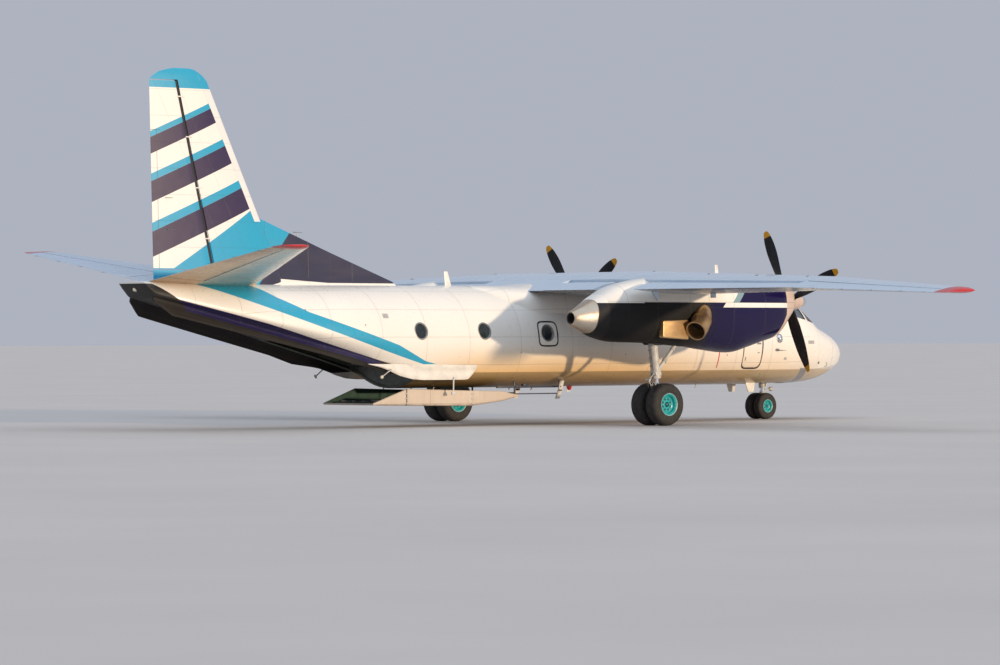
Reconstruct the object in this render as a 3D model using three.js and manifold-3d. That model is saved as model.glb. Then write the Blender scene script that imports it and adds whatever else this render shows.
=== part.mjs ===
// Twin turboprop transport aircraft, parked on its gear, in millimetres.
// +X is the nose, +Y is port, +Z is up, and the origin is on the ground under the middle of the aircraft.
import * as THREE from 'three';
import { mergeVertices } from 'three/addons/utils/BufferGeometryUtils.js';
import Module from 'manifold-3d';

const wasm = await Module();
wasm.setup();

// Driving dimensions
const fit = 0.3;
const seat = 0.7;
const bodyRadius = 1450;
const bodyAxisZ = 2030;
const bodyTopZ = bodyAxisZ + bodyRadius;
const creaseZ = 1330;
const creaseHalfWidth = 1270;
const bellyZ = 940;
const bodyWall = 60;
const rearWall = 35;
const tailWall = 24;
const controlWall = 20;

const radomeX = 10900;
const cockpitX = 8000;
const frontJointX = 3600;
const rampSillX = -4000;
const tailConeX = -9400;
const tailEndX = -11900;
const rampEndX = -7500;

const floorZ = 1470;
const floorDepth = 70;

const wingIncidence = THREE.MathUtils.degToRad(3);
const wingSweep = Math.tan(THREE.MathUtils.degToRad(9.68));
const outerDroop = Math.tan(THREE.MathUtils.degToRad(2));
const halfSpan = 14600;
const wingKinkY = 2760;
const wingBreakY = 9850;
const wingJointY = 4900;
const rootChord = 3500;
const rootLeadX = 3310;
const rootTrailZ = 3360;
const chordTaper = 0.2031;
const wingCamber = 0.018;

const nacelleY = 3950;
const propAxisZ = 3100;
const propX = 5980;
const propRadius = 1950;
const spinnerRadius = 235;
const cowlRearX = 3420;
const nacelleTailX = -700;

const mainAxle = { x: 1375, z: 525 };
const mainTyre = { radius: 525, width: 385, rim: 265, spacing: 262 };
const noseAxle = { x: 9020, z: 350 };
const noseTyre = { radius: 350, width: 240, rim: 165, spacing: 165 };
const steerX = 9080;

const sparFraction = 0.725;
const flapFraction = 0.74;
const aileronFraction = 0.73;
const rudderFraction = 0.56;
const elevatorFraction = 0.62;
const hingeGap = 9;

// Materials
function paint(hex, roughness, metalness) {
  return new THREE.MeshStandardMaterial({ color: hex, roughness, metalness });
}
const materials = {
  cream: paint(0xe9dcc8, 0.35, 0.1),
  wingWhite: paint(0xd9dde0, 0.35, 0.1),
  navy: paint(0x1c1f4a, 0.25, 0.1),
  dark: paint(0x2a2725, 0.5, 0.1),
  metal: paint(0xb59a78, 0.35, 0.9),
  blade: paint(0x17171a, 0.45, 0.2),
  glass: paint(0x2b3a44, 0.08, 0),
  deck: paint(0x8d9482, 0.7, 0.2),
  strut: paint(0xcfc8ba, 0.4, 0.4),
  tyre: paint(0x1d1b1c, 0.85, 0),
  seat: paint(0x4b4436, 0.8, 0),
  engine: paint(0x6e6f70, 0.5, 0.7),
};

// Solids and their geometry
function solidOf(geometry) {
  const bare = geometry.clone();
  for (const name of ['normal', 'uv']) {
    bare.deleteAttribute(name);
  }
  const merged = mergeVertices(bare, 1e-3);
  return new wasm.Manifold(new wasm.Mesh({
    numProp: 3,
    vertProperties: new Float32Array(merged.attributes.position.array),
    triVerts: new Uint32Array(merged.index.array),
  }));
}

function geometryOf(solid) {
  const mesh = solid.getMesh();
  const geometry = new THREE.BufferGeometry();
  geometry.setAttribute('position', new THREE.BufferAttribute(new Float32Array(mesh.vertProperties), 3));
  geometry.setIndex(new THREE.BufferAttribute(new Uint32Array(mesh.triVerts), 1));
  return geometry;
}

function join(first, ...others) {
  return geometryOf(others.reduce((sum, other) => sum.add(solidOf(other)), solidOf(first)));
}

function cut(first, ...others) {
  return geometryOf(others.reduce((rest, other) => rest.subtract(solidOf(other)), solidOf(first)));
}

function common(first, ...others) {
  return geometryOf(others.reduce((rest, other) => rest.intersect(solidOf(other)), solidOf(first)));
}

function signedVolume(points, faces) {
  return faces.reduce((sum, [a, b, c]) => {
    const turned = new THREE.Vector3().crossVectors(points[b], points[c]);
    return sum + points[a].dot(turned) / 6;
  }, 0);
}

function closedMesh(points, faces) {
  const outward = signedVolume(points, faces) > 0;
  const geometry = new THREE.BufferGeometry();
  geometry.setFromPoints(points);
  geometry.setIndex(faces.flatMap(([a, b, c]) => (outward ? [a, b, c] : [a, c, b])));
  return geometry;
}

// Quads between two rings, with diagonals that mirror from one half of the ring to the other
function sideFaces(start, next, count) {
  const faces = [];
  for (let i = 0; i < count; i += 1) {
    const j = (i + 1) % count;
    if (i < count / 2) {
      faces.push([start + i, start + j, next + j], [start + i, next + j, next + i]);
    } else {
      faces.push([start + i, start + j, next + i], [start + j, next + j, next + i]);
    }
  }
  return faces;
}

function flipped(faces) {
  return faces.map(([a, b, c]) => [a, c, b]);
}

function capFaces(ring, start) {
  const size = new THREE.Box3().setFromPoints(ring).getSize(new THREE.Vector3());
  const flat = ['x', 'y', 'z'].reduce((least, axis) => (size[axis] < size[least] ? axis : least), 'x');
  const [across, up] = ['x', 'y', 'z'].filter((axis) => axis !== flat);
  const outline = ring.map((point) => new THREE.Vector2(point[across], point[up]));
  const turn = Math.sign(THREE.ShapeUtils.area(outline));
  return THREE.ShapeUtils.triangulateShape(outline, []).map(([a, b, c]) => {
    const facing = Math.sign(THREE.ShapeUtils.area([outline[a], outline[b], outline[c]]));
    return facing === turn ? [start + a, start + b, start + c] : [start + a, start + c, start + b];
  });
}

// A solid skinned over rings of equal point count, closed by a flat cap at each end
function loft(rings) {
  const count = rings[0].length;
  const faces = flipped(capFaces(rings[0], 0));
  for (let i = 0; i + 1 < rings.length; i += 1) {
    faces.push(...sideFaces(i * count, (i + 1) * count, count));
  }
  const last = (rings.length - 1) * count;
  faces.push(...capFaces(rings[rings.length - 1], last));
  return closedMesh(rings.flat(), faces);
}

// A tube with open ends between outer rings and inner rings
function tube(outer, inner) {
  const count = outer[0].length;
  const offset = outer.length * count;
  const faces = [];
  for (let i = 0; i + 1 < outer.length; i += 1) {
    faces.push(...sideFaces(i * count, (i + 1) * count, count));
    faces.push(...flipped(sideFaces(offset + i * count, offset + (i + 1) * count, count)));
  }
  const last = offset - count;
  faces.push(...sideFaces(offset, 0, count));
  faces.push(...sideFaces(last, offset + last, count));
  return closedMesh([...outer.flat(), ...inner.flat()], faces);
}

function mirrored(geometry) {
  const copy = geometry.clone().scale(1, -1, 1);
  const index = copy.index.array;
  for (let i = 0; i < index.length; i += 3) {
    [index[i], index[i + 1]] = [index[i + 1], index[i]];
  }
  return copy;
}

function box(low, high) {
  const size = high.map((value, i) => value - low[i]);
  return new THREE.BoxGeometry(...size).translate(...low.map((value, i) => value + size[i] / 2));
}

// A round bar from one point to another, its end radii given, as a 12-sided solid
function bar(from, to, radius, endRadius = radius, sides = 12) {
  const start = new THREE.Vector3(...from);
  const end = new THREE.Vector3(...to);
  const along = end.clone().sub(start);
  const geometry = new THREE.CylinderGeometry(endRadius, radius, along.length(), sides);
  const turn = new THREE.Quaternion().setFromUnitVectors(new THREE.Vector3(0, 1, 0), along.normalize());
  return geometry.applyQuaternion(turn).translate(...start.add(end).multiplyScalar(0.5).toArray());
}

// Side outlines run in X and Z and are extruded over Y
function sidePrism(outline, lowY, highY) {
  return loft([lowY, highY].map((y) => outline.map(([x, z]) => new THREE.Vector3(x, y, z))));
}

// Front outlines run in Y and Z and are extruded over X
function frontPrism(outline, lowX, highX) {
  return loft([lowX, highX].map((x) => outline.map(([y, z]) => new THREE.Vector3(x, y, z))));
}

// Plan outlines run in X and Y and are extruded over Z
function planPrism(outline, lowZ, highZ) {
  return loft([lowZ, highZ].map((z) => outline.map(([x, y]) => new THREE.Vector3(x, y, z))));
}

// Fuselage sections: station x, top, middle z, half width, crease half width, crease z, belly z
const bodyStations = [
  [11900, 1760, 1700, 70, 60, 1670, 1640],
  [11820, 1905, 1715, 235, 200, 1600, 1500],
  [11600, 2110, 1760, 450, 390, 1500, 1330],
  [11250, 2300, 1820, 680, 600, 1440, 1170],
  [10900, 2430, 1870, 860, 760, 1400, 1060],
  [10450, 2600, 1930, 1050, 930, 1365, 990],
  [9900, 3050, 1980, 1230, 1090, 1340, 955],
  [9400, 3340, 2010, 1350, 1190, 1332, 942],
  [8700, 3460, 2025, 1430, 1255, 1330, 940],
  [8000, bodyTopZ, bodyAxisZ, bodyRadius, creaseHalfWidth, creaseZ, bellyZ],
  [-4000, bodyTopZ, bodyAxisZ, bodyRadius, creaseHalfWidth, creaseZ, bellyZ],
  [-5400, 3480, 2130, 1435, 1124, 1663, 1590],
  [-7500, 3480, 2400, 1290, 906, 2163, 2110],
  [-9400, 3490, 2760, 1010, 708, 2615, 2565],
  [-10900, 3520, 3080, 720, 552, 2972, 2930],
  [-11500, 3530, 3220, 590, 440, 3110, 3075],
  [-11620, 3530, 3260, 570, 420, 3140, 3105],
  [-11770, 3525, 3370, 540, 400, 3310, 3290],
  [-11900, 3515, 3490, 500, 380, 3470, 3460],
];

function neighbours(stations, x) {
  const next = Math.max(1, stations.findIndex(([station]) => station <= x));
  const [ahead, behind] = [stations[next - 1], stations[next]];
  return { ahead, behind, share: (ahead[0] - x) / (ahead[0] - behind[0]) };
}

function between(stations, x) {
  const { ahead, behind, share } = neighbours(stations, x);
  return ahead.map((value, i) => THREE.MathUtils.lerp(value, behind[i], share));
}

// Half of a body section, from the top down the port side to the keel
function bodyHalfRing(station, inset) {
  const [, top, middle, wide, creaseWide, crease, belly] = station;
  const [w, wk] = [wide - inset, creaseWide - 0.85 * inset];
  const [topZ, creaseAt, bellyAt] = [top - inset, crease + 0.5 * inset, belly + inset];
  const drop = middle - creaseAt;
  const depth = drop / Math.sqrt(1 - (wk / w) ** 2);
  const points = [];
  for (let i = 0; i <= 8; i += 1) {
    const angle = (Math.PI / 2) * (1 - i / 8);
    points.push([w * Math.cos(angle), middle + (topZ - middle) * Math.sin(angle)]);
  }
  for (let i = 1; i <= 3; i += 1) {
    const z = drop * (i / 3);
    points.push([w * Math.sqrt(1 - (z / depth) ** 2), middle - z]);
  }
  for (let i = 1; i <= 3; i += 1) {
    const y = wk * (1 - i / 3);
    points.push([y, bellyAt + (creaseAt - bellyAt) * (y / wk) ** 2]);
  }
  return points;
}

function bodyRing(x, inset) {
  const { ahead, behind, share } = neighbours(bodyStations, x);
  const far = bodyHalfRing(behind, inset);
  const near = bodyHalfRing(ahead, inset);
  const half = near.map((point, i) => point.map((value, k) => THREE.MathUtils.lerp(value, far[i][k], share)));
  const other = half.slice(1, -1).reverse().map(([y, z]) => [-y, z]);
  return [...half, ...other].map(([y, z]) => new THREE.Vector3(x, y, z));
}

function stationsBetween(highX, lowX) {
  const inside = bodyStations.map(([x]) => x).filter((x) => x < highX && x > lowX);
  return [highX, ...inside, lowX];
}

function bodyBlock(highX, lowX, inset = 0) {
  return loft(stationsBetween(highX, lowX).map((x) => bodyRing(x, inset)));
}

function bodyTube(highX, lowX, wall) {
  const stations = stationsBetween(highX, lowX);
  return tube(stations.map((x) => bodyRing(x, 0)), stations.map((x) => bodyRing(x, wall)));
}

// Lifting surfaces: span place, leading edge x, leading edge height or side, chord, thickness
function wingTable() {
  const at = (y, thickness) => {
    const out = Math.max(0, y - wingKinkY);
    const chord = rootChord - chordTaper * out;
    const trailZ = rootTrailZ - outerDroop * Math.max(0, y - wingBreakY);
    const lead = rootLeadX - wingSweep * out;
    return { span: y, lead, rise: trailZ + chord * Math.sin(wingIncidence), chord, thickness };
  };
  const tip = at(halfSpan, 40);
  return [at(-10, 620), at(wingKinkY, 620), at(wingBreakY, 330), at(14400, 150),
    { ...tip, lead: tip.lead - 70, chord: tip.chord - 170 }];
}

const tailplaneTable = [
  { span: 0, lead: -8186, rise: 3505, chord: 3314, thickness: 300 },
  { span: 4800, lead: -10461, rise: 4263, chord: 1039, thickness: 92 },
  { span: 4985, lead: -10640, rise: 4293, chord: 760, thickness: 30 },
];

const finTable = [
  { span: 3250, lead: -7197, rise: 0, chord: 4042, thickness: 380 },
  { span: 8300, lead: -9671, rise: 0, chord: 1700, thickness: 165 },
  { span: 8480, lead: -9900, rise: 0, chord: 1180, thickness: 100 },
  { span: 8575, lead: -10180, rise: 0, chord: 460, thickness: 24 },
];

// How each kind of surface lies: where a point at a span place, run aft and height off the chord goes
const layWing = (span, aft, off, station) => new THREE.Vector3(
  station.lead - aft * Math.cos(wingIncidence) - off * Math.sin(wingIncidence),
  span,
  station.rise - aft * Math.sin(wingIncidence) + off * Math.cos(wingIncidence),
);
const layTailplane = (span, aft, off, { lead, rise }) => new THREE.Vector3(lead - aft, span, rise + off);
const layFin = (span, aft, off, { lead }) => new THREE.Vector3(lead - aft, off, span);

const wing = { table: wingTable(), lay: layWing, camber: wingCamber };
const tailplane = { table: tailplaneTable, lay: layTailplane, camber: 0 };
const fin = { table: finTable, lay: layFin, camber: 0 };

function stationAt(surface, span) {
  const next = Math.max(1, surface.table.findIndex((station) => station.span >= span));
  const [a, b] = [surface.table[next - 1], surface.table[next]];
  const share = (span - a.span) / (b.span - a.span);
  const mix = (key) => THREE.MathUtils.lerp(a[key], b[key], share);
  return { span, lead: mix('lead'), rise: mix('rise'), chord: mix('chord'), thickness: mix('thickness') };
}

// Half thickness of the section at a fraction of its chord, as a share of the full thickness
function halfThickness(u) {
  return 5 * (0.2969 * Math.sqrt(u) - 0.126 * u - 0.3516 * u ** 2 + 0.2843 * u ** 3 - 0.1015 * u ** 4);
}

function offChord(surface, station, u, side) {
  const camber = 4 * surface.camber * station.chord * u * (1 - u);
  return camber + side * station.thickness * halfThickness(u);
}

function surfacePoint(surface, station, u, side, grow = 0) {
  const aft = u * station.chord;
  return surface.lay(station.span, aft, offChord(surface, station, u, side) + side * grow, station);
}

const sectionSteps = [0.015, 0.06, 0.15, 0.3, 0.5, 0.72, 0.88, 1];

function wholeRing(surface, span, grow = 0) {
  const station = stationAt(surface, span);
  const nose = surface.lay(span, -grow, 0, station);
  const top = sectionSteps.map((u) => surfacePoint(surface, station, u, 1, grow));
  const bottom = sectionSteps.map((u) => surfacePoint(surface, station, u, -1, grow)).reverse();
  return [nose, ...top, ...bottom];
}

function spansBetween(surface, low, high) {
  const inside = surface.table.map(({ span }) => span).filter((span) => span > low && span < high);
  return [low, ...inside, high];
}

function wholeSurface(surface, low, high, grow = 0) {
  return loft(spansBetween(surface, low, high).map((span) => wholeRing(surface, span, grow)));
}

// The hinge point of a section and the nose radius about it
function hingeOf(surface, station, fraction) {
  const top = offChord(surface, station, fraction, 1);
  const bottom = offChord(surface, station, fraction, -1);
  return { aft: fraction * station.chord, off: (top + bottom) / 2, radius: (top - bottom) / 2 };
}

function noseArc(surface, station, hinge, radius, reach, steps) {
  const points = [];
  for (let i = 0; i <= steps; i += 1) {
    const angle = THREE.MathUtils.lerp(reach, -reach, i / steps);
    const aft = hinge.aft - radius * Math.cos(angle);
    points.push(surface.lay(station.span, aft, hinge.off + radius * Math.sin(angle), station));
  }
  return points;
}

// Hinge pins stand in the ends of a control surface, on the line through its hinge points.
// A surface whose hinge line leans against its end faces has a wider gap at the end it leans into.
const pinRadius = 10;
const pinReach = 45;
const pinSeat = 30;

// The radius of a 12-sided bore that a 12-sided shaft turns in
function boreFor(radius) {
  return (radius + fit) / Math.cos(Math.PI / 12);
}

function hingePins(surface, { low, high, gaps }, fraction, radius = pinRadius, reach = pinReach) {
  const [inner, outer] = [low, high].map((span) => {
    const station = stationAt(surface, span);
    const { aft, off } = hingeOf(surface, station, fraction);
    return surface.lay(span, aft, off, station);
  });
  const along = outer.clone().sub(inner).normalize();
  return [[inner, -1, gaps[0]], [outer, 1, gaps[1]]].map(([point, way, gap]) => {
    const fixedEnd = point.clone().addScaledVector(along, way * (gap + pinSeat));
    const freeEnd = point.clone().addScaledVector(along, -way * reach);
    return bar(fixedEnd.toArray(), freeEnd.toArray(), radius);
  });
}

// A control surface turns about its round nose
function controlRing(surface, span, fraction) {
  const station = stationAt(surface, span);
  const hinge = hingeOf(surface, station, fraction);
  const arc = noseArc(surface, station, hinge, hinge.radius, Math.PI / 2, 6);
  const aftSteps = [0.35, 0.7, 1].map((share) => THREE.MathUtils.lerp(fraction, 1, share));
  const bottom = aftSteps.map((u) => surfacePoint(surface, station, u, -1));
  const top = aftSteps.map((u) => surfacePoint(surface, station, u, 1)).reverse();
  return [...arc, ...bottom, ...top];
}

function controlSurface(surface, spans, fraction) {
  const whole = loft([spans.low, spans.high].map((span) => controlRing(surface, span, fraction)));
  const bores = hingePins(surface, spans, fraction, boreFor(pinRadius), pinReach + 5);
  return cut(whole, ...bores);
}

// Tail controls are light shells, open at the end by the fuselage
function lightControl(surface, spans, fraction) {
  const deep = THREE.MathUtils.lerp(spans.low, spans.high, 0.6);
  const inside = hollow(surface, spans.low - 20, deep, fraction + 0.03, 0.84, controlWall);
  return cut(controlSurface(surface, spans, fraction), inside);
}

// The bay that a control surface turns in: a hollow round its nose, open aft, with lips short of the hinge
function bayRing(surface, span, fraction, lipAngle) {
  const station = stationAt(surface, span);
  const hinge = hingeOf(surface, station, fraction);
  const reach = Math.PI / 2 - lipAngle;
  const arc = noseArc(surface, station, hinge, hinge.radius + hingeGap, reach, 5);
  const lip = hinge.aft - (hinge.radius + hingeGap) * Math.cos(reach);
  const high = hinge.radius + 600;
  const far = station.chord + 300;
  const corners = [[lip, -high], [far, -high], [far, high], [lip, high]];
  return [...arc, ...corners.map(([aft, off]) => surface.lay(span, aft, off, station))];
}

function bay(surface, { low, high, gaps }, fraction, lipAngle) {
  return loft([low - gaps[0], high + gaps[1]].map((span) => bayRing(surface, span, fraction, lipAngle)));
}

// The space behind a straight rear spar
function spaceBehind(surface, low, high, fraction) {
  return loft(spansBetween(surface, low, high).map((span) => {
    const station = stationAt(surface, span);
    const corners = [[fraction * station.chord, -700], [station.chord + 300, -700],
      [station.chord + 300, 700], [fraction * station.chord, 700]];
    return corners.map(([aft, off]) => surface.lay(span, aft, off, station));
  }));
}

// A hollow inside a surface, open through its root end
function hollow(surface, low, high, from, to, wall) {
  return loft([low, high].map((span) => {
    const station = stationAt(surface, span);
    const steps = [0, 1 / 3, 2 / 3, 1].map((share) => THREE.MathUtils.lerp(from, to, share));
    const top = steps.map((u) => surfacePoint(surface, station, u, 1, -wall));
    const bottom = steps.map((u) => surfacePoint(surface, station, u, -1, -wall)).reverse();
    return [...top, ...bottom];
  }));
}

// Slotted flap behind the rear spar, its nose round and lower at the front
const flapSteps = [[0.012, -70], [0.05, -15], [0.12, 0], [0.2, 0], [1 - flapFraction, 0]];

function flapRing(span) {
  const station = stationAt(wing, span);
  const nose = surfacePoint(wing, station, flapFraction, -1, -40);
  const top = flapSteps.map(([step, drop]) => surfacePoint(wing, station, flapFraction + step, 1, drop));
  const bottom = flapSteps.map(([step]) => surfacePoint(wing, station, flapFraction + step, -1)).reverse();
  return [nose, ...top, ...bottom];
}

// The flap's pivot lies under its nose
const pivotFraction = 0.745;
const pivotDrop = 0.09;

function flapPivot(span) {
  const station = stationAt(wing, span);
  return layWing(span, pivotFraction * station.chord, -pivotDrop * station.chord, station);
}

// An arm at the flap's end by the nacelle reaches down to a pin in the nacelle's side
const flapArm = { thick: 16, radius: 32 };
const flapPinRadius = 14;

function flapPin({ low, high, armAt }, radius = flapPinRadius, beyond = 0) {
  const [from, to] = [flapPivot(low), flapPivot(high)];
  const along = to.clone().sub(from).normalize();
  const inboard = armAt === high ? to : from;
  const way = armAt === high ? 1 : -1;
  const freeEnd = inboard.clone().addScaledVector(along, -way * (flapArm.thick + beyond));
  const fixedEnd = inboard.clone().addScaledVector(along, way * 90);
  return bar(freeEnd.toArray(), fixedEnd.toArray(), radius);
}

function flap(spans) {
  const { low, high, armAt } = spans;
  const way = armAt === high ? 1 : -1;
  const pivot = flapPivot(armAt);
  const { radius, thick } = flapArm;
  const outline = [[pivot.x - radius, pivot.z], [pivot.x, pivot.z - radius], [pivot.x + radius, pivot.z],
    [pivot.x + 10, pivot.z + 260], [pivot.x - 190, pivot.z + 260], [pivot.x - 190, pivot.z + 190]];
  const arm = sidePrism(outline, armAt - Math.max(0, way) * 2 * thick, armAt + Math.max(0, -way) * 2 * thick);
  const body = loft(spansBetween(wing, low, high).map(flapRing));
  return cut(join(body, arm), flapPin(spans, boreFor(flapPinRadius), 4 * flapArm.thick));
}

// Wing
const innerFlap = { low: 1475, high: 3255, armAt: 3255 };
const outerFlap = { low: 4660, high: 9790, armAt: 4660 };
const flapEndGap = 8;
const aileronSpan = { low: 9870, high: 14200, gaps: [8, 8] };
const aileronLip = THREE.MathUtils.degToRad(34);

function wingPanel(low, high) {
  const panel = cut(
    wholeSurface(wing, low, high),
    spaceBehind(wing, wingJointY - 100, outerFlap.high + 10, sparFraction),
    bay(wing, aileronSpan, aileronFraction, aileronLip),
  );
  return join(panel, ...hingePins(wing, aileronSpan, aileronFraction));
}

// The centre wing keeps its full chord over the fuselage, between the inner flaps
function wingCentre() {
  const behindSpar = spaceBehind(wing, innerFlap.low - flapEndGap, wingJointY + 20, sparFraction);
  const half = cut(wholeSurface(wing, -10, wingJointY), behindSpar);
  return join(half, mirrored(half));
}

function jackPad(x, y, lowZ) {
  return bar([x, y, lowZ], [x, y, lowZ + 120], 70);
}

const jackPadZ = 3160;

function outerWing() {
  return join(wingPanel(wingJointY + fit, halfSpan), jackPad(2000, 5300, jackPadZ));
}

// Tail
const rudderSpan = { low: 3816, high: 8267, gaps: [24, 26] };
const elevatorSpan = { low: 773, high: 4688, gaps: [36, 20] };
const rudderLip = THREE.MathUtils.degToRad(28);
const elevatorLip = THREE.MathUtils.degToRad(33);

function finBox() {
  const panel = cut(
    wholeSurface(fin, 3250, 8575),
    bay(fin, rudderSpan, rudderFraction, rudderLip),
    bodyBlock(rampSillX, tailEndX, -fit),
    hollow(fin, 3200, 7900, 0.03, 0.44, tailWall),
  );
  return join(panel, ...hingePins(fin, rudderSpan, rudderFraction));
}

// Dorsal outline in the middle plane: front foot, rise to the fin's edge, and its rear foot
const dorsalOutline = [[-3730, 3440], [-3900, 3575], [-5870, 4262], [-8240, 5120],
  [-8330, 5080], [-8330, 3300], [-4600, 3300]];
const dorsalHalfWidth = 45;

function dorsalFin() {
  const plate = sidePrism(dorsalOutline, -dorsalHalfWidth, dorsalHalfWidth);
  const root = wholeSurface(fin, 3250, 8300, seat);
  return cut(plate, bodyBlock(-3000, tailEndX, -fit), root);
}

function tailplaneHalf() {
  const panel = cut(
    wholeSurface(tailplane, fit, 4985),
    bay(tailplane, elevatorSpan, elevatorFraction, elevatorLip),
    bodyBlock(rampSillX, tailEndX, -fit),
    wholeSurface(fin, 3250, 8300, seat),
    hollow(tailplane, 20, 3600, 0.05, 0.5, tailWall),
  );
  return join(panel, ...hingePins(tailplane, elevatorSpan, elevatorFraction));
}

// Engine nacelle sections: x, top z, bottom z, half width
const nacelleStations = [
  [5850, 3540, 2690, 420],
  [5700, 3600, 2560, 485],
  [5500, 3640, 2360, 560],
  [5300, 3680, 2180, 605],
  [4800, 3730, 2045, 645],
  [4300, 3760, 1915, 660],
  [3750, 3780, 1800, 665],
  [2900, 3780, 1875, 665],
  [2200, 3760, 1965, 665],
  [800, 3640, 2050, 655],
  [-160, 3470, 2075, 610],
  [-700, 3240, 2170, 520],
  [-1170, 2990, 2340, 330],
  [-1550, 2810, 2500, 160],
];
const nacelleCorner = 2.5;

function nacelleRing([x, top, bottom, wide], inset = 0) {
  const [middle, tall] = [(top + bottom) / 2, (top - bottom) / 2 - inset];
  const points = [];
  for (let i = 0; i < 20; i += 1) {
    const angle = (i / 20) * 2 * Math.PI;
    const [c, s] = [Math.cos(angle), Math.sin(angle)];
    const y = (wide - inset) * Math.sign(c) * Math.abs(c) ** (2 / nacelleCorner);
    const z = tall * Math.sign(s) * Math.abs(s) ** (2 / nacelleCorner);
    points.push(new THREE.Vector3(x, nacelleY + y, middle + z));
  }
  return points;
}

function nacelleRings(highX, lowX, inset = 0) {
  const inside = nacelleStations.map(([x]) => x).filter((x) => x < highX && x > lowX);
  return [highX, ...inside, lowX].map((x) => nacelleRing(between(nacelleStations, x), inset));
}

// The cowling is a shell round the engine, open at the annular intake
const cowlWall = 90;

function cowling() {
  const skin = loft(nacelleRings(5850, cowlRearX));
  const bore = loft(nacelleRings(5850, cowlRearX + 60, cowlWall));
  const mouth = bar([5700, nacelleY, propAxisZ], [5950, nacelleY, propAxisZ], 400, 400, 20);
  return cut(skin, bore, mouth);
}

// What lies over the wing's nose and skin, in the middle plane of the nacelle
const overWingOutline = [[3420, 3543], [3420, 4200], [760, 4200], [760, 3400]];

function nacelleBody() {
  const whole = loft(nacelleRings(cowlRearX - fit, nacelleTailX));
  const overWing = sidePrism(overWingOutline, nacelleY - 900, nacelleY + 900);
  const body = cut(whole, wingOver(seat), overWing);
  return join(body, flapPin(innerFlap), flapPin(outerFlap));
}

// The wing ahead of its rear spar, where the nacelle meets it
function wingOver(grow) {
  const surface = wholeSurface(wing, wingKinkY + 50, wingJointY + 400, grow);
  return cut(surface, spaceBehind(wing, wingKinkY + 40, 6000, sparFraction + grow / rootChord));
}

function nacelleTail() {
  const cone = loft(nacelleRings(nacelleTailX - fit, -1550));
  const inside = loft(nacelleRings(nacelleTailX + 20, -1350, 32));
  const pipe = bar([-1200, nacelleY, 2655], [-1600, nacelleY, 2655], 120);
  return cut(cone, inside, pipe);
}

const engineBlock = { rear: cowlRearX + 60 + fit, front: 5450, halfWidth: 340, low: 2620, high: 3390 };

function engine() {
  const core = box(
    [engineBlock.rear, nacelleY - engineBlock.halfWidth, engineBlock.low],
    [engineBlock.front, nacelleY + engineBlock.halfWidth, engineBlock.high],
  );
  const shaftEnd = propX + spinnerProfile[0][1] - fit;
  const gearboxFoot = [engineBlock.front - 50, nacelleY, propAxisZ];
  const gearbox = bar(gearboxFoot, [shaftEnd, nacelleY, propAxisZ], 200, 150);
  return join(core, gearbox);
}

// Exhaust elbow on the outboard side, its route and the radius along it
const exhaustRoute = [
  [2480, 4380, 2860, 190],
  [2360, 4560, 2790, 215],
  [2180, 4720, 2650, 235],
  [1980, 4840, 2470, 245],
  [1760, 4930, 2340, 250],
];
const exhaustWall = 22;
const shieldOutline = [[900, 2180], [1780, 2130], [1780, 2620], [900, 2600]];

function pipeRings(route, shrink) {
  const points = route.map(([x, y, z]) => new THREE.Vector3(x, y, z));
  return route.map(([, , , radius], i) => {
    const ahead = points[Math.min(i + 1, route.length - 1)];
    const behind = points[Math.max(i - 1, 0)];
    const along = ahead.clone().sub(behind).normalize();
    const up = new THREE.Vector3(0, 0, 1).cross(along).normalize();
    const side = along.clone().cross(up);
    const reach = radius - shrink;
    return Array.from({ length: 16 }, (unused, k) => {
      const angle = (k / 16) * 2 * Math.PI;
      const point = points[i].clone().addScaledVector(up, reach * Math.cos(angle));
      return point.addScaledVector(side, reach * Math.sin(angle));
    });
  });
}

function exhaust() {
  const pipe = loft(pipeRings(exhaustRoute, 0));
  const inside = loft(pipeRings([...exhaustRoute.slice(2), [1600, 4995, 2245, 250]], exhaustWall));
  const shield = sidePrism(shieldOutline, nacelleY + 500, nacelleY + 720);
  const nacelleSkin = loft(nacelleRings(cowlRearX, nacelleTailX, -fit));
  return cut(join(pipe, shield), inside, nacelleSkin);
}

// Propeller blade sections: radius, chord, thickness, turn in degrees from the disc at fine pitch
const bladeStations = [
  [150, 170, 120, -46],
  [380, 235, 85, -32],
  [800, 310, 46, -15],
  [1300, 335, 30, 0],
  [1650, 275, 20, 8],
  [1850, 190, 14, 10],
  [propRadius, 80, 8, 11],
];
const bladeOutline = [[-0.5, 0], [-0.3, 0.42], [0, 0.5], [0.3, 0.3],
  [0.5, 0], [0.3, -0.12], [0, -0.2], [-0.3, -0.2]];

function blade(angle) {
  const rings = bladeStations.map(([radius, chord, thickness, pitch]) => {
    const tilt = THREE.MathUtils.degToRad(pitch);
    return bladeOutline.map(([along, across]) => {
      const [run, rise] = [along * chord, across * thickness];
      const x = run * Math.sin(tilt) + rise * Math.cos(tilt);
      const y = -run * Math.cos(tilt) + rise * Math.sin(tilt);
      return new THREE.Vector3(x, y, radius);
    });
  });
  return loft(rings).rotateX(angle);
}

const spinnerProfile = [[0, -160], [spinnerRadius - 40, -160], [spinnerRadius, -90], [spinnerRadius, 60],
  [222, 200], [185, 380], [130, 540], [70, 640], [0, 665]];

function lathe(profile, sides) {
  return new THREE.LatheGeometry(profile.map(([r, h]) => new THREE.Vector2(r, h)), sides);
}

function propeller(sign, phase) {
  const spinner = lathe(spinnerProfile, 16).rotateZ(-Math.PI / 2);
  const blades = [0, 1, 2, 3].map((k) => blade(-phase - k * Math.PI / 2));
  return join(spinner, ...blades).translate(propX, sign * nacelleY, propAxisZ);
}

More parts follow.
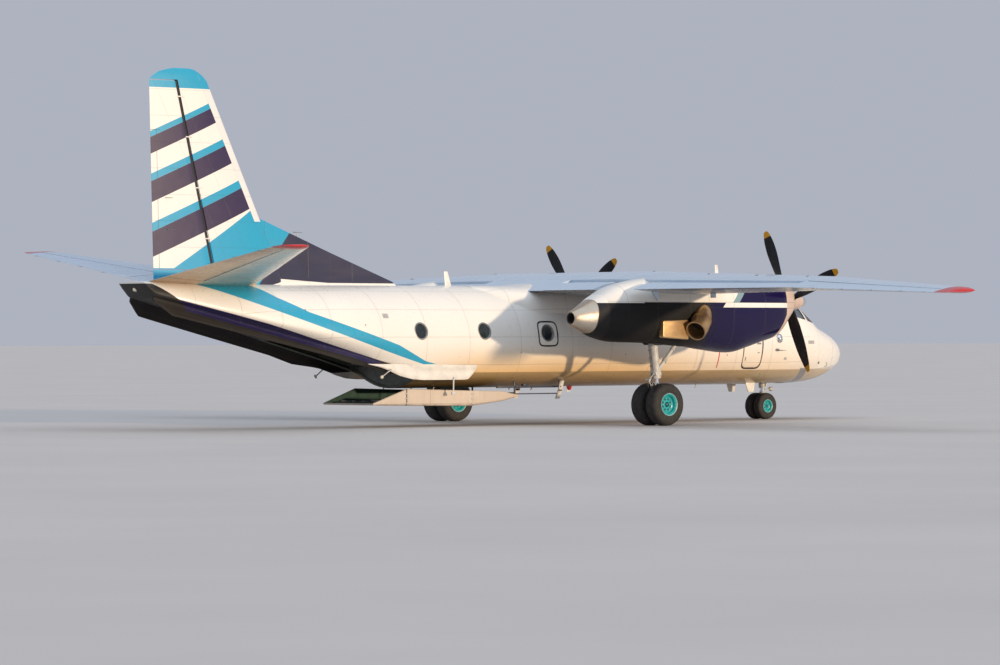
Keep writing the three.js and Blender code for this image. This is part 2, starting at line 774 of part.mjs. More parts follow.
// Wheels: the pair turns with its axle in the leg's bearing
function wheelProfile({ radius, width, rim }) {
  const half = width / 2;
  const side = [[rim * 0.45, 0.62], [rim * 0.9, 0.36], [rim, 0.84], [radius * 0.8, 1], [radius, 0.5]];
  const inward = side.map(([r, share]) => [r, -share * half]);
  const outward = side.map(([r, share]) => [r, share * half]).reverse();
  return [[0, -0.62 * half], ...inward, ...outward, [0, 0.62 * half]];
}

const wheelSides = 18;

// Each wheel stands on a flat of its faceted tread, so the flats lie at the tyre's radius
function wheelPair(tyre, axle, y, axleRadius) {
  const half = Math.PI / wheelSides;
  const profile = wheelProfile(tyre).map(([r, side]) => [r / Math.cos(half), side]);
  const wheels = [-1, 1].map((side) => lathe(profile, wheelSides).rotateY(half)
    .translate(axle.x, y + side * tyre.spacing, axle.z));
  const shaft = new THREE.CylinderGeometry(axleRadius, axleRadius, 2 * tyre.spacing, 12);
  shaft.rotateY(Math.PI / 12).translate(axle.x, y, axle.z);
  return join(shaft, ...wheels);
}

// Main leg: strut, piston and bearing, drag brace and torque link
const mainAxleRadius = 45;
const noseAxleRadius = 32;

function acrossBar({ x, z }, reach, radius) {
  return bar([x, nacelleY - reach, z], [x, nacelleY + reach, z], radius);
}

function mainLeg() {
  const top = [1200, nacelleY, 2300];
  const bottom = [1345, nacelleY, 1180];
  const strut = bar(top, bottom, 105);
  const piston = bar(bottom, [mainAxle.x - 4, nacelleY, mainAxle.z + 20], 58);
  const hub = acrossBar(mainAxle, 60, 95);
  const brace = bar([2150, nacelleY, 2150], [1330, nacelleY, 1300], 48, 48, 8);
  const braceFoot = box([1230, nacelleY - 120, 1230], [1450, nacelleY + 120, 1330]);
  const linkUpper = bar([1250, nacelleY, 1330], [1060, nacelleY, 1130], 36, 36, 8);
  const linkLower = bar([1060, nacelleY, 1130], [1330, nacelleY, 800], 32, 32, 8);
  const bore = acrossBar(mainAxle, 80, boreFor(mainAxleRadius));
  const leg = join(strut, piston, hub, brace, braceFoot, linkUpper, linkLower);
  return cut(leg, bore, loft(nacelleRings(cowlRearX, nacelleTailX, -fit)));
}

// Nose leg: fixed upper part, steered fork below it
const noseLegFoot = 830;
const noseFork = { crown: 745, radius: 55 };

function noseLeg() {
  const outer = bar([steerX, 0, floorZ - floorDepth - fit], [steerX, 0, noseLegFoot], 85);
  const brace = bar([9560, 0, 1330], [steerX, 0, 960], 38);
  const yoke = bar([steerX, -210, 1330], [steerX, 210, 1330], 45);
  return join(outer, brace, yoke);
}

function noseForkPiece() {
  const piston = bar([steerX, 0, noseLegFoot - fit], [steerX, 0, noseFork.crown - 60], 70);
  const stem = bar([steerX, 0, noseFork.crown], [noseAxle.x, 0, noseAxle.z], 36);
  const hub = bar([noseAxle.x, -34, noseAxle.z], [noseAxle.x, 34, noseAxle.z], 70);
  const link = bar([steerX, 0, 720], [9200, 0, 600], 26);
  const linkLow = bar([9200, 0, 600], [noseAxle.x, 0, noseAxle.z], 26);
  const bore = bar([noseAxle.x, -60, noseAxle.z], [noseAxle.x, 60, noseAxle.z], boreFor(noseAxleRadius));
  return cut(join(piston, stem, hub, link, linkLow), bore);
}

const noseDoorOutline = [[8180, 730], [8380, 730], [8440, 1060], [8060, 1060]];

function noseDoor() {
  const plate = sidePrism(noseDoorOutline, 345, 370);
  return cut(plate, bodyBlock(8700, 7000, -fit));
}

// Cockpit windows: side panes as outlines in X and Z, front panes as outlines in Y and Z
const sidePanes = [
  [[9020, 2740], [9560, 2640], [9560, 3040], [9150, 3130]],
  [[9640, 2625], [10080, 2545], [9860, 2900], [9640, 3010]],
];
const frontPanes = [
  [[40, 2700], [560, 2690], [500, 3060], [40, 3110]],
  [[620, 2690], [870, 2640], [720, 2950], [570, 3010]],
];

function windowBlocks(shrink) {
  const reduce = (outline) => {
    const middle = outline.reduce(([a, b], [c, d]) => [a + c / 4, b + d / 4], [0, 0]);
    return outline.map((corner) => corner.map((value, i) => value - Math.sign(value - middle[i]) * shrink));
  };
  const sides = sidePanes.map((outline) => sidePrism(reduce(outline), 700, 1600));
  const fronts = frontPanes.map((outline) => frontPrism(reduce(outline), 9450, 11200));
  return [...sides, ...fronts].flatMap((block) => [block, mirrored(block)]);
}

const noseBay = [[8450, -300], [9650, -300], [9650, 300], [8450, 300]];
const blister = { x: 8520, y: 1361, z: 2480, radius: 300, sunk: 45, sides: 20 };
const blisterLean = THREE.MathUtils.degToRad(18.5);

// The blister's axis stands square to the body's side
function blisterLaid(geometry) {
  return geometry.rotateX(blisterLean).translate(blister.x, blister.y, blister.z);
}

function cockpitSection() {
  const shell = bodyTube(radomeX, cockpitX, bodyWall);
  const hole = new THREE.CylinderGeometry(blister.radius, blister.radius, 500, blister.sides);
  return cut(shell, ...windowBlocks(0), planPrism(noseBay, 700, 1150), blisterLaid(hole));
}

function cockpitGlazing() {
  const glassDepth = bodyWall + fit;
  const linerCore = bodyBlock(radomeX + 5, cockpitX - 5, glassDepth + 20);
  const liner = cut(bodyBlock(radomeX, cockpitX, glassDepth), linerCore);
  const band = sidePrism([[8900, 2560], [10500, 2480], [10500, 3400], [8900, 3300]], -1500, 1500);
  const skin = bodyBlock(radomeX, cockpitX, 8);
  const middle = bodyBlock(radomeX, cockpitX, glassDepth + 10);
  const panes = windowBlocks(3).map((block) => cut(common(block, skin), middle));
  return join(common(liner, band), ...panes);
}

function navigatorBlister() {
  const { radius, sunk, sides } = blister;
  const dome = new THREE.SphereGeometry(radius - fit, sides, 10).scale(1, 0.62, 1);
  const core = new THREE.SphereGeometry(radius - 20, sides, 10).scale(1, 0.58, 1);
  const below = box([-400, -400, -400], [400, 0, 400]);
  return blisterLaid(cut(dome, core, below).translate(0, -sunk, 0));
}

// Crew door on the starboard side, with rounded lower corners
const doorOutline = [[6960, 1500], [7060, 1385], [7530, 1385], [7630, 1500], [7630, 2680], [7530, 2780],
  [7060, 2780], [6960, 2680]];
const doorMiddle = { x: 7295, z: 2080 };

function doorBlock(shrink) {
  const inward = (value, middle) => value - Math.sign(value - middle) * shrink;
  const outline = doorOutline.map(([x, z]) => [inward(x, doorMiddle.x), inward(z, doorMiddle.z)]);
  return sidePrism(outline, -1600, -1000);
}

function fuselageFront() {
  return cut(bodyTube(cockpitX - fit, frontJointX, bodyWall), doorBlock(0));
}

function crewDoor() {
  return common(bodyTube(cockpitX - 100, frontJointX + 100, bodyWall), doorBlock(fit));
}

function fuselageCentre() {
  const saddle = wholeSurface(wing, -10, 2400, seat);
  return cut(bodyTube(frontJointX - fit, rampSillX + fit, bodyWall), saddle, mirrored(saddle));
}

// The ramp's opening narrows aft between the creases
const rampOpening = [[rampSillX + 20, -1190], [rampSillX + 20, 1190], [rampEndX, 850], [rampEndX, -850]];

function fuselageRear() {
  return cut(bodyTube(rampSillX, tailConeX, rearWall), planPrism(rampOpening, 500, 2330));
}

function tailCone() {
  const hollowPart = bodyBlock(tailConeX + 10, -11600, rearWall);
  return cut(bodyBlock(tailConeX - fit, tailEndX), hollowPart);
}

function holdFloor() {
  const inside = bodyBlock(cockpitX - 90, rampSillX + 30, bodyWall + fit);
  const deck = box([rampSillX + 30, -1400, floorZ - floorDepth], [cockpitX - 90, 1400, floorZ]);
  const sill = box([rampSillX + 30, -1400, 900], [rampSillX + 90, 1400, floorZ - 10]);
  return join(common(deck, inside), common(sill, inside));
}

function cockpitBulkhead() {
  const plate = bodyBlock(cockpitX - 60, cockpitX - 10, bodyWall + fit);
  const doorway = box([7800, -340, floorZ], [8100, 340, 3120]);
  return cut(plate, doorway);
}

function cockpitFloor() {
  const inside = bodyBlock(10550, cockpitX + 10, bodyWall + fit);
  const deck = box([cockpitX + 10, -1400, floorZ - floorDepth], [10550, 1400, floorZ]);
  const pedestal = box([9560, -180, floorZ - 10], [10150, 180, 2080]);
  return join(common(deck, inside), pedestal);
}

function instrumentPanel() {
  const inside = bodyBlock(10500, 9900, bodyWall + 25);
  const board = box([10160, -1200, floorZ + fit], [10230, 1200, 2500]);
  const shelf = box([9960, -1200, 2400], [10230, 1200, 2470]);
  return join(common(board, inside), common(shelf, inside));
}

function crewSeat() {
  const base = box([8900, 400, floorZ + fit], [9200, 640, 1800]);
  const cushion = box([8800, 310, 1790], [9290, 730, 1900]);
  const back = sidePrism([[8790, 1880], [8910, 1880], [8790, 2640], [8700, 2640]], 310, 730);
  return join(base, cushion, back);
}

// Ventral strakes: x, lower edge z, with the root on the crease and the lower edge splayed out
const strakeStations = [
  [-4250, 1240],
  [-4930, 1215],
  [-6920, 1770],
  [-8750, 2170],
  [-11200, 2707],
  [-11600, 3040],
];
const strakeSplay = 180;
const strakeThick = 40;

function strake() {
  const rings = strakeStations.map(([x, low]) => {
    const [, , , , creaseWide, crease] = between(bodyStations, x);
    const rootZ = crease + 40;
    const outer = creaseWide + strakeSplay * Math.min(1, (crease - low) / 300);
    const corners = [[creaseWide - strakeThick, rootZ], [creaseWide + 25, rootZ], [outer, low],
      [outer - strakeThick, low]];
    return corners.map(([y, z]) => new THREE.Vector3(x, y, z));
  });
  return cut(loft(rings), bodyBlock(-3500, tailEndX, -fit));
}

// Cargo ramp, slid forward under the belly: its side outline, and the same outline inside its walls
const rampOutline = [[-5310, 545], [-4280, 525], [-2220, 500], [-1240, 612], [-780, 712],
  [-1240, 850], [-4270, 938]];
const rampInside = [[-5600, 492], [-5230, 590], [-4280, 572], [-2220, 547], [-1290, 657],
  [-1130, 1200], [-6000, 1200]];
const rampPlan = [[-5400, -950], [-600, -1200], [-600, 1200], [-5400, 950]];
const rampWall = 45;
const hangerPlaces = [[-1750, 1080], [-4050, 960]];

function cargoRamp() {
  const inner = rampPlan.map(([x, y]) => [x, y - Math.sign(y) * rampWall]);
  const whole = common(sidePrism(rampOutline, -1300, 1300), planPrism(rampPlan, 400, 1300));
  const tray = cut(whole, common(sidePrism(rampInside, -1300, 1300), planPrism(inner, 400, 1300)));
  const hangers = hangerPlaces.map(([x, y]) => box([x, y - 25, 800], [x + 160, y + 25, 1350]));
  const pairs = hangers.flatMap((hanger) => [hanger, mirrored(hanger)]);
  return cut(join(tray, ...pairs), bodyBlock(0, -4500, -fit));
}

// The assembly
const aircraft = new THREE.Group();

function add(name, geometry, material) {
  const mesh = new THREE.Mesh(geometry, materials[material]);
  mesh.name = name;
  aircraft.add(mesh);
}

function addPair(name, geometry, material) {
  add(`${name}_left`, geometry, material);
  add(`${name}_right`, mirrored(geometry), material);
}

add('nose_radome', bodyBlock(11900, radomeX + fit), 'cream');
add('cockpit_section', cockpitSection(), 'cream');
add('cockpit_glazing', cockpitGlazing(), 'glass');
add('navigator_blister', navigatorBlister(), 'glass');
add('cockpit_floor', cockpitFloor(), 'deck');
add('instrument_panel', instrumentPanel(), 'dark');
addPair('crew_seat', crewSeat(), 'seat');
add('cockpit_bulkhead', cockpitBulkhead(), 'deck');
add('fuselage_front', fuselageFront(), 'cream');
add('crew_door', crewDoor(), 'cream');
add('fuselage_centre', fuselageCentre(), 'cream');
add('fuselage_rear', fuselageRear(), 'cream');
add('tail_cone', tailCone(), 'cream');
add('hold_floor', holdFloor(), 'deck');
addPair('ventral_strake', strake(), 'navy');
add('cargo_ramp', cargoRamp(), 'cream');

add('wing_centre', wingCentre(), 'wingWhite');
addPair('wing_outer', outerWing(), 'wingWhite');
addPair('flap_inner', flap(innerFlap), 'wingWhite');
addPair('flap_outer', flap(outerFlap), 'wingWhite');
addPair('aileron', controlSurface(wing, aileronSpan, aileronFraction), 'wingWhite');

add('fin', finBox(), 'navy');
add('dorsal_fin', dorsalFin(), 'navy');
add('rudder', lightControl(fin, rudderSpan, rudderFraction), 'navy');
addPair('tailplane', tailplaneHalf(), 'wingWhite');
addPair('elevator', lightControl(tailplane, elevatorSpan, elevatorFraction), 'wingWhite');

addPair('cowling', cowling(), 'navy');
addPair('nacelle', nacelleBody(), 'dark');
addPair('nacelle_tail', nacelleTail(), 'metal');
addPair('engine', engine(), 'engine');
addPair('exhaust', exhaust(), 'metal');
add('propeller_left', propeller(1, THREE.MathUtils.degToRad(36.7)), 'blade');
add('propeller_right', propeller(-1, THREE.MathUtils.degToRad(23.05)), 'blade');

addPair('main_leg', mainLeg(), 'strut');
add('main_wheels_left', wheelPair(mainTyre, mainAxle, nacelleY, mainAxleRadius), 'tyre');
add('main_wheels_right', wheelPair(mainTyre, mainAxle, -nacelleY, mainAxleRadius), 'tyre');
add('nose_leg', noseLeg(), 'strut');
add('nose_fork', noseForkPiece(), 'strut');
add('nose_wheels', wheelPair(noseTyre, noseAxle, 0, noseAxleRadius), 'tyre');
addPair('nose_door', noseDoor(), 'cream');

export default aircraft;
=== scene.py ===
import bpy
import bmesh
import math
from mathutils import Matrix, Vector


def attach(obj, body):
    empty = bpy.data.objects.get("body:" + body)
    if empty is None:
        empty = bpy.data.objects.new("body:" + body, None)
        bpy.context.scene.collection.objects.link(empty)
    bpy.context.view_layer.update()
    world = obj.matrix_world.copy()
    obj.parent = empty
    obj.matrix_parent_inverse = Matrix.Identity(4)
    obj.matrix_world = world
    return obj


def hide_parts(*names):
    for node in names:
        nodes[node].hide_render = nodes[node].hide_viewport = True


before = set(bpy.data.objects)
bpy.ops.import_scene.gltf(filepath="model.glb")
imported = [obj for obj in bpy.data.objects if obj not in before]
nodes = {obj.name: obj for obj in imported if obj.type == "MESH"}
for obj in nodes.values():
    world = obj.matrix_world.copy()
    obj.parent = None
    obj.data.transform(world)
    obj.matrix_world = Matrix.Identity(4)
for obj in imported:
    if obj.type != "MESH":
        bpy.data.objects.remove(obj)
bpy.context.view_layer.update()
scene = bpy.context.scene
print("frame loaded")


# Shader maths: a wire is a socket, and an expression on wires adds Math nodes
class Wire:
    def __init__(self, paint, socket):
        self.paint, self.socket = paint, socket

    def math(self, operation, *values, clamp=False):
        settings = {"operation": operation, "use_clamp": clamp}
        return self.paint.node("ShaderNodeMath", settings, dict(enumerate(values)))

    def __add__(self, other):
        return self.math("ADD", self, other)

    __radd__ = __add__

    def __sub__(self, other):
        return self.math("SUBTRACT", self, other)

    def __rsub__(self, other):
        return self.math("SUBTRACT", other, self)

    def __mul__(self, other):
        return self.math("MULTIPLY", self, other)

    __rmul__ = __mul__

    def __truediv__(self, other):
        return self.math("DIVIDE", self, other)

    def __neg__(self):
        return self.math("MULTIPLY", self, -1.0)

    def abs(self):
        return self.math("ABSOLUTE", self)

    def least(self, other):
        return self.math("MINIMUM", self, other)

    def most(self, other):
        return self.math("MAXIMUM", self, other)

    def above(self, edge, soft=0.004):
        # 1 where the value is over the edge, with a soft step
        return self.math("MULTIPLY_ADD", self - edge, 1.0 / soft, 0.5, clamp=True)

    def below(self, edge, soft=0.004):
        return 1 - self.above(edge, soft)

    def within(self, low, high, soft=0.004):
        return self.above(low, soft) * self.below(high, soft)

    def near(self, places, width, soft=0.004):
        # 1 on narrow lines at the places given
        gap = None
        for place in places:
            reach = (self - place).abs()
            gap = reach if gap is None else gap.least(reach)
        return gap.below(width / 2, soft)

    def every(self, step, width, soft=0.004, shift=0.0):
        # 1 on narrow lines a step apart
        phase = self.math("PINGPONG", self + shift, step / 2)
        return phase.below(width / 2, soft)

    def ramp(self, low, high, to=(0.0, 1.0)):
        values = {0: self, 1: low, 2: high, 3: to[0], 4: to[1]}
        return self.paint.node("ShaderNodeMapRange", {"clamp": True}, values)


# One material while it is built
class Paint:
    def __init__(self, name):
        self.material = bpy.data.materials.new(name)
        self.material.use_nodes = True
        self.tree = self.material.node_tree
        self.tree.nodes.clear()
        self.shader = self.tree.nodes.new("ShaderNodeBsdfPrincipled")
        self.output = self.tree.nodes.new("ShaderNodeOutputMaterial")
        self.tree.links.new(self.shader.outputs[0], self.output.inputs[0])
        self.place = self.node("ShaderNodeTexCoord", {}, {}, out="Object")
        self.x = self.node("ShaderNodeSeparateXYZ", {}, {0: self.place}, out="X")
        self.y = Wire(self, self.x.socket.node.outputs["Y"])
        self.z = Wire(self, self.x.socket.node.outputs["Z"])

    def node(self, kind, settings, values, out=0):
        made = self.tree.nodes.new(kind)
        for key, value in settings.items():
            if key == "stops":
                ramp = made.color_ramp
                for stop, (place, colour) in enumerate(value):
                    element = ramp.elements[stop] if stop < 2 else ramp.elements.new(place)
                    element.position, element.color = place, (*colour, 1.0)
            else:
                setattr(made, key, value)
        for key, value in values.items():
            socket = made.inputs[key]
            if isinstance(value, Wire):
                self.tree.links.new(value.socket, socket)
            elif hasattr(socket, "default_value"):
                colour = socket.type == "RGBA" and len(value) == 3
                socket.default_value = (*value, 1.0) if colour else value
        return Wire(self, made.outputs[out])

    def noise(self, scale, detail=4.0, rough=0.55, stretch=(1, 1, 1)):
        mapped = self.node("ShaderNodeMapping", {}, {"Vector": self.place, "Scale": stretch})
        values = {"Vector": mapped, "Scale": scale, "Detail": detail, "Roughness": rough}
        return self.node("ShaderNodeTexNoise", {}, values)

    def mix(self, share, under, over, how="MIX"):
        made = self.tree.nodes.new("ShaderNodeMix")
        made.data_type, made.blend_type = "RGBA", how
        for socket, value in zip((made.inputs[0], made.inputs[6], made.inputs[7]), (share, under, over)):
            if isinstance(value, Wire):
                self.tree.links.new(value.socket, socket)
            else:
                socket.default_value = value if socket.type != "RGBA" else (*value, 1.0)
        return Wire(self, made.outputs[2])

    def set(self, **values):
        names = {"colour": "Base Color", "rough": "Roughness", "metal": "Metallic", "coat": "Coat Weight",
                 "coatRough": "Coat Roughness", "alpha": "Alpha", "glow": "Emission Color",
                 "glowPower": "Emission Strength", "ior": "IOR", "clear": "Transmission Weight",
                 "specular": "Specular IOR Level"}
        for key, value in values.items():
            socket = self.shader.inputs[names[key]]
            if isinstance(value, Wire):
                self.tree.links.new(value.socket, socket)
            else:
                socket.default_value = (*value, 1.0) if socket.type == "RGBA" else value
        return self

    def bump(self, height, depth, strength=1.0):
        values = {"Height": height, "Distance": depth, "Strength": strength}
        normal = self.node("ShaderNodeBump", {}, values)
        self.tree.links.new(normal.socket, self.shader.inputs["Normal"])
        return self


# Mesh helpers
def smoothTable(rows, x, straight=()):
    # values of a table at x, on a smooth curve that doesn't overshoot; the rows run from high x to low x
    last = len(rows) - 1
    i = max(0, min(last - 1, next((n for n in range(last) if rows[n + 1][0] <= x), last - 1)))
    steps = [rows[n + 1][0] - rows[n][0] for n in range(last)]
    share = (x - rows[i][0]) / steps[i]

    def slope(n, column):
        before = (rows[n][column] - rows[n - 1][column]) / steps[n - 1] if n > 0 else None
        after = (rows[n + 1][column] - rows[n][column]) / steps[n] if n < last else None
        if before is None or after is None:
            return after if before is None else before
        if before * after <= 0:
            return 0.0
        return 2 * before * after / (before + after)

    values = []
    for column in range(1, len(rows[0])):
        a, b = rows[i][column], rows[i + 1][column]
        if column in straight:
            values.append(a + (b - a) * share)
            continue
        t, h = share, steps[i]
        values.append(a * (2 * t**3 - 3 * t**2 + 1) + b * (3 * t**2 - 2 * t**3)
                      + h * slope(i, column) * (t**3 - 2 * t**2 + t) + h * slope(i + 1, column) * (t**3 - t**2))
    return values


def steps(low, high, count):
    return [low + (high - low) * i / count for i in range(count + 1)]


def spread(marks, step):
    # places from the first mark to the last, no further apart than step, with each mark among them
    places = [marks[0]]
    for a, b in zip(marks, marks[1:]):
        count = max(1, math.ceil(abs(b - a) / step))
        places += steps(a, b, count)[1:]
    return places


def loftRings(bm, rings, ends=(True, True)):
    # a skin over closed rings of equal count: a circle laid on the first ring, its edge extruded to each next one
    count = len(rings[0])
    order = bm.verts.layers.int.get("order") or bm.verts.layers.int.new("order")
    loop = bmesh.ops.create_circle(bm, segments=count, radius=1.0)["verts"]
    for i, vert in enumerate(loop):
        vert[order] = i
        vert.co = rings[0][i]
    edges = list({edge for vert in loop for edge in vert.link_edges})
    if ends[0]:
        bmesh.ops.contextual_create(bm, geom=edges)
    for ring in rings[1:]:
        grown = bmesh.ops.extrude_edge_only(bm, edges=edges)["geom"]
        loop = [item for item in grown if isinstance(item, bmesh.types.BMVert)]
        fresh = set(loop)
        for vert in loop:
            vert.co = ring[vert[order]]
        edges = [item for item in grown if isinstance(item, bmesh.types.BMEdge) and fresh.issuperset(item.verts)]
    if ends[1]:
        bmesh.ops.contextual_create(bm, geom=edges)
    return bm


def lathed(bm, profile, sides, axis, centre, angle=0.0):
    # a profile of (radius, place along the axis), spun round the axis
    axis = Vector(axis).normalized()
    side = axis.orthogonal().normalized()
    side = Matrix.Rotation(angle, 3, axis) @ side
    verts = [bm.verts.new(Vector(centre) + side * r + axis * h) for r, h in profile]
    edges = [bm.edges.new(pair) for pair in zip(verts, verts[1:])]
    spun = bmesh.ops.spin(bm, geom=verts + edges, cent=centre, axis=axis, angle=2 * math.pi, steps=sides,
                          use_merge=True)
    bmesh.ops.remove_doubles(bm, verts=bm.verts[:], dist=1e-5)
    return spun


def boxed(bm, low, high, turn=None, bevel=0.0):
    size = [b - a for a, b in zip(low, high)]
    centre = [(a + b) / 2 for a, b in zip(low, high)]
    place = Matrix.Translation(centre) @ (turn or Matrix.Identity(4)) @ Matrix.Diagonal((*size, 1))
    verts = bmesh.ops.create_cube(bm, size=1.0, matrix=place)["verts"]
    if bevel:
        edges = list({edge for vert in verts for edge in vert.link_edges})
        bmesh.ops.bevel(bm, geom=edges, offset=bevel, offset_type="OFFSET", segments=2, profile=0.5,
                        affect="EDGES", material=-1)
    return verts


def rod(bm, start, end, radius, endRadius=None, sides=16, caps=True):
    start, end = Vector(start), Vector(end)
    along = end - start
    place = Matrix.Translation((start + end) / 2) @ along.to_track_quat("Z", "Y").to_matrix().to_4x4()
    top = radius if endRadius is None else endRadius
    return bmesh.ops.create_cone(bm, cap_ends=caps, segments=sides, radius1=radius, radius2=top,
                                 depth=along.length, matrix=place)["verts"]


def prism(bm, outline, low, high, lay):
    # a flat outline laid at low and high by lay(a, b, depth)
    verts = [bm.verts.new(lay(a, b, low)) for a, b in outline]
    face = bm.faces.new(verts)
    grown = bmesh.ops.extrude_face_region(bm, geom=[face])["geom"]
    fresh = [item for item in grown if isinstance(item, bmesh.types.BMVert)]
    shift = lay(0, 0, high) - lay(0, 0, low)
    bmesh.ops.translate(bm, verts=fresh, vec=shift)
    return verts + fresh


def sideLay(a, b, depth):
    return Vector((a, depth, b))


def frontLay(a, b, depth):
    return Vector((depth, a, b))


def planLay(a, b, depth):
    return Vector((a, b, depth))


def rounded(outline, radius, count=5):
    # the outline with its corners rounded
    points = []
    for i, corner in enumerate(outline):
        corner = Vector(corner)
        before, after = Vector(outline[i - 1]) - corner, Vector(outline[(i + 1) % len(outline)]) - corner
        reach = min(radius, before.length / 2.1, after.length / 2.1)
        start, end = corner + before.normalized() * reach, corner + after.normalized() * reach
        for t in steps(0, 1, count):
            points.append(tuple(start * (1 - t) ** 2 + corner * 2 * t * (1 - t) + end * t**2))
    return points


def finishPiece(name, bm, body, material, stands=(), angle=30, turn=True, solid=None):
    # the mesh becomes a piece that rides on its body
    bmesh.ops.remove_doubles(bm, verts=bm.verts[:], dist=1e-5)
    if turn:
        bmesh.ops.recalc_face_normals(bm, faces=bm.faces[:])
    limit = math.radians(angle)
    for edge in bm.edges:
        edge.smooth = len(edge.link_faces) == 2 and edge.calc_face_angle(0) < limit
    for face in bm.faces:
        face.smooth = True
    mesh = bpy.data.meshes.new(name)
    bm.to_mesh(mesh)
    bm.free()
    made = bpy.data.objects.new(name, mesh)
    scene.collection.objects.link(made)
    for entry in material if isinstance(material, (list, tuple)) else [material]:
        mesh.materials.append(entry)
    if solid:
        wall = made.modifiers.new("wall", "SOLIDIFY")
        wall.thickness, wall.offset = solid, -1.0
        wall.use_even_offset = True
        if len(mesh.materials) > 1:
            wall.material_offset = wall.material_offset_rim = 1
    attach(made, body)
    if stands:
        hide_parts(*stands)
    return made


def nodeCopy(name):
    # a CAD node's mesh with its loose triangles merged and its flat faces joined
    bm = bmesh.new()
    bm.from_mesh(nodes[name].data)
    bmesh.ops.remove_doubles(bm, verts=bm.verts[:], dist=1e-5)
    bmesh.ops.dissolve_limit(bm, angle_limit=math.radians(1), verts=bm.verts[:], edges=bm.edges[:])
    for face in bm.faces:
        face.material_index = 0
    return bm


def mirrorY(bm):
    bmesh.ops.scale(bm, vec=(1, -1, 1), verts=bm.verts[:])
    bmesh.ops.reverse_faces(bm, faces=bm.faces[:])


# Fuselage: station x, top, middle z, half width, crease half width, crease z, belly z
fuselage = {
    "stations": [
        (11.9, 1.760, 1.700, 0.070, 0.060, 1.670, 1.640),
        (11.82, 1.905, 1.715, 0.235, 0.200, 1.600, 1.500),
        (11.6, 2.110, 1.760, 0.450, 0.390, 1.500, 1.330),
        (11.25, 2.300, 1.820, 0.680, 0.600, 1.440, 1.170),
        (10.9, 2.430, 1.870, 0.860, 0.760, 1.400, 1.060),
        (10.45, 2.600, 1.930, 1.050, 0.930, 1.365, 0.990),
        (9.9, 3.050, 1.980, 1.230, 1.090, 1.340, 0.955),
        (9.4, 3.340, 2.010, 1.350, 1.190, 1.332, 0.942),
        (8.7, 3.460, 2.025, 1.430, 1.255, 1.330, 0.940),
        (8.0, 3.480, 2.030, 1.450, 1.270, 1.330, 0.940),
        (-4.0, 3.480, 2.030, 1.450, 1.270, 1.330, 0.940),
        (-5.4, 3.480, 2.130, 1.435, 1.124, 1.663, 1.590),
        (-7.5, 3.480, 2.400, 1.290, 0.906, 2.163, 2.110),
        (-9.4, 3.490, 2.760, 1.010, 0.708, 2.615, 2.565),
        (-10.9, 3.520, 3.080, 0.720, 0.552, 2.972, 2.930),
        (-11.5, 3.530, 3.220, 0.590, 0.440, 3.110, 3.075),
        (-11.62, 3.530, 3.260, 0.570, 0.420, 3.140, 3.105),
        (-11.77, 3.525, 3.370, 0.540, 0.400, 3.310, 3.290),
        (-11.9, 3.515, 3.490, 0.500, 0.380, 3.470, 3.460),
    ],
    "wall": 0.06, "rearWall": 0.035,
    "upper": 20, "lower": 8, "belly": 7,  # points round half a section
    "joints": (11.9, 10.9, 8.0, 3.6, -4.0, -9.4, -11.9),
    "opening": [(-3.98, -1.19), (-3.98, 1.19), (-7.5, 0.85), (-7.5, -0.85)],
}


def fuselageHalf(x, inset=0.0):
    top, middle, wide, creaseWide, crease, belly = smoothTable(fuselage["stations"], x, straight=(4, 5, 6))
    wide, creaseWide = wide - inset, min(creaseWide, wide * 0.985) - 0.85 * inset
    top, crease, belly = top - inset, crease + 0.5 * inset, belly + inset
    drop = middle - crease
    depth = drop / math.sqrt(1 - (creaseWide / wide) ** 2)
    points = []
    for i in range(fuselage["upper"] + 1):
        angle = math.pi / 2 * (1 - i / fuselage["upper"])
        points.append((wide * math.cos(angle), middle + (top - middle) * math.sin(angle)))
    for i in range(1, fuselage["lower"] + 1):
        z = drop * i / fuselage["lower"]
        points.append((wide * math.sqrt(max(0.0, 1 - (z / depth) ** 2)), middle - z))
    for i in range(1, fuselage["belly"] + 1):
        y = creaseWide * (1 - i / fuselage["belly"])
        points.append((y, belly + (crease - belly) * (y / creaseWide) ** 2))
    return points


def fuselageRing(x, inset=0.0):
    half = fuselageHalf(x, inset)
    other = [(-y, z) for y, z in reversed(half[1:-1])]
    return [Vector((x, y, z)) for y, z in half + other]


def fuselagePoint(x, z, side=-1):
    # the point of the skin at a height on one side, and the way out of it
    half = fuselageHalf(x)
    for (y0, z0), (y1, z1) in zip(half, half[1:]):
        if z1 <= z <= z0 and z0 > z1:
            share = (z0 - z) / (z0 - z1)
            out = Vector((0, z0 - z1, y1 - y0)).normalized()
            return Vector((x, side * (y0 + (y1 - y0) * share), z)), Vector((0, side * out.y, out.z))
    raise ValueError(f"no skin at {x}, {z}")


def fuselageSkin(high, low, step=0.2, ends=(False, False)):
    marks = [x for x, *_ in fuselage["stations"] if low < x < high]
    places = spread([high, *marks, low], step)
    return loftRings(bmesh.new(), [fuselageRing(x) for x in places], ends)


# Lifting surfaces: span place, leading edge x, leading edge height, chord, thickness
def wingRow(y, thickness, back=0.0, less=0.0):
    out = max(0.0, y - 2.76)
    chord = 3.5 - 0.2031 * out
    trail = 3.36 - math.tan(math.radians(2)) * max(0.0, y - 9.85)
    lead = 3.31 - math.tan(math.radians(9.68)) * out
    return (y, lead - back, trail + chord * math.sin(math.radians(3)), chord - less, thickness)


def wingLay(span, aft, off, row):
    lean = math.radians(3)
    return Vector((row[1] - aft * math.cos(lean) - off * math.sin(lean), span,
                   row[2] - aft * math.sin(lean) + off * math.cos(lean)))


def tailLay(span, aft, off, row):
    return Vector((row[1] - aft, span, row[2] + off))


def finLay(span, aft, off, row):
    return Vector((row[1] - aft, off, span))


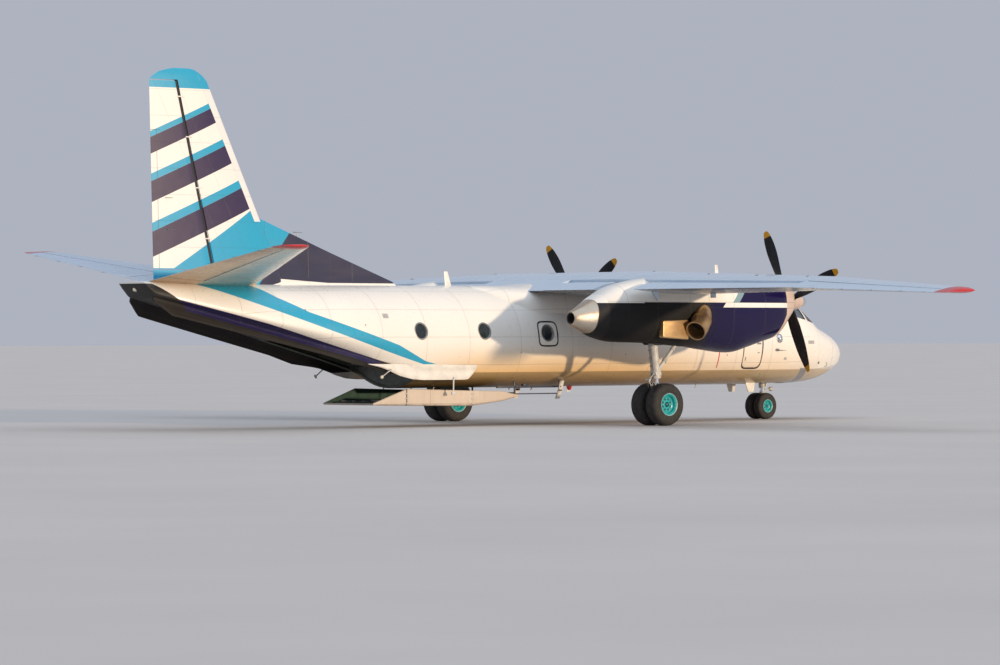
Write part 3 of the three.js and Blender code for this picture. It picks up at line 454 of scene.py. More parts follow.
wing = {
    "rows": [wingRow(-0.01, 0.62), wingRow(2.76, 0.62), wingRow(9.85, 0.33), wingRow(14.4, 0.15),
             wingRow(14.5, 0.125, 0.02, 0.05), wingRow(14.57, 0.08, 0.045, 0.11), wingRow(14.6, 0.04, 0.07, 0.17)],
    "lay": wingLay, "camber": 0.018, "marks": [2.76, 9.85],
}
tailplane = {
    "rows": [(0, -8.186, 3.505, 3.314, 0.3), (4.8, -10.461, 4.263, 1.039, 0.092),
             (4.9, -10.53, 4.279, 0.93, 0.075), (4.985, -10.64, 4.293, 0.76, 0.03)],
    "lay": tailLay, "camber": 0.0, "marks": [],
}
finShape = {
    "rows": [(3.25, -7.197, 0, 4.042, 0.38), (8.3, -9.671, 0, 1.7, 0.165), (8.42, -9.8, 0, 1.4, 0.13),
             (8.48, -9.9, 0, 1.18, 0.1), (8.545, -10.03, 0, 0.8, 0.06), (8.575, -10.18, 0, 0.46, 0.024)],
    "lay": finLay, "camber": 0.0, "marks": [],
}
hinges = {"spar": 0.725, "flap": 0.74, "aileron": 0.73, "rudder": 0.56, "elevator": 0.62, "gap": 0.009,
          "aileronLip": 34, "rudderLip": 28, "elevatorLip": 33, "endGap": 0.008}


def rowAt(surface, span):
    rows = surface["rows"]
    i = next((n for n in range(len(rows) - 1) if rows[n + 1][0] >= span), len(rows) - 2)
    share = (span - rows[i][0]) / (rows[i + 1][0] - rows[i][0])
    return [a + (b - a) * share for a, b in zip(rows[i], rows[i + 1])]


def halfThickness(u):
    return 5 * (0.2969 * math.sqrt(u) - 0.126 * u - 0.3516 * u**2 + 0.2843 * u**3 - 0.1015 * u**4)


def offChord(surface, row, u, side):
    return 4 * surface["camber"] * row[3] * u * (1 - u) + side * row[4] * halfThickness(u)


def surfacePoint(surface, span, u, side, grow=0.0):
    row = rowAt(surface, span)
    return surface["lay"](span, u * row[3], offChord(surface, row, u, side) + side * grow, row)


def chordSteps(low, high, count):
    # close together near the leading edge
    a, b = math.sqrt(low), math.sqrt(high)
    return [(a + (b - a) * i / count) ** 2 for i in range(count + 1)]


def sectionRing(surface, span, high=1.0, count=16):
    # the section from its leading edge to a share of its chord
    top = [surfacePoint(surface, span, u, 1) for u in chordSteps(0, high, count)]
    bottom = [surfacePoint(surface, span, u, -1) for u in chordSteps(0, high, count)[1:]]
    return top + bottom[::-1]


def hingeOf(surface, row, fraction):
    top, bottom = offChord(surface, row, fraction, 1), offChord(surface, row, fraction, -1)
    return fraction * row[3], (top + bottom) / 2, (top - bottom) / 2


def hingeArc(surface, span, fraction, grow, reach, count):
    row = rowAt(surface, span)
    aft, off, radius = hingeOf(surface, row, fraction)
    radius += grow
    points = []
    for angle in steps(reach, -reach, count):
        points.append(surface["lay"](span, aft - radius * math.cos(angle), off + radius * math.sin(angle), row))
    return points


def coveRing(surface, span, fraction, lip, count=14):
    # the fixed part ahead of a control surface, its rear face hollowed round the hinge
    row = rowAt(surface, span)
    aft, off, radius = hingeOf(surface, row, fraction)
    reach = math.radians(90 - lip)
    high = (aft - (radius + hinges["gap"]) * math.cos(reach)) / row[3]
    top = [surfacePoint(surface, span, u, 1) for u in chordSteps(0, high, count)]
    bottom = [surfacePoint(surface, span, u, -1) for u in chordSteps(0, high, count)[1:]]
    return top + hingeArc(surface, span, fraction, hinges["gap"], reach, 8) + bottom[::-1]


def controlRing(surface, span, fraction):
    aft = [fraction + (1 - fraction) * share for share in (0.15, 0.35, 0.6, 0.8, 1)]
    top = [surfacePoint(surface, span, u, 1) for u in reversed(aft)]
    bottom = [surfacePoint(surface, span, u, -1) for u in aft]
    return hingeArc(surface, span, fraction, 0.0, math.pi / 2, 12) + bottom + top


def surfaceSkin(surface, ring, low, high, step=0.6, bm=None):
    marks = [mark for mark in surface["marks"] if low < mark < high]
    marks += [row[0] for row in surface["rows"][3:] if low < row[0] < high and row[0] not in marks]
    places = spread([low, *sorted(marks), high], step)
    return loftRings(bm or bmesh.new(), [ring(span) for span in places])


# Nacelle: station x, top z, bottom z, half width
nacelle = {
    "stations": [
        (5.85, 3.54, 2.69, 0.420), (5.7, 3.60, 2.56, 0.485), (5.5, 3.64, 2.36, 0.560), (5.3, 3.68, 2.18, 0.605),
        (4.8, 3.73, 2.045, 0.645),
        (4.3, 3.76, 1.915, 0.660), (3.75, 3.78, 1.80, 0.665), (2.9, 3.78, 1.875, 0.665), (2.2, 3.76, 1.965, 0.665),
        (0.8, 3.64, 2.05, 0.655), (-0.16, 3.47, 2.075, 0.610), (-0.7, 3.24, 2.17, 0.520),
        (-1.17, 2.99, 2.34, 0.330), (-1.55, 2.81, 2.50, 0.160),
    ],
    "y": 3.95, "corner": 2.5, "sides": 56, "split": 3.42, "tail": -0.7, "end": -1.55,
}


def nacelleRing(x, grow=0.0, side=1):
    top, bottom, wide = smoothTable(nacelle["stations"], x)
    middle, tall = (top + bottom) / 2, (top - bottom) / 2 + grow
    points = []
    for i in range(nacelle["sides"]):
        angle = 2 * math.pi * i / nacelle["sides"]
        c, s = math.cos(angle), math.sin(angle)
        power = 2 / nacelle["corner"]
        points.append(Vector((x, side * nacelle["y"] + (wide + grow) * math.copysign(abs(c) ** power, c),
                              middle + tall * math.copysign(abs(s) ** power, s))))
    return points


def nacelleSkin(high, low, side, ends=(False, False), grow=0.0, step=0.12):
    marks = [x for x, *_ in nacelle["stations"] if low < x < high]
    return loftRings(bmesh.new(), [nacelleRing(x, grow, side) for x in spread([high, *marks, low], step)], ends)


# Colours of the paint scheme; the lining's tone is darkened to paint the shade inside the hold
tones = {
    "cream": (0.83, 0.79, 0.72), "white": (0.80, 0.80, 0.79), "wing": (0.60, 0.66, 0.72), "cyan": (0.02, 0.33, 0.52),
    "tealRim": (0.02, 0.42, 0.44), "navy": (0.014, 0.011, 0.062), "finNavy": (0.034, 0.018, 0.062), "black": (0.018, 0.016, 0.015),
    "red": (0.52, 0.012, 0.02), "soot": (0.012, 0.011, 0.011), "steel": (0.62, 0.50, 0.38), "rubber": (0.018, 0.017, 0.017),
    "green": (0.045, 0.11, 0.06), "liner": (0.17, 0.19, 0.155), "grime": (0.20, 0.155, 0.11), "strut": (0.62, 0.60, 0.56),
}


def bodyPaint():
    # the fuselage's paint: cream with painted ground glow low on the sides, over a belly painted in ground glow and
    # shade, cyan and navy stripes up to the tail, seams and rivets
    paint = Paint("fuselage paint")
    x, y, z = paint.x, paint.y, paint.z
    rear = -4.0 - x
    keel = 1.33 + 0.238 * rear.most(0.0)
    belly = (z - keel).below(0.0, 0.02)
    base = paint.mix(paint.noise(0.6, 3).ramp(0.35, 0.7), tones["cream"], (0.79, 0.75, 0.69))
    # painted warm glow of light from the ground, low on the sides and stronger towards the wing
    paintedGroundGlow = z.ramp(2.1, 1.25) * x.within(-3.5, 9.6, 2.5)
    base = paint.mix(paintedGroundGlow * (0.5 + 0.5 * x.ramp(6.0, 2.5)), base, (0.79, 0.50, 0.20))
    # the belly is painted golden as lit from the ground, shading to dark brown towards the keel and paler towards the
    # nose
    base = paint.mix(belly * x.above(-4.2, 0.2), base, paint.mix(x.ramp(4.5, 8.5) * 0.5, paint.mix(z.ramp(1.33, 1.0), (0.74, 0.50, 0.23), (0.38, 0.23, 0.09)), (0.80, 0.66, 0.44)))
    # stripes run up and aft; each edge is a height over the crease line
    over = z - keel
    aft = (-4.05 - x).most(-0.6)
    cyanLow = 0.20 + 0.03 * aft + 0.0065 * aft * aft
    top = -3.67 - x
    cyanTop = (0.219 + 0.208 * top).least(0.39 + 0.066 * top).most(0.60 + 0.22 * (-7.3 - x)).most(0.80 + 0.5 * (-8.24 - x))
    cyan = (over - cyanLow).above(0, 0.006) * (over - cyanTop).below(0, 0.006) * z.above(1.54, 0.006) * x.below(-3.0, 0.01)
    navyEdge = (0.005 + 0.0245 * (-5.08 - x)).least(0.092)
    navy = (over - navyEdge).below(0, 0.006) * x.below(-4.9, 0.01)
    colour = paint.mix(cyan, base, tones["cyan"])
    colour = paint.mix(navy, colour, tones["navy"])
    under = over.below(-0.01, 0.006) * x.below(-4.1, 0.01)
    end = (z + 0.67 * x).below(-4.29, 0.006) * z.below(3.47, 0.006)
    dark = under.most(end)
    colour = paint.mix(dark, colour, tones["black"])
    # a red line by the propellers and a grey band under the nose
    sides = z.within(1.39, 1.80, 0.005)
    colour = paint.mix(x.near([6.06], 0.035) * sides, colour, tones["red"])
    chin = (x + 1.25 * (z - 1.36)).within(9.26, 9.58, 0.008) * z.below(1.37, 0.006)
    colour = paint.mix(chin, colour, (0.30, 0.29, 0.28))
    # grime low on the belly and in streaks
    streak = paint.noise(2.2, 5, 0.6, (0.25, 1, 1)).ramp(0.42, 0.75)
    dirt = z.ramp(1.7, 0.95) * x.above(-4.0, 0.1)
    colour = paint.mix(dirt * (0.1 + 0.35 * streak), colour, tones["grime"], "MULTIPLY")
    # skin joints
    around = paint.node("ShaderNodeMath", {"operation": "ARCTAN2"}, {0: z - 2.03, 1: y.abs()})
    rings = x.near([10.9, 10.05, 8.0, 6.7, 5.25, 3.6, 2.2, 0.85, -0.9, -2.6, -4.0, -5.4, -6.9, -8.3, -9.4, -10.6], 0.007)
    lengths = around.near([1.1, 0.62, 0.12, -0.36], 0.005)
    lines = rings.most(lengths * x.within(-9.4, 9.6))
    rivetRow = x.near([10.9, 8.0, 6.7, 5.25, 3.6, 2.2, 0.85, -0.9, -2.6, -4.0, -5.4, -6.9, -8.3, -9.4], 0.09, 0.01)
    dots = around.every(0.03, 0.009) * x.every(0.045, 0.012) * rivetRow
    colour = paint.mix(lines * 0.55, colour, (0.12, 0.10, 0.08))
    colour = paint.mix(dots * 0.25, colour, (0.2, 0.18, 0.15))
    band = x.near([-3.2], 0.12, 0.01) * z.below(1.5, 0.05)
    colour = paint.mix(band * 0.25, colour, tones["grime"])
    rough = 0.26 + 0.22 * streak * dirt + 0.08 * paint.noise(7, 3).ramp(0.3, 0.7) + 0.3 * dark
    paint.set(colour=colour, rough=rough, coat=0.35 - 0.35 * dark, coatRough=0.12, specular=0.5)
    paint.bump(1 - lines * 0.8 - dots * 0.4 + 0.12 * paint.noise(1.1, 2), 0.003)
    return paint.material


def plainPaint(name, tone, rough=0.35, metal=0.0, grain=9.0, vary=0.12, wear=None, depth=0.001, coat=0.0):
    # an even finish with a little cloudiness, wear and grain
    paint = Paint(name)
    cloud = paint.noise(grain, 5)
    other = tuple(max(0.0, c * (1 - 2.2 * vary)) for c in tone)
    colour = paint.mix(cloud.ramp(0.35, 0.72), tone, other)
    if wear:
        chips = paint.noise(grain * 6, 4, 0.7).ramp(0.62, 0.70)
        colour = paint.mix(chips * 0.6, colour, wear)
    paint.set(colour=colour, rough=paint.noise(grain * 2, 3).ramp(0.3, 0.75, (rough * 0.8, min(1.0, rough * 1.3))),
              metal=metal, coat=coat)
    paint.bump(paint.noise(grain * 5, 3), depth)
    return paint.material


def glassPaint(name, tint=(0.035, 0.05, 0.06)):
    paint = Paint(name)
    smear = paint.noise(5, 3).ramp(0.4, 0.8)
    paint.set(colour=paint.mix(smear * 0.3, tint, (0.12, 0.13, 0.13)), rough=0.05 + 0.06 * smear, coat=0.6,
              alpha=0.45 + 0.2 * smear)
    paint.bump(paint.noise(3, 2), 0.001)
    return paint.material


def wingPaint():
    # wing skins: pale grey, the underside painted darker as painted shade, seams on the spars and ribs, red tips
    paint = Paint("wing paint")
    x, y, z = paint.x, paint.y, paint.z
    span = y.abs()
    out = (span - 2.76).most(0.0)
    share = (3.31 - 0.17057 * out - x) / (3.495 - 0.2028 * out)
    cloud = paint.noise(0.9, 4).ramp(0.3, 0.75)
    colour = paint.mix(cloud, (0.56, 0.66, 0.76), (0.50, 0.61, 0.72))
    # faces turned downward are painted darker grey as painted shade
    normal = paint.node("ShaderNodeTexCoord", {}, {}, out="Normal")
    below = paint.node("ShaderNodeSeparateXYZ", {}, {0: normal}, out="Z").below(-0.2, 0.1)
    colour = paint.mix(below * 0.75, colour, (0.24, 0.22, 0.22))
    tip = span.above(14.26, 0.006)
    colour = paint.mix(tip, colour, tones["red"])
    spars = share.near([0.12, 0.33, 0.62, 0.705], 0.0032, 0.0015)
    ribs = span.every(0.61, 0.007) * share.within(0.02, 0.71)
    boot = share.within(-0.1, 0.052, 0.004) * span.within(4.75, 14.2)
    lines = spars.most(ribs)
    colour = paint.mix(boot * 0.35, colour, (0.42, 0.44, 0.46))
    colour = paint.mix(lines * 0.45, colour, (0.12, 0.12, 0.13))
    rivets = span.every(0.61, 0.07, 0.01) * x.every(0.05, 0.013) * share.within(0.02, 0.71)
    colour = paint.mix(rivets * 0.18, colour, (0.2, 0.2, 0.2))
    stain = paint.noise(1.6, 5, 0.6, (0.2, 1, 1)).ramp(0.5, 0.85)
    colour = paint.mix(stain * 0.35, colour, (0.45, 0.42, 0.38))
    paint.set(colour=colour, rough=0.24 + 0.2 * stain, coat=0.3, coatRough=0.15)
    paint.bump(1 - lines * 0.8 - rivets * 0.3, 0.002)
    return paint.material


def finPaint():
    # bands across the fin and rudder: rising chevrons of navy, white and cyan, a cyan cap and foot
    paint = Paint("fin paint")
    x, y, z = paint.x, paint.y, paint.z
    colour = paint.mix(paint.noise(1.2, 4).ramp(0.35, 0.7), tones["cream"], (0.78, 0.75, 0.70))
    rise = z - 0.42 * (x + 10.2)
    navyBands = rise.within(4.55, 5.15, 0.006).most(rise.within(5.85, 6.35, 0.006)).most(rise.within(7.0, 7.4, 0.006))
    cyanBands = rise.within(5.15, 5.36, 0.006).most(rise.within(6.35, 6.53, 0.006)).most(rise.within(7.4, 7.54, 0.006))
    colour = paint.mix(navyBands, colour, tones["finNavy"])
    colour = paint.mix(cyanBands, colour, tones["cyan"])
    foot = (z - 0.62 * (x + 10.4)).below(4.02, 0.006).most(z.below(3.84, 0.004))
    cap = z.above(8.1, 0.006)
    colour = paint.mix(foot.most(cap), colour, tones["cyan"])
    dorsal = (x + 8.078 - 0.8466 * (z - 3.641)).above(0.0, 0.006) * z.below(4.9, 0.006)
    colour = paint.mix(dorsal, colour, paint.mix(paint.noise(1.4, 4).ramp(0.35, 0.75), (0.036, 0.034, 0.066), (0.03, 0.028, 0.052)))
    lead = -7.197 - 0.4899 * (z - 3.25)
    edge = (x - lead).above(-0.26, 0.006) * z.below(8.06, 0.006) * z.above(4.98, 0.006)
    colour = paint.mix(edge, colour, (0.76, 0.74, 0.71))
    ribs = z.every(0.62, 0.007) * x.below(-7.9, 0.02)
    spar = (x - lead).near([-0.262, -0.95, -1.6], 0.006)
    lines = ribs.most(spar)
    colour = paint.mix(lines * 0.4, colour, (0.08, 0.08, 0.08))
    # dark seal at the rudder's hinge and the joint of its trailing tab
    seal = (x + 9.587 + 0.2302 * (z - 3.8)).near([0.0], 0.085) * z.within(3.8, 8.29)
    tab = (x + 11.074 + 0.026 * (z - 3.25)).near([0.0], 0.012).most(z.near([7.1], 0.012) * x.below(-11.07))
    colour = paint.mix(seal, colour, tones["black"])
    colour = paint.mix(tab * z.within(3.84, 7.11) * 0.8, colour, (0.03, 0.03, 0.04))
    paint.set(colour=colour, rough=0.28 + 0.1 * paint.noise(5, 3), coat=0.3, coatRough=0.15)
    paint.bump(1 - lines * 0.7, 0.002)
    return paint.material


def nacellePaint():
    # navy cowl with a white stripe, cream over the top, sooty sides by the exhaust
    paint = Paint("nacelle paint")
    x, y, z = paint.x, paint.y, paint.z
    wobble = paint.noise(2.0, 4) - 0.5
    base = paint.mix(x.below(2.55 + 0.5 * wobble, 0.5), (0.010, 0.006, 0.046), tones["soot"])
    slant = x - 0.9 * (z - 2.95)
    stripe = z.within(2.93, 3.05, 0.005) * slant.above(3.05, 0.006)
    colour = paint.mix(stripe, base, (0.82, 0.80, 0.76))
    upper = z.above(3.05, 0.005)
    creamPart = upper * slant.below(3.3, 0.006)
    greyPart = upper * slant.within(3.3, 3.52, 0.006)
    colour = paint.mix(creamPart, colour, tones["cream"])
    colour = paint.mix(greyPart, colour, (0.22, 0.33, 0.36))
    rearTop = z.above(3.03, 0.005) * x.below(0.35, 0.006)
    colour = paint.mix(rearTop, colour, tones["cream"])
    soot = paint.noise(1.3, 5, 0.6, (0.3, 1, 1)).ramp(0.4, 0.75) * x.below(2.2, 1.2) * z.below(3.2, 0.4)
    colour = paint.mix(soot * 0.5, colour, (0.10, 0.07, 0.05), "MULTIPLY")
    lip = (x + 0.45 * (2.75 - z).most(0.0)).above(5.38, 0.006)
    colour = paint.mix(lip, colour, (0.60, 0.46, 0.38))
    seams = x.near([5.3, 4.55, 3.42, 2.55, 1.9, 0.8, -0.16], 0.007).most(z.near([2.92, 3.06], 0.006))
    fasteners = x.near([5.3, 4.55, 3.42, 2.55, 1.9, 0.8], 0.08, 0.01) * z.every(0.06, 0.016) * x.every(0.04, 0.014)
    colour = paint.mix(seams * 0.6, colour, (0.03, 0.03, 0.03))
    colour = paint.mix(fasteners * 0.08, colour, (0.4, 0.4, 0.4))
    dull = x.below(2.4, 1.0) * z.below(3.03, 0.01)
    paint.set(colour=colour, rough=0.14 + 0.45 * dull + 0.1 * paint.noise(6, 3), coat=0.22 - 0.2 * dull, coatRough=0.06,
              specular=0.22)
    paint.bump(1 - seams * 0.8 + 0.25 * paint.noise(1.4, 2), 0.003)
    return paint.material


def hotMetal():
    # bare exhaust steel, straw and blue with heat
    paint = Paint("bare metal")
    heat = paint.noise(3.0, 4, 0.5, (0.4, 1, 1))
    brushed = paint.noise(18, 3, 0.6, (0.15, 1, 3))
    colour = paint.node("ShaderNodeValToRGB", {"stops": [(0.25, (0.30, 0.20, 0.14)), (0.5, (0.66, 0.42, 0.19)),
                                                         (0.75, (0.78, 0.58, 0.34))]}, {0: heat})
    paint.set(colour=colour, metal=0.9, rough=0.28 + 0.2 * brushed)
    paint.bump(brushed, 0.001)
    return paint.material


def conePaint():
    # the nacelle's bare metal end, its painted front edge black below and cream above
    paint = Paint("nacelle end metal")
    brushed = paint.noise(18, 3, 0.6, (0.15, 1, 3))
    heat = paint.noise(2.2, 4, 0.5, (0.4, 1, 1)).ramp(0.35, 0.7)
    metal = paint.mix(heat, (0.62, 0.55, 0.46), (0.50, 0.36, 0.22))
    front = (paint.x - 0.12 * (paint.z - 2.7)).above(-0.99, 0.006)
    rim = (paint.x - 0.12 * (paint.z - 2.7)).near([-0.995], 0.012)
    painted = paint.mix(paint.z.above(3.03, 0.006), tones["soot"], tones["cream"])
    colour = paint.mix(rim * 0.7, paint.mix(front, metal, painted), (0.06, 0.05, 0.04))
    paint.set(colour=colour, metal=0.95 - 0.95 * front, rough=0.22 + 0.14 * brushed + 0.3 * front, specular=0.3)
    paint.bump(brushed, 0.001)
    return paint.material


def bladePaint():
    paint = Paint("propeller paint")
    hub = ((paint.y.abs() - 3.95) * (paint.y.abs() - 3.95) + (paint.z - 3.1) * (paint.z - 3.1))
    reach = paint.node("ShaderNodeMath", {"operation": "SQRT"}, {0: hub})
    colour = paint.mix(paint.noise(8, 4).ramp(0.4, 0.8), (0.006, 0.006, 0.008), (0.016, 0.015, 0.015))
    chips = paint.noise(40, 4, 0.7).ramp(0.63, 0.72) * reach.above(0.9, 0.6)
    colour = paint.mix(chips * 0.2, colour, (0.3, 0.29, 0.28))
    colour = paint.mix(reach.above(1.79, 0.004), colour, (0.58, 0.27, 0.01))
    paint.set(colour=colour, rough=0.36 + 0.2 * paint.noise(12, 3), coat=0.05, specular=0.25)
    paint.bump(paint.noise(60, 2), 0.0005)
    return paint.material


def spinnerPaint():
    # tan paint behind a polished nose cap
    paint = Paint("spinner paint")
    cap = paint.x.above(6.42, 0.006)
    colour = paint.mix(paint.noise(3, 4).ramp(0.35, 0.75), (0.62, 0.48, 0.40), (0.52, 0.39, 0.32))
    ring = paint.x.near([6.42], 0.012)
    colour = paint.mix(ring * 0.6, paint.mix(cap, colour, (0.70, 0.71, 0.74)), (0.10, 0.09, 0.08))
    paint.set(colour=colour, metal=0.9 * cap, rough=0.30 - 0.14 * cap + 0.06 * paint.noise(12, 3), coat=0.3 - 0.3 * cap)
    paint.bump(paint.noise(20, 3), 0.0008)
    return paint.material


looks = {
    "cone": conePaint(), "body": bodyPaint(), "wing": wingPaint(), "fin": finPaint(), "nacelle": nacellePaint(), "hot": hotMetal(),
    "blade": bladePaint(),
    # the lining is darkened as painted shade inside the hold
    "liner": plainPaint("cabin lining in painted shade", tones["liner"], 0.7, grain=4),
    "deck": plainPaint("hold deck", (0.20, 0.21, 0.19), 0.6, metal=0.3, grain=6, wear=(0.45, 0.45, 0.43)),
    "panel": plainPaint("instrument panel", (0.05, 0.055, 0.06), 0.5, grain=20),
    "seatCloth": plainPaint("seat cloth", (0.09, 0.08, 0.06), 0.9, grain=60, vary=0.25, depth=0.003),
    "glass": glassPaint("window glass"),
    "strut": plainPaint("gear paint", tones["strut"], 0.35, grain=7, wear=(0.30, 0.27, 0.23)),
    "chrome": plainPaint("oleo chrome", (0.82, 0.82, 0.84), 0.08, metal=1.0, grain=12, vary=0.03),
    "steel": plainPaint("dull steel", (0.36, 0.35, 0.34), 0.38, metal=0.9, grain=14),
    "black": plainPaint("black seal", tones["black"], 0.55, grain=20),
    "spinner": spinnerPaint(),
    "cream": plainPaint("cream trim", tones["cream"], 0.3, grain=3, coat=0.3, wear=(0.45, 0.42, 0.36)),
    "navy": plainPaint("navy trim", tones["navy"], 0.22, grain=3, coat=0.4),
    "green": plainPaint("ramp lining", (0.014, 0.055, 0.036), 0.6, grain=5, wear=(0.25, 0.28, 0.24)),
    "engine": plainPaint("engine casing", (0.22, 0.22, 0.22), 0.5, metal=0.7, grain=8),
}
print("materials made")


# Camera, from the photograph's own view
view = {"at": (-71.130, -79.172, 2.202), "turn": 48.192, "lift": 0.0615, "roll": -0.111, "lens": 151.46}


def placeCamera():
    turn, lift, roll = (math.radians(view[key]) for key in ("turn", "lift", "roll"))
    ahead = Vector((math.cos(lift) * math.cos(turn), math.cos(lift) * math.sin(turn), math.sin(lift)))
    right = Vector((math.sin(turn), -math.cos(turn), 0))
    up = right.cross(ahead)
    right, up = right * math.cos(roll) + up * math.sin(roll), up * math.cos(roll) - right * math.sin(roll)
    data = bpy.data.cameras.new("camera")
    data.lens, data.sensor_width, data.sensor_fit = view["lens"], 36.0, "HORIZONTAL"
    data.clip_end = 2000
    camera = bpy.data.objects.new("camera", data)
    camera.matrix_world = Matrix.Translation(view["at"]) @ Matrix((right, up, -ahead)).transposed().to_4x4()
    scene.collection.objects.link(camera)
    scene.camera = camera


placeCamera()


# Cockpit windows: side panes in X and Z, front panes in Y and Z, as the frame's own cuts
cockpit = {
    "side": [[(9.02, 2.74), (9.56, 2.64), (9.56, 3.04), (9.15, 3.13)],
             [(9.64, 2.625), (10.08, 2.545), (9.86, 2.9), (9.64, 3.01)]],
    "front": [[(0.04, 2.7), (0.56, 2.69), (0.5, 3.06), (0.04, 3.11)],
              [(0.62, 2.69), (0.87, 2.64), (0.72, 2.95), (0.57, 3.01)]],
    "bay": [(8.45, -0.3), (9.65, -0.3), (9.65, 0.3), (8.45, 0.3)],
    "blister": {"x": 8.52, "y": 1.361, "z": 2.48, "radius": 0.3, "lean": 18.5, "sunk": 0.045},
}


def cutter(outline, low, high, lay, name="cutter"):
    bm = bmesh.new()
    prism(bm, outline, low, high, lay)
    bmesh.ops.recalc_face_normals(bm, faces=bm.faces[:])
    mesh = bpy.data.meshes.new(name)
    bm.to_mesh(mesh)
    bm.free()
    made = bpy.data.objects.new(name, mesh)
    scene.collection.objects.link(made)
    return made


def cutAway(target, cutters):
    # boolean cuts, made final at once
    for tool in cutters:
        cut = target.modifiers.new("cut", "BOOLEAN")
        cut.operation, cut.object, cut.solver = "DIFFERENCE", tool, "EXACT"
    bpy.context.view_layer.update()
    mesh = bpy.data.meshes.new_from_object(target.evaluated_get(bpy.context.evaluated_depsgraph_get()))
    target.modifiers.clear()
    target.data = mesh
    for tool in cutters:
        bpy.data.objects.remove(tool)


def resharpen(target, angle=30):
    bm = bmesh.new()
    bm.from_mesh(target.data)
    for edge in bm.edges:
        edge.smooth = len(edge.link_faces) == 2 and edge.calc_face_angle(0) < math.radians(angle)
    for face in bm.faces:
        face.smooth = True
    bm.to_mesh(target.data)
    bm.free()


def blisterPlace():
    place = cockpit["blister"]
    lean = Matrix.Rotation(math.radians(place["lean"]), 4, "X")
    return Matrix.Translation((place["x"], place["y"], place["z"])) @ lean


def makeFuselage():
    high = fuselage["joints"]
    skins = [("skin_radome", 0, ["nose_radome"], (True, False), "radome_paint"),
             ("skin_cockpit", 1, ["cockpit_section"], (False, False), "fuselage_paint"),
             ("skin_front", 2, ["fuselage_front"], (False, False), "fuselage_paint"),
             ("skin_centre", 3, ["fuselage_centre"], (False, False), "fuselage_paint"),
             ("skin_rear", 4, ["fuselage_rear"], (False, False), "fuselage_paint"),
             ("skin_tail", 5, ["tail_cone"], (False, True), "fuselage_paint")]
    made = {}
    for name, part, stands, ends, slot in skins:
        wall = fuselage["rearWall"] if part > 3 else fuselage["wall"]
        step = 0.12 if part in (0, 1) else 0.25
        bm = fuselageSkin(high[part] - 0.0004, high[part + 1] + 0.0004, step, ends)
        if name == "skin_rear":
            cutOpening(bm)
        made[name] = finishPiece(name, bm, "airframe", [looks["body"], looks["liner"]], stands, 24,
                                 solid=None if part == 5 else wall)
    section = made["skin_cockpit"]
    tools = []
    for outline in cockpit["side"]:
        for side in (1, -1):
            tools.append(cutter(rounded(outline, 0.05), side * 0.7, side * 1.6, sideLay))
    for outline in cockpit["front"]:
        for side in (1, -1):
            mirroredOutline = rounded([(side * a, b) for a, b in outline], 0.05)
            tools.append(cutter(mirroredOutline, 9.45, 11.2, frontLay))
    tools.append(cutter(cockpit["bay"], 0.7, 1.15, planLay))
    bm = bmesh.new()
    bmesh.ops.create_cone(bm, cap_ends=True, segments=48, radius1=0.3, radius2=0.3, depth=0.5,
                          matrix=blisterPlace() @ Matrix.Rotation(math.pi / 2, 4, "X"))
    mesh = bpy.data.meshes.new("hole")
    bm.to_mesh(mesh)
    bm.free()
    hole = bpy.data.objects.new("hole", mesh)
    scene.collection.objects.link(hole)
    cutAway(section, tools + [hole])
    resharpen(section, 24)
    return made


def cutOpening(bm):
    # the ramp's opening between the creases, its sides cut along the sill lines
    corners = fuselage["opening"]
    for a, b in ((corners[1], corners[2]), (corners[0], corners[3]), (corners[2], corners[3])):
        out = Vector((b[1] - a[1], a[0] - b[0], 0)).normalized()
        bmesh.ops.bisect_plane(bm, geom=bm.verts[:] + bm.edges[:] + bm.faces[:], plane_co=(*a, 0), plane_no=out,
                               dist=1e-5)
    gone = []
    for face in bm.faces:
        x, y, z = face.calc_center_median()
        half = 1.19 + (0.85 - 1.19) * (x + 3.98) / (-7.5 + 3.98)
        if -7.5 < x < -3.98 and abs(y) < half and z < 1.33 + 0.238 * (-4.0 - x) + 0.03:
            gone.append(face)
    bmesh.ops.delete(bm, geom=gone, context="FACES")


skins = makeFuselage()
print("fuselage made")

# Windows, hatches and the crew door are outlines of (x, z), laid on the skin
panels = {
    "windows": [(-4.16, 2.35), (-2.10, 2.35), (0.01, 2.30), (2.1, 2.35), (4.3, 2.35), (5.9, 2.35)],
    "radius": 0.19,
    "hatch": {"x": 0.02, "z": 2.28, "half": 0.295, "tall": 0.28},
    "door": {"x": 7.295, "low": 1.385, "high": 2.78, "half": 0.335, "corner": 0.16},
}


def circleOutline(x, z, radius, count=36):
    return [(x + radius * math.cos(2 * math.pi * i / count), z + radius * math.sin(2 * math.pi * i / count))
            for i in range(count)]


def boxOutline(x, z, half, tall, corner):
    corners = rounded([(x - half, z - tall), (x + half, z - tall), (x + half, z + tall), (x - half, z + tall)], corner)
    return closeSet(corners)


def closeSet(outline, step=0.06):
    # more points along the outline's long sides, so that they follow the skin
    points = []
    for a, b in zip(outline, outline[1:] + outline[:1]):
        count = max(1, math.ceil(math.dist(a, b) / step))
        points += [tuple(Vector(a).lerp(Vector(b), i / count)) for i in range(count)]
    return points


def nosePoint(y, z):
    # the point of the nose's upper skin at a place across and a height, and the way out of it
    def reach(across, height):
        low, high = 9.2, 11.6
        for _ in range(18):
            x = (low + high) / 2
            top, middle, wide = smoothTable(fuselage["stations"], x, straight=(4, 5, 6))[:3]
            rise = (height - middle) / (top - middle)
            low, high = (x, high) if rise < 1 and abs(across) <= wide * math.sqrt(1 - rise**2) else (low, x)
        return low
    x, step = reach(y, z), 0.004
    out = Vector((1, (x - reach(y + step, z)) / step, (x - reach(y, z + step)) / step)).normalized()
    return Vector((x, y, z)), out


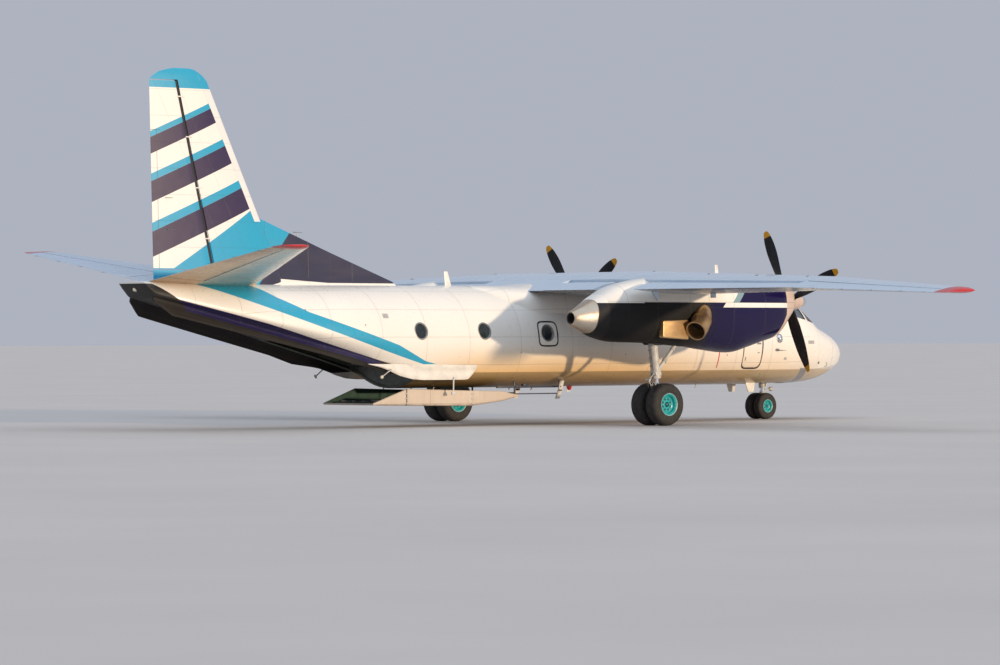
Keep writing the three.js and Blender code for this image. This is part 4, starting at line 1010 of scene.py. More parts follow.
def skinRing(outline, side, share=1.0, reach=0.0, lift=0.0):
    # an outline of (x, z) on one side, or of (y, z) on the nose where side is 0, shrunk to a share of its size
    # or moved outward by reach, and lifted off the skin
    middle = Vector([sum(point[i] for point in outline) / len(outline) for i in (0, 1)])
    ring = []
    for point in outline:
        away = (Vector(point) - middle) * share
        away = away * (1 + reach / away.length)
        place = middle + away
        at, out = fuselagePoint(*place, side) if side else nosePoint(*place)
        ring.append(at + out * lift)
    return ring


def skinPatch(bm, outline, side, lift=0.0, thick=0.0):
    # a patch of the skin inside the outline, with a rounded edge where it is thick
    edge = [skinRing(outline, side, lift=lift - thick), skinRing(outline, side, lift=lift - 0.003)] if thick else []
    shares = (0.985, 0.85, 0.65, 0.45, 0.25, 0.08)
    rings = edge + [skinRing(outline, side, share, lift=lift) for share in shares]
    return loftRings(bm, rings, (False, True))


def skinStrip(bm, outline, side, levels):
    # a moulding round the outline, each level a reach outward and a lift
    return loftRings(bm, [skinRing(outline, side, reach=reach, lift=lift) for reach, lift in levels], (False, False))


def doorOutlineAt(shrink=0.0):
    door = panels["door"]
    middle, tall = (door["low"] + door["high"]) / 2, (door["high"] - door["low"]) / 2
    return boxOutline(door["x"], middle, door["half"] - shrink, tall - shrink, door["corner"])


def cutPanels():
    # holes through the skins for each cabin window and the crew door
    cuts = {"skin_front": [], "skin_centre": [], "skin_rear": []}
    reaches = {"skin_front": (3.6, 8.0), "skin_centre": (-4.0, 3.6), "skin_rear": (-9.4, -4.0)}
    for x, z in panels["windows"]:
        for name, (low, high) in reaches.items():
            if low - 0.2 < x < high + 0.2:
                hole = circleOutline(x, z, panels["radius"])
                cuts[name] += [cutter(hole, side * 1.2, side * 1.7, sideLay) for side in (1, -1)]
    cuts["skin_front"].append(cutter(doorOutlineAt(), -1.7, -0.9, sideLay))
    for name, tools in cuts.items():
        cutAway(skins[name], tools)
        resharpen(skins[name], 24)


def makePanels():
    cutPanels()
    glass, rims, seals = bmesh.new(), bmesh.new(), bmesh.new()
    radius = panels["radius"]
    for side in (-1, 1):
        for x, z in panels["windows"]:
            skinPatch(glass, circleOutline(x, z, radius - 0.001), side, -0.016)
            skinStrip(rims, circleOutline(x, z, radius), side,
                      [(-0.012, -0.016), (-0.012, -0.003), (-0.004, 0.004), (0.014, 0.006), (0.026, 0.003), (0.027, -0.002)])
            for k in range(12):
                angle = 2 * math.pi * (k + 0.5) / 12
                at, out = fuselagePoint(x + (radius + 0.013) * math.cos(angle), z + (radius + 0.013) * math.sin(angle), side)
                rod(rims, at + out * 0.003, at + out * 0.0085, 0.006, sides=8)
        hatch = panels["hatch"]
        outline = boxOutline(hatch["x"], hatch["z"], hatch["half"], hatch["tall"], 0.13)
        skinStrip(seals, outline, side, [(0, -0.002), (0.004, 0.004), (0.042, 0.004), (0.046, -0.002)])
    skinStrip(seals, doorOutlineAt(), -1, [(0.002, -0.03), (0.002, 0.003), (0.006, 0.005), (0.034, 0.005), (0.038, -0.002)])
    finishPiece("cabin_windows", glass, "airframe", looks["glass"])
    finishPiece("window_rims", rims, "airframe", looks["steel"])
    finishPiece("hatch_seals", seals, "airframe", looks["black"])
    door = skinPatch(bmesh.new(), doorOutlineAt(0.008), -1, 0.0, 0.055)
    finishPiece("crew_door_panel", door, "airframe", looks["body"], ["crew_door"])
    # door handle in its recess, two hinges' covers and a lift stop
    fittings = bmesh.new()
    for x, z, wide, tall in ((7.50, 2.02, 0.075, 0.022), (7.50, 1.78, 0.03, 0.012), (7.05, 1.62, 0.012, 0.05),
                             (7.05, 2.52, 0.012, 0.05)):
        skinPatch(fittings, boxOutline(x, z, wide, tall, 0.012), -1, 0.008, 0.016)
    finishPiece("crew_door_fittings", fittings, "airframe", looks["steel"])


makePanels()
print("windows and doors made")


# Moving surfaces: where each begins and ends along the span, and the bay it turns in
lifts = {
    "innerFlap": (1.475, 3.255), "outerFlap": (4.66, 9.79), "joint": 4.9, "flapBay": (1.467, 9.8),
    "aileron": (9.87, 14.2), "aileronBay": (9.862, 14.208),
    "elevator": (0.773, 4.688), "elevatorBay": (0.737, 4.708),
    "rudder": (3.816, 8.267), "rudderBay": (3.792, 8.293),
    "flapDrops": [(0.012, -0.07), (0.025, -0.038), (0.05, -0.015), (0.08, -0.004), (0.12, 0.0)],
    "pivot": 0.745, "pivotDrop": 0.09,
}


def flapRing(span):
    start = hinges["flap"]
    nose = surfacePoint(wing, span, start, -1, -0.04)
    top = [surfacePoint(wing, span, start + step, 1, drop) for step, drop in lifts["flapDrops"]]
    top += [surfacePoint(wing, span, u, 1) for u in (0.9, 0.95, 1.0)]
    bottom = [surfacePoint(wing, span, start + step, -1) for step in (0.012, 0.05, 0.12, 0.18)]
    return [nose] + top + bottom[::-1]


def mirrorPiece(bm, side):
    if side < 0:
        mirrorY(bm)
    return bm


def bothHalves(bm):
    # the port half and its mirror image, as one mesh
    half = bpy.data.meshes.new("half")
    bm.to_mesh(half)
    mirrorY(bm)
    bm.from_mesh(half)
    bpy.data.meshes.remove(half)
    return bm


def hingePin(bm, surface, spans, bay, fraction, radius=0.01):
    # pins of the fixed part, into both ends of the moving surface
    ends = []
    for span in spans:
        row = rowAt(surface, span)
        aft, off, _ = hingeOf(surface, row, fraction)
        ends.append(surface["lay"](span, aft, off, row))
    along = (ends[1] - ends[0]).normalized()
    for point, way, gap in ((ends[0], -1, spans[0] - bay[0]), (ends[1], 1, bay[1] - spans[1])):
        rod(bm, point + along * way * (gap + 0.03), point - along * way * 0.03, radius, sides=12)


def staticWicks(bm, surface, spans, length=0.16):
    for span in spans:
        point = surfacePoint(surface, span, 1.0, 1)
        back = Vector((-length, 0, 0))
        rod(bm, point + Vector((0.03, 0, 0)), point + back * 0.35, 0.004, sides=8)
        rod(bm, point + back * 0.3, point + back, 0.0022, 0.001, sides=6)


def flapArm(bm, span):
    # an arm at the flap's end reaches down to its pivot
    row = rowAt(wing, span)
    pivot = wingLay(span, lifts["pivot"] * row[3], -lifts["pivotDrop"] * row[3], row)
    outline = [(pivot.x - 0.032, pivot.z), (pivot.x - 0.022, pivot.z - 0.022), (pivot.x, pivot.z - 0.032),
               (pivot.x + 0.022, pivot.z - 0.022), (pivot.x + 0.032, pivot.z), (pivot.x + 0.01, pivot.z + 0.25),
               (pivot.x - 0.19, pivot.z + 0.25), (pivot.x - 0.19, pivot.z + 0.19)]
    low = span - 0.032 if span < 4 else span
    prism(bm, outline, low + 0.001, low + 0.031, sideLay)


def makeWing():
    spar, bay = hinges["spar"], lifts["flapBay"]
    cut = lambda span: sectionRing(wing, span, spar)
    whole = lambda span: sectionRing(wing, span)
    cove = lambda span: coveRing(wing, span, hinges["aileron"], hinges["aileronLip"])
    bm = surfaceSkin(wing, cut, bay[0], lifts["joint"])
    surfaceSkin(wing, whole, 0.0, bay[0], bm=bm)
    finishPiece("wing_middle", bothHalves(bm), "airframe", looks["wing"], ["wing_centre"], 40)
    low, high = lifts["aileronBay"]
    for side, word in ((1, "left"), (-1, "right")):
        bm = surfaceSkin(wing, cut, lifts["joint"] + 0.0004, bay[1])
        surfaceSkin(wing, whole, bay[1], low, bm=bm)
        surfaceSkin(wing, cove, low, high, bm=bm)
        surfaceSkin(wing, whole, high, 14.6, 0.03, bm=bm)
        lathed(bm, [(0, 0.12), (0.07, 0.12), (0.07, 0.006), (0.064, 0), (0, 0)], 32, (0, 0, 1), (2.0, 5.3, 3.16))
        hingePin(bm, wing, lifts["aileron"], lifts["aileronBay"], hinges["aileron"])
        finishPiece(f"wing_skin_{word}", mirrorPiece(bm, side), "airframe", looks["wing"],
                    [f"wing_outer_{word}"], 40)
        aileron = surfaceSkin(wing, lambda span: controlRing(wing, span, hinges["aileron"]), *lifts["aileron"])
        finishPiece(f"aileron_skin_{word}", mirrorPiece(aileron, side), f"aileron_{word}", looks["wing"],
                    [f"aileron_{word}"], 40)
        wicks = bmesh.new()
        staticWicks(wicks, wing, (10.6, 11.5, 12.4, 13.3, 14.0))
        finishPiece(f"aileron_wicks_{word}", mirrorPiece(wicks, side), f"aileron_{word}", looks["black"])
        for key, arm in (("inner", 3.255), ("outer", 4.66)):
            flap = surfaceSkin(wing, flapRing, *lifts[f"{key}Flap"])
            flapArm(flap, arm)
            finishPiece(f"flap_{key}_skin_{word}", mirrorPiece(flap, side), f"flap_{key}_{word}", looks["wing"],
                        [f"flap_{key}_{word}"], 40)


def makeTail():
    low, high = lifts["rudderBay"]
    whole = lambda span: sectionRing(finShape, span)
    part = surfaceSkin(finShape, whole, 3.45, low)
    surfaceSkin(finShape, lambda span: coveRing(finShape, span, hinges["rudder"], hinges["rudderLip"]), low, high, bm=part)
    surfaceSkin(finShape, whole, high, 8.575, 0.03, bm=part)
    hingePin(part, finShape, lifts["rudder"], lifts["rudderBay"], hinges["rudder"])
    finishPiece("fin_skin", part, "airframe", looks["fin"], ["fin"], 40)
    rudder = surfaceSkin(finShape, lambda span: controlRing(finShape, span, hinges["rudder"]), *lifts["rudder"])
    finishPiece("rudder_skin", rudder, "rudder", looks["fin"], ["rudder"], 40)
    low, high = lifts["elevatorBay"]
    section = lambda span: sectionRing(tailplane, span)
    for side, word in ((1, "left"), (-1, "right")):
        bm = surfaceSkin(tailplane, section, 0.0, low)
        surfaceSkin(tailplane, lambda span: coveRing(tailplane, span, hinges["elevator"], hinges["elevatorLip"]),
                    low, high, bm=bm)
        surfaceSkin(tailplane, section, high, 4.985, 0.03, bm=bm)
        hingePin(bm, tailplane, lifts["elevator"], lifts["elevatorBay"], hinges["elevator"])
        finishPiece(f"tailplane_skin_{word}", mirrorPiece(bm, side), "airframe", looks["tail"],
                    [f"tailplane_{word}"], 40)
        elevator = surfaceSkin(tailplane, lambda span: controlRing(tailplane, span, hinges["elevator"]),
                               *lifts["elevator"])
        finishPiece(f"elevator_skin_{word}", mirrorPiece(elevator, side), f"elevator_{word}", looks["tail"],
                    [f"elevator_{word}"], 40)
        wicks = bmesh.new()
        staticWicks(wicks, tailplane, (1.6, 2.5, 3.4, 4.3), 0.12)
        finishPiece(f"elevator_wicks_{word}", mirrorPiece(wicks, side), f"elevator_{word}", looks["black"])


def tailPaint():
    # tailplane skins: pale, with a red tip and ribs
    paint = Paint("tailplane paint")
    x, span = paint.x, paint.y.abs()
    colour = paint.mix(paint.noise(1.0, 4).ramp(0.35, 0.75), (0.54, 0.65, 0.76), (0.48, 0.59, 0.71))
    # the underside painted in shade and warm ground reflection, browner on the elevator, and the leading edge painted
    # pale as lit
    under = (paint.z - 3.505 - 0.158 * span).below(-0.004, 0.01)
    shade = paint.mix((x + 10.24 + 0.18 * span).below(0.0, 0.01), (0.42, 0.42, 0.36), (0.44, 0.30, 0.19))
    colour = paint.mix(under, colour, shade)
    colour = paint.mix((x + 8.36 + 0.474 * span).above(0.0, 0.01), colour, (0.80, 0.74, 0.66))
    colour = paint.mix(span.above(4.72, 0.005), colour, tones["red"])
    ribs = span.every(0.47, 0.006).most((x + 8.9 + 0.36 * span).near([0.0], 0.007))
    colour = paint.mix(ribs * 0.4, colour, (0.12, 0.12, 0.13))
    stain = paint.noise(1.8, 5, 0.6, (0.2, 1, 1)).ramp(0.5, 0.85)
    colour = paint.mix(stain * 0.3, colour, (0.42, 0.38, 0.33))
    paint.set(colour=colour, rough=0.26 + 0.2 * stain, coat=0.3, coatRough=0.15)
    paint.bump(1 - ribs * 0.7, 0.002)
    return paint.material


looks["tail"] = tailPaint()
makeWing()
makeTail()
print("wing and tail made")


# Nacelles: cowl with its round intake, engine pod, bare cone, exhaust elbow and heat shield
pod = {
    "intake": [(5.85, 0.358), (5.852, 0.345), (5.845, 0.332), (5.82, 0.324), (5.77, 0.32), (5.70, 0.325), (5.5, 0.36),
               (5.2, 0.43), (4.9, 0.5)],
    "propZ": 3.1,
    "jet": {"z": 2.655, "radius": 0.15},
    "elbow": [(2.48, 4.38, 2.86, 0.19), (2.36, 4.56, 2.79, 0.215), (2.18, 4.72, 2.65, 0.235),
              (1.98, 4.84, 2.47, 0.245), (1.76, 4.93, 2.34, 0.25)],
    "shield": [(0.90, 2.18), (1.78, 2.13), (1.78, 2.62), (0.90, 2.60)],
    "wall": 0.022,
}


def intakeRing(x, radius, side):
    centre = Vector((x, side * nacelle["y"], pod["propZ"]))
    return [centre + Vector((0, radius * math.cos(angle), radius * math.sin(angle)))
            for angle in (2 * math.pi * i / nacelle["sides"] for i in range(nacelle["sides"]))]


def makeCowl(side, word):
    places = spread([nacelle["split"], 3.75, 4.3, 4.8, 5.3, 5.5, 5.7, 5.8], 0.14)
    rings = [nacelleRing(x, 0.0, side) for x in places]
    rings += [nacelleRing(5.832, -0.012, side), nacelleRing(5.848, -0.035, side)]
    rings += [intakeRing(x, radius, side) for x, radius in pod["intake"]]
    bm = loftRings(bmesh.new(), rings, (False, False))
    finishPiece(f"cowl_skin_{word}", bm, "airframe", looks["nacelle"], [f"cowling_{word}"], 40)
    # the dark duct's end with its ring of guide vanes
    duct = bmesh.new()
    centre = (4.92, side * nacelle["y"], pod["propZ"])
    lathed(duct, [(0, 0), (0.5, 0)], 48, (1, 0, 0), centre)
    lathed(duct, [(0, 0.85), (0.2, 0.85), (0.21, 0.6), (0.23, 0)], 40, (1, 0, 0), centre)
    for k in range(20):
        turn = Matrix.Rotation(2 * math.pi * k / 20, 4, "X")
        vane = bmesh.ops.create_cube(duct, size=1.0, matrix=Matrix.Translation(centre) @ turn @ Matrix.Translation(
            (0.25, 0, 0.35)) @ Matrix.Rotation(0.4, 4, "Z") @ Matrix.Diagonal((0.12, 0.008, 0.3, 1)))["verts"]
        bmesh.ops.bevel(duct, geom=list({e for v in vane for e in v.link_edges}), offset=0.002, segments=1,
                        profile=0.5, affect="EDGES", material=-1)
    finishPiece(f"intake_duct_{word}", duct, "airframe", looks["engine"], [f"engine_{word}"])


def smoothRoute(route, count):
    # a route of rows (place along it, values...) at even places
    rows = [(-float(i), *row) for i, row in enumerate(route)]
    return [smoothTable(rows, -(len(route) - 1) * k / count) for k in range(count + 1)]


def pipeRings(route, shrink, side, sides=36):
    points = [Vector((x, side * y, z)) for x, y, z, _ in route]
    rings = []
    for i, (point, row) in enumerate(zip(points, route)):
        along = (points[min(i + 1, len(points) - 1)] - points[max(i - 1, 0)]).normalized()
        up = Vector((0, 0, 1)).cross(along).normalized()
        over = along.cross(up)
        ring = [point + up * (row[3] - shrink) * math.cos(angle) + over * (row[3] - shrink) * math.sin(angle)
                for angle in (2 * math.pi * k / sides for k in range(sides))]
        rings.append(ring)
    return rings


def makeExhaust(side, word):
    route = smoothRoute(pod["elbow"], 20)
    outer = pipeRings(route, 0.0, side)
    inner = pipeRings(route[8:], pod["wall"], side)
    bm = loftRings(bmesh.new(), outer + inner[::-1], (False, True))
    # a rolled rim at the mouth and a clamp band further in
    for i, grow in ((20, 0.007), (12, 0.012)):
        band = pipeRings(route, -grow, side)
        loftRings(bm, [outer[i], band[i], band[i - 1], outer[i - 1]], (False, False))
    shield = pod["shield"]
    verts = prism(bm, rounded(shield, 0.05), side * (nacelle["y"] + 0.56), side * (nacelle["y"] + 0.715), sideLay)
    edges = [e for e in {e for v in verts for e in v.link_edges} if all(abs(v.co.y) > nacelle["y"] + 0.7 for v in e.verts)]
    bmesh.ops.bevel(bm, geom=edges, offset=0.02, offset_type="OFFSET", segments=3, profile=0.5, affect="EDGES",
                    material=-1)
    for x in steps(0.96, 1.72, 7):
        for z in (2.19, 2.56):
            lathed(bm, [(0, 0.006), (0.006, 0.005), (0.009, 0)], 10, (0, side, 0), (x, side * (nacelle["y"] + 0.715), z))
    finishPiece(f"exhaust_elbow_{word}", bm, "airframe", looks["hot"], [f"exhaust_{word}"], 40)
    dark = loftRings(bmesh.new(), pipeRings(route[7:14], pod["wall"] + 0.003, side), (False, True))
    finishPiece(f"exhaust_inside_{word}", dark, "airframe", looks["soot"])


def makeCone(side, word):
    # bare rear cone; the starboard one has the jet pipe's mouth
    jet = pod["jet"]
    rings = [nacelleRing(x, 0.0, side) for x in spread([nacelle["tail"] - 0.0004, -1.17, -1.5], 0.09)]
    centre = Vector((-1.55, side * nacelle["y"], jet["z"]))
    circle = lambda x, radius: [Vector((x, centre.y + radius * math.cos(a), centre.z + radius * math.sin(a)))
                                for a in (2 * math.pi * i / nacelle["sides"] for i in range(nacelle["sides"]))]
    if side < 0:
        rings += [circle(-1.545, 0.157), circle(-1.55, 0.15), circle(-1.545, 0.128), circle(-1.4, 0.125),
                  circle(-1.1, 0.12)]
    else:
        rings += [circle(-1.535, 0.135), circle(-1.547, 0.1), circle(-1.55, 0.05)]
    bm = loftRings(bmesh.new(), rings, (False, True))
    finishPiece(f"nacelle_cone_{word}", bm, "airframe", looks["cone"], [f"nacelle_tail_{word}"], 35)
    if side < 0:
        pipe = bmesh.new()
        lathed(pipe, [(0, 0), (0.1, 0), (0.118, 0.14), (0.122, 0.19), (0.145, 0.2), (0.158, 0.185), (0.16, 0.14)],
               48, (-1, 0, 0), (-1.352, centre.y, centre.z))
        finishPiece("jet_pipe", pipe, "airframe", looks["soot"])


def makeNacelles():
    for side, word in ((1, "left"), (-1, "right")):
        makeCowl(side, word)
        body = nacelleSkin(nacelle["split"] - 0.0004, nacelle["tail"], side, (True, True))
        finishPiece(f"nacelle_skin_{word}", body, "airframe", looks["nacelle"],
                    [f"nacelle_{word}"], 35)
        makeCone(side, word)
        makeExhaust(side, word)


looks["soot"] = plainPaint("soot", (0.012, 0.011, 0.010), 0.8, grain=12)
makeNacelles()
print("nacelles made")


# Propellers: blade stations of radius, chord, thickness and pitch in degrees
propeller = {
    "x": 5.98, "z": 3.1, "phases": {"left": 36.7, "right": 23.05},
    "blade": [(0.15, 0.17, 0.12, -46), (0.38, 0.235, 0.085, -32), (0.8, 0.31, 0.046, -15), (1.3, 0.335, 0.03, 0),
              (1.65, 0.275, 0.02, 8), (1.85, 0.19, 0.014, 10), (1.91, 0.145, 0.011, 10.6), (1.94, 0.10, 0.007, 11),
              (1.95, 0.06, 0.004, 11)],
    "spinner": [(0, -0.16), (0.19, -0.16), (0.222, -0.13), (0.235, -0.09), (0.2365, -0.02), (0.235, 0.06), (0.231, 0.13),
                (0.222, 0.2), (0.206, 0.29), (0.185, 0.38), (0.16, 0.465), (0.13, 0.54), (0.102, 0.598), (0.07, 0.64),
                (0.035, 0.66), (0, 0.665)],
}


def bladeRing(radius, chord, thick, pitch, count=12):
    tilt = math.radians(pitch)
    ring = []
    for side in (1, -1):
        spots = chordSteps(0, 1, count)
        for u in spots if side > 0 else reversed(spots[1:-1]):
            across = halfThickness(u) * thick * (1.25 if side > 0 else -0.5)
            along = (u - 0.5) * chord
            ring.append(Vector((along * math.sin(tilt) + across * math.cos(tilt),
                                -along * math.cos(tilt) + across * math.sin(tilt), radius)))
    return ring


def makePropellers():
    rows = [(-row[0], *row[1:]) for row in propeller["blade"]]
    for side, word in ((1, "left"), (-1, "right")):
        centre = Vector((propeller["x"], side * nacelle["y"], propeller["z"]))
        blades = bmesh.new()
        for k in range(4):
            bm = bmesh.new()
            places = spread([row[0] for row in propeller["blade"]], 0.09)
            loftRings(bm, [bladeRing(radius, *smoothTable(rows, -radius)) for radius in places])
            lathed(bm, [(0.085, 0.14), (0.085, 0.25), (0.07, 0.27), (0.055, 0.275)], 28, (0, 0, 1), (0, 0, 0))
            turn = Matrix.Rotation(-math.radians(propeller["phases"][word]) - k * math.pi / 2, 4, "X")
            bmesh.ops.transform(bm, matrix=Matrix.Translation(centre) @ turn, verts=bm.verts[:])
            mesh = bpy.data.meshes.new("blade")
            bm.to_mesh(mesh)
            bm.free()
            blades.from_mesh(mesh)
            bpy.data.meshes.remove(mesh)
        finishPiece(f"propeller_blades_{word}", blades, f"propeller_{word}", looks["blade"],
                    [f"propeller_{word}"], 50)
        spinner = bmesh.new()
        lathed(spinner, propeller["spinner"], 56, (1, 0, 0), centre)
        lathed(spinner, [(0.237, 0.066), (0.2385, 0.069), (0.2385, 0.075), (0.236, 0.078)], 56, (1, 0, 0), centre)
        for k in range(16):
            angle = 2 * math.pi * k / 16
            out = Vector((0, math.cos(angle), math.sin(angle)))
            rod(spinner, centre + out * 0.234 + Vector((0.04, 0, 0)), centre + out * 0.239 + Vector((0.04, 0, 0)), 0.006,
                sides=8)
        finishPiece(f"spinner_{word}", spinner, f"propeller_{word}", looks["spinner"], angle=45)


makePropellers()
print("propellers made")


# Wheels: a pair turns with its axle; sections are (radius, side) of one wheel, out from its middle
wheels = {
    "main": {"x": 1.375, "z": 0.525, "spacing": 0.262, "radius": 0.525, "half": 0.1925, "rim": 0.265, "axle": 0.045,
             "grooves": (0.035, 0.09), "bolts": 10, "holes": 8},
    "nose": {"x": 9.02, "z": 0.35, "spacing": 0.165, "radius": 0.35, "half": 0.12, "rim": 0.165, "axle": 0.032,
             "grooves": (0.03,), "bolts": 8, "holes": 6},
}


def tyreSection(wheel):
    # half of the tyre's section, from the bead over the sidewall to the middle of the tread
    half, radius, rim = wheel["half"], wheel["radius"], wheel["rim"]
    tall = radius - rim
    side = [(rim - 0.004, 0.80), (rim + 0.01, 0.86), (rim + 0.05 * tall, 0.885), (rim + 0.18 * tall, 0.94),
            (rim + 0.36 * tall, 0.985), (rim + 0.5 * tall, 1.0), (rim + 0.64 * tall, 0.985), (rim + 0.78 * tall, 0.92),
            (rim + 0.88 * tall, 0.82), (rim + 0.945 * tall, 0.70), (rim + 0.975 * tall, 0.58)]
    points = [(r, share * half) for r, share in side]
    for place in reversed(wheel["grooves"]):
        crown = radius - 0.02 * tall * (place / half) ** 2
        points += [(crown, place + 0.006), (crown - 0.007, place + 0.004), (crown - 0.007, place - 0.004), (crown, place - 0.006)]
    return points + [(radius, 0.0)]


def makeTyre(bm, wheel, centre):
    outer = tyreSection(wheel)
    section = outer + [(r, -side) for r, side in reversed(outer[:-1])]
    inside = [(wheel["rim"] - 0.004, -0.80 * wheel["half"]), (wheel["rim"] - 0.004, 0.80 * wheel["half"])]
    lathed(bm, section + inside[1:], 72, (0, 1, 0), centre)


def makeRim(bm, wheel, centre, out):
    # the hub's outer face: a dished disc with a lip, out is the side it faces
    half, rim = wheel["half"], wheel["rim"]
    dish = [(wheel["axle"] * 0.9, 0.50), (0.24 * rim, 0.50), (0.27 * rim, 0.40), (0.55 * rim, 0.34), (0.72 * rim, 0.36),
            (0.80 * rim, 0.44), (0.83 * rim, 0.70), (0.90 * rim, 0.80), (0.985 * rim, 0.83), (1.01 * rim, 0.86)]
    lathed(bm, [(0.0, 0.50 * half)] + [(r, side * half) for r, side in dish], 60, (0, out, 0), centre)
    lathed(bm, [(rim - 0.004, -0.82 * half), (0.9 * rim, -0.6 * half), (0, -0.6 * half)], 48, (0, out, 0), centre)
    for k in range(wheel["bolts"]):
        angle = 2 * math.pi * k / wheel["bolts"]
        at = Vector(centre) + Vector((math.cos(angle), 0, math.sin(angle))) * 0.69 * rim
        rod(bm, at + Vector((0, out * 0.30 * half, 0)), at + Vector((0, out * 0.45 * half, 0)), 0.045 * rim, sides=6)


def rimDetails(bm, wheel, centre, out):
    # pale lip ring
    half, rim = wheel["half"], wheel["rim"]
    lathed(bm, [(0.985 * rim, 0.832 * half), (1.0 * rim, 0.87 * half), (1.06 * rim, 0.895 * half), (1.075 * rim, 0.88 * half)],
           60, (0, out, 0), centre)


def makeWheelPair(name, key, y, body):
    wheel = wheels[key]
    tyres, hubs, lips, caps = bmesh.new(), bmesh.new(), bmesh.new(), bmesh.new()
    for side in (-1, 1):
        centre = Vector((wheel["x"], y + side * wheel["spacing"], wheel["z"]))
        makeTyre(tyres, wheel, centre)
        makeRim(hubs, wheel, centre, side)
        rimDetails(lips, wheel, centre, side)
        cap = [(0.0, 0.62), (0.10, 0.61), (0.17, 0.57), (0.20, 0.50), (0.235, 0.50)]
        lathed(caps, [(r * wheel["rim"], share * wheel["half"]) for r, share in cap], 32, (0, side, 0), centre)
        for k in range(wheel["holes"]):
            angle = 2 * math.pi * (k + 0.5) / wheel["holes"]
            at = centre + Vector((math.cos(angle), 0, math.sin(angle))) * 0.50 * wheel["rim"]
            face = Vector((0, side * wheel["half"], 0))
            rod(caps, at + face * 0.34, at + face * 0.385, 0.105 * wheel["rim"], sides=18)
    reach = wheel["spacing"]
    rod(hubs, (wheel["x"], y - reach, wheel["z"]), (wheel["x"], y + reach, wheel["z"]), wheel["axle"], sides=24)
    finishPiece(f"{name}_tyres", tyres, body, looks["rubber"], [name], 32)
    finishPiece(f"{name}_hubs", hubs, body, looks["rim"], angle=35)
    finishPiece(f"{name}_lips", lips, body, looks["lip"], angle=35)
    finishPiece(f"{name}_caps", caps, body, looks["darkRim"], angle=35)


def rubberPaint():
    # black rubber with dust on the tread and a faint ribbed sidewall
    paint = Paint("tyre rubber")
    dust = paint.noise(9, 5, 0.6).ramp(0.42, 0.8)
    colour = paint.mix(dust * 0.55, tones["rubber"], (0.085, 0.075, 0.065))
    colour = paint.mix(paint.noise(90, 3).ramp(0.6, 0.75) * 0.4, colour, (0.12, 0.11, 0.1))
    paint.set(colour=colour, rough=0.72 + 0.2 * dust)
    paint.bump(paint.noise(70, 4, 0.6), 0.0012)
    return paint.material


looks["rubber"] = rubberPaint()
looks["rim"] = plainPaint("hub paint", tones["tealRim"], 0.3, grain=12, wear=(0.20, 0.30, 0.30), coat=0.2)
looks["lip"] = plainPaint("lip ring", (0.26, 0.50, 0.52), 0.35, grain=14, wear=(0.4, 0.4, 0.38))
looks["darkRim"] = plainPaint("hub cap", (0.012, 0.10, 0.12), 0.4, grain=14)


# Main legs: points are (x, z) in the leg's own plane
mainLeg = {
    "strut": ((1.200, 2.30), (1.345, 1.18), 0.105), "piston": ((1.345, 1.18), (1.371, 0.545), 0.058),
    "brace": ((2.150, 2.15), (1.330, 1.30), 0.048), "links": [(1.25, 1.33), (1.06, 1.13), (1.33, 0.80)],
}


def collar(bm, start, end, share, radius, tall):
    # a band round a tube at a share of its length
    start, end = Vector(start), Vector(end)
    along = (end - start).normalized()
    middle = start + (end - start) * share
    lathed(bm, [(radius * 0.9, -tall / 2), (radius - 0.004, -tall / 2), (radius, -tall / 2 + 0.004),
                (radius, tall / 2 - 0.004), (radius - 0.004, tall / 2), (radius * 0.9, tall / 2)], 28, along, middle)


def hose(bm, points, radius, sides=10):
    # a smooth pipe through points
    rows = [(-float(i), *point) for i, point in enumerate(points)]
    count = 8 * (len(points) - 1)
    path = [Vector(smoothTable(rows, -(len(points) - 1) * k / count)) for k in range(count + 1)]
    rings, across = [], None
    for i, at in enumerate(path):
        along = (path[min(i + 1, count)] - path[max(i - 1, 0)]).normalized()
        across = (along.orthogonal() if across is None else across - along * across.dot(along)).normalized()
        over = along.cross(across)
        rings.append([at + across * radius * math.cos(a) + over * radius * math.sin(a)
                      for a in (2 * math.pi * k / sides for k in range(sides))])
    return loftRings(bm, rings)


def plateLink(bm, start, end, wide, thick, boss, y, gap=0.0):
    # a flat forged link between two bosses
    for side in ((-1, 1) if gap else (0,)):
        depth = y + side * gap
        a, b = Vector((start[0], depth, start[1])), Vector((end[0], depth, end[1]))
        along = (b - a).normalized()
        place = Matrix.Translation((a + b) / 2) @ along.to_track_quat("Z", "Y").to_matrix().to_4x4()
        verts = bmesh.ops.create_cube(bm, size=1.0, matrix=place @ Matrix.Diagonal((wide, thick, (b - a).length, 1)))["verts"]
        for vert in verts:
            vert.co.y = depth + thick / 2 * (1 if vert.co.y > depth else -1)
        bmesh.ops.bevel(bm, geom=list({e for v in verts for e in v.link_edges}), offset=0.006, segments=2, profile=0.5,
                        affect="EDGES", material=-1)
        for at in (a, b):
            rod(bm, at - Vector((0, boss * 0.9, 0)), at + Vector((0, boss * 0.9, 0)), boss, sides=20)


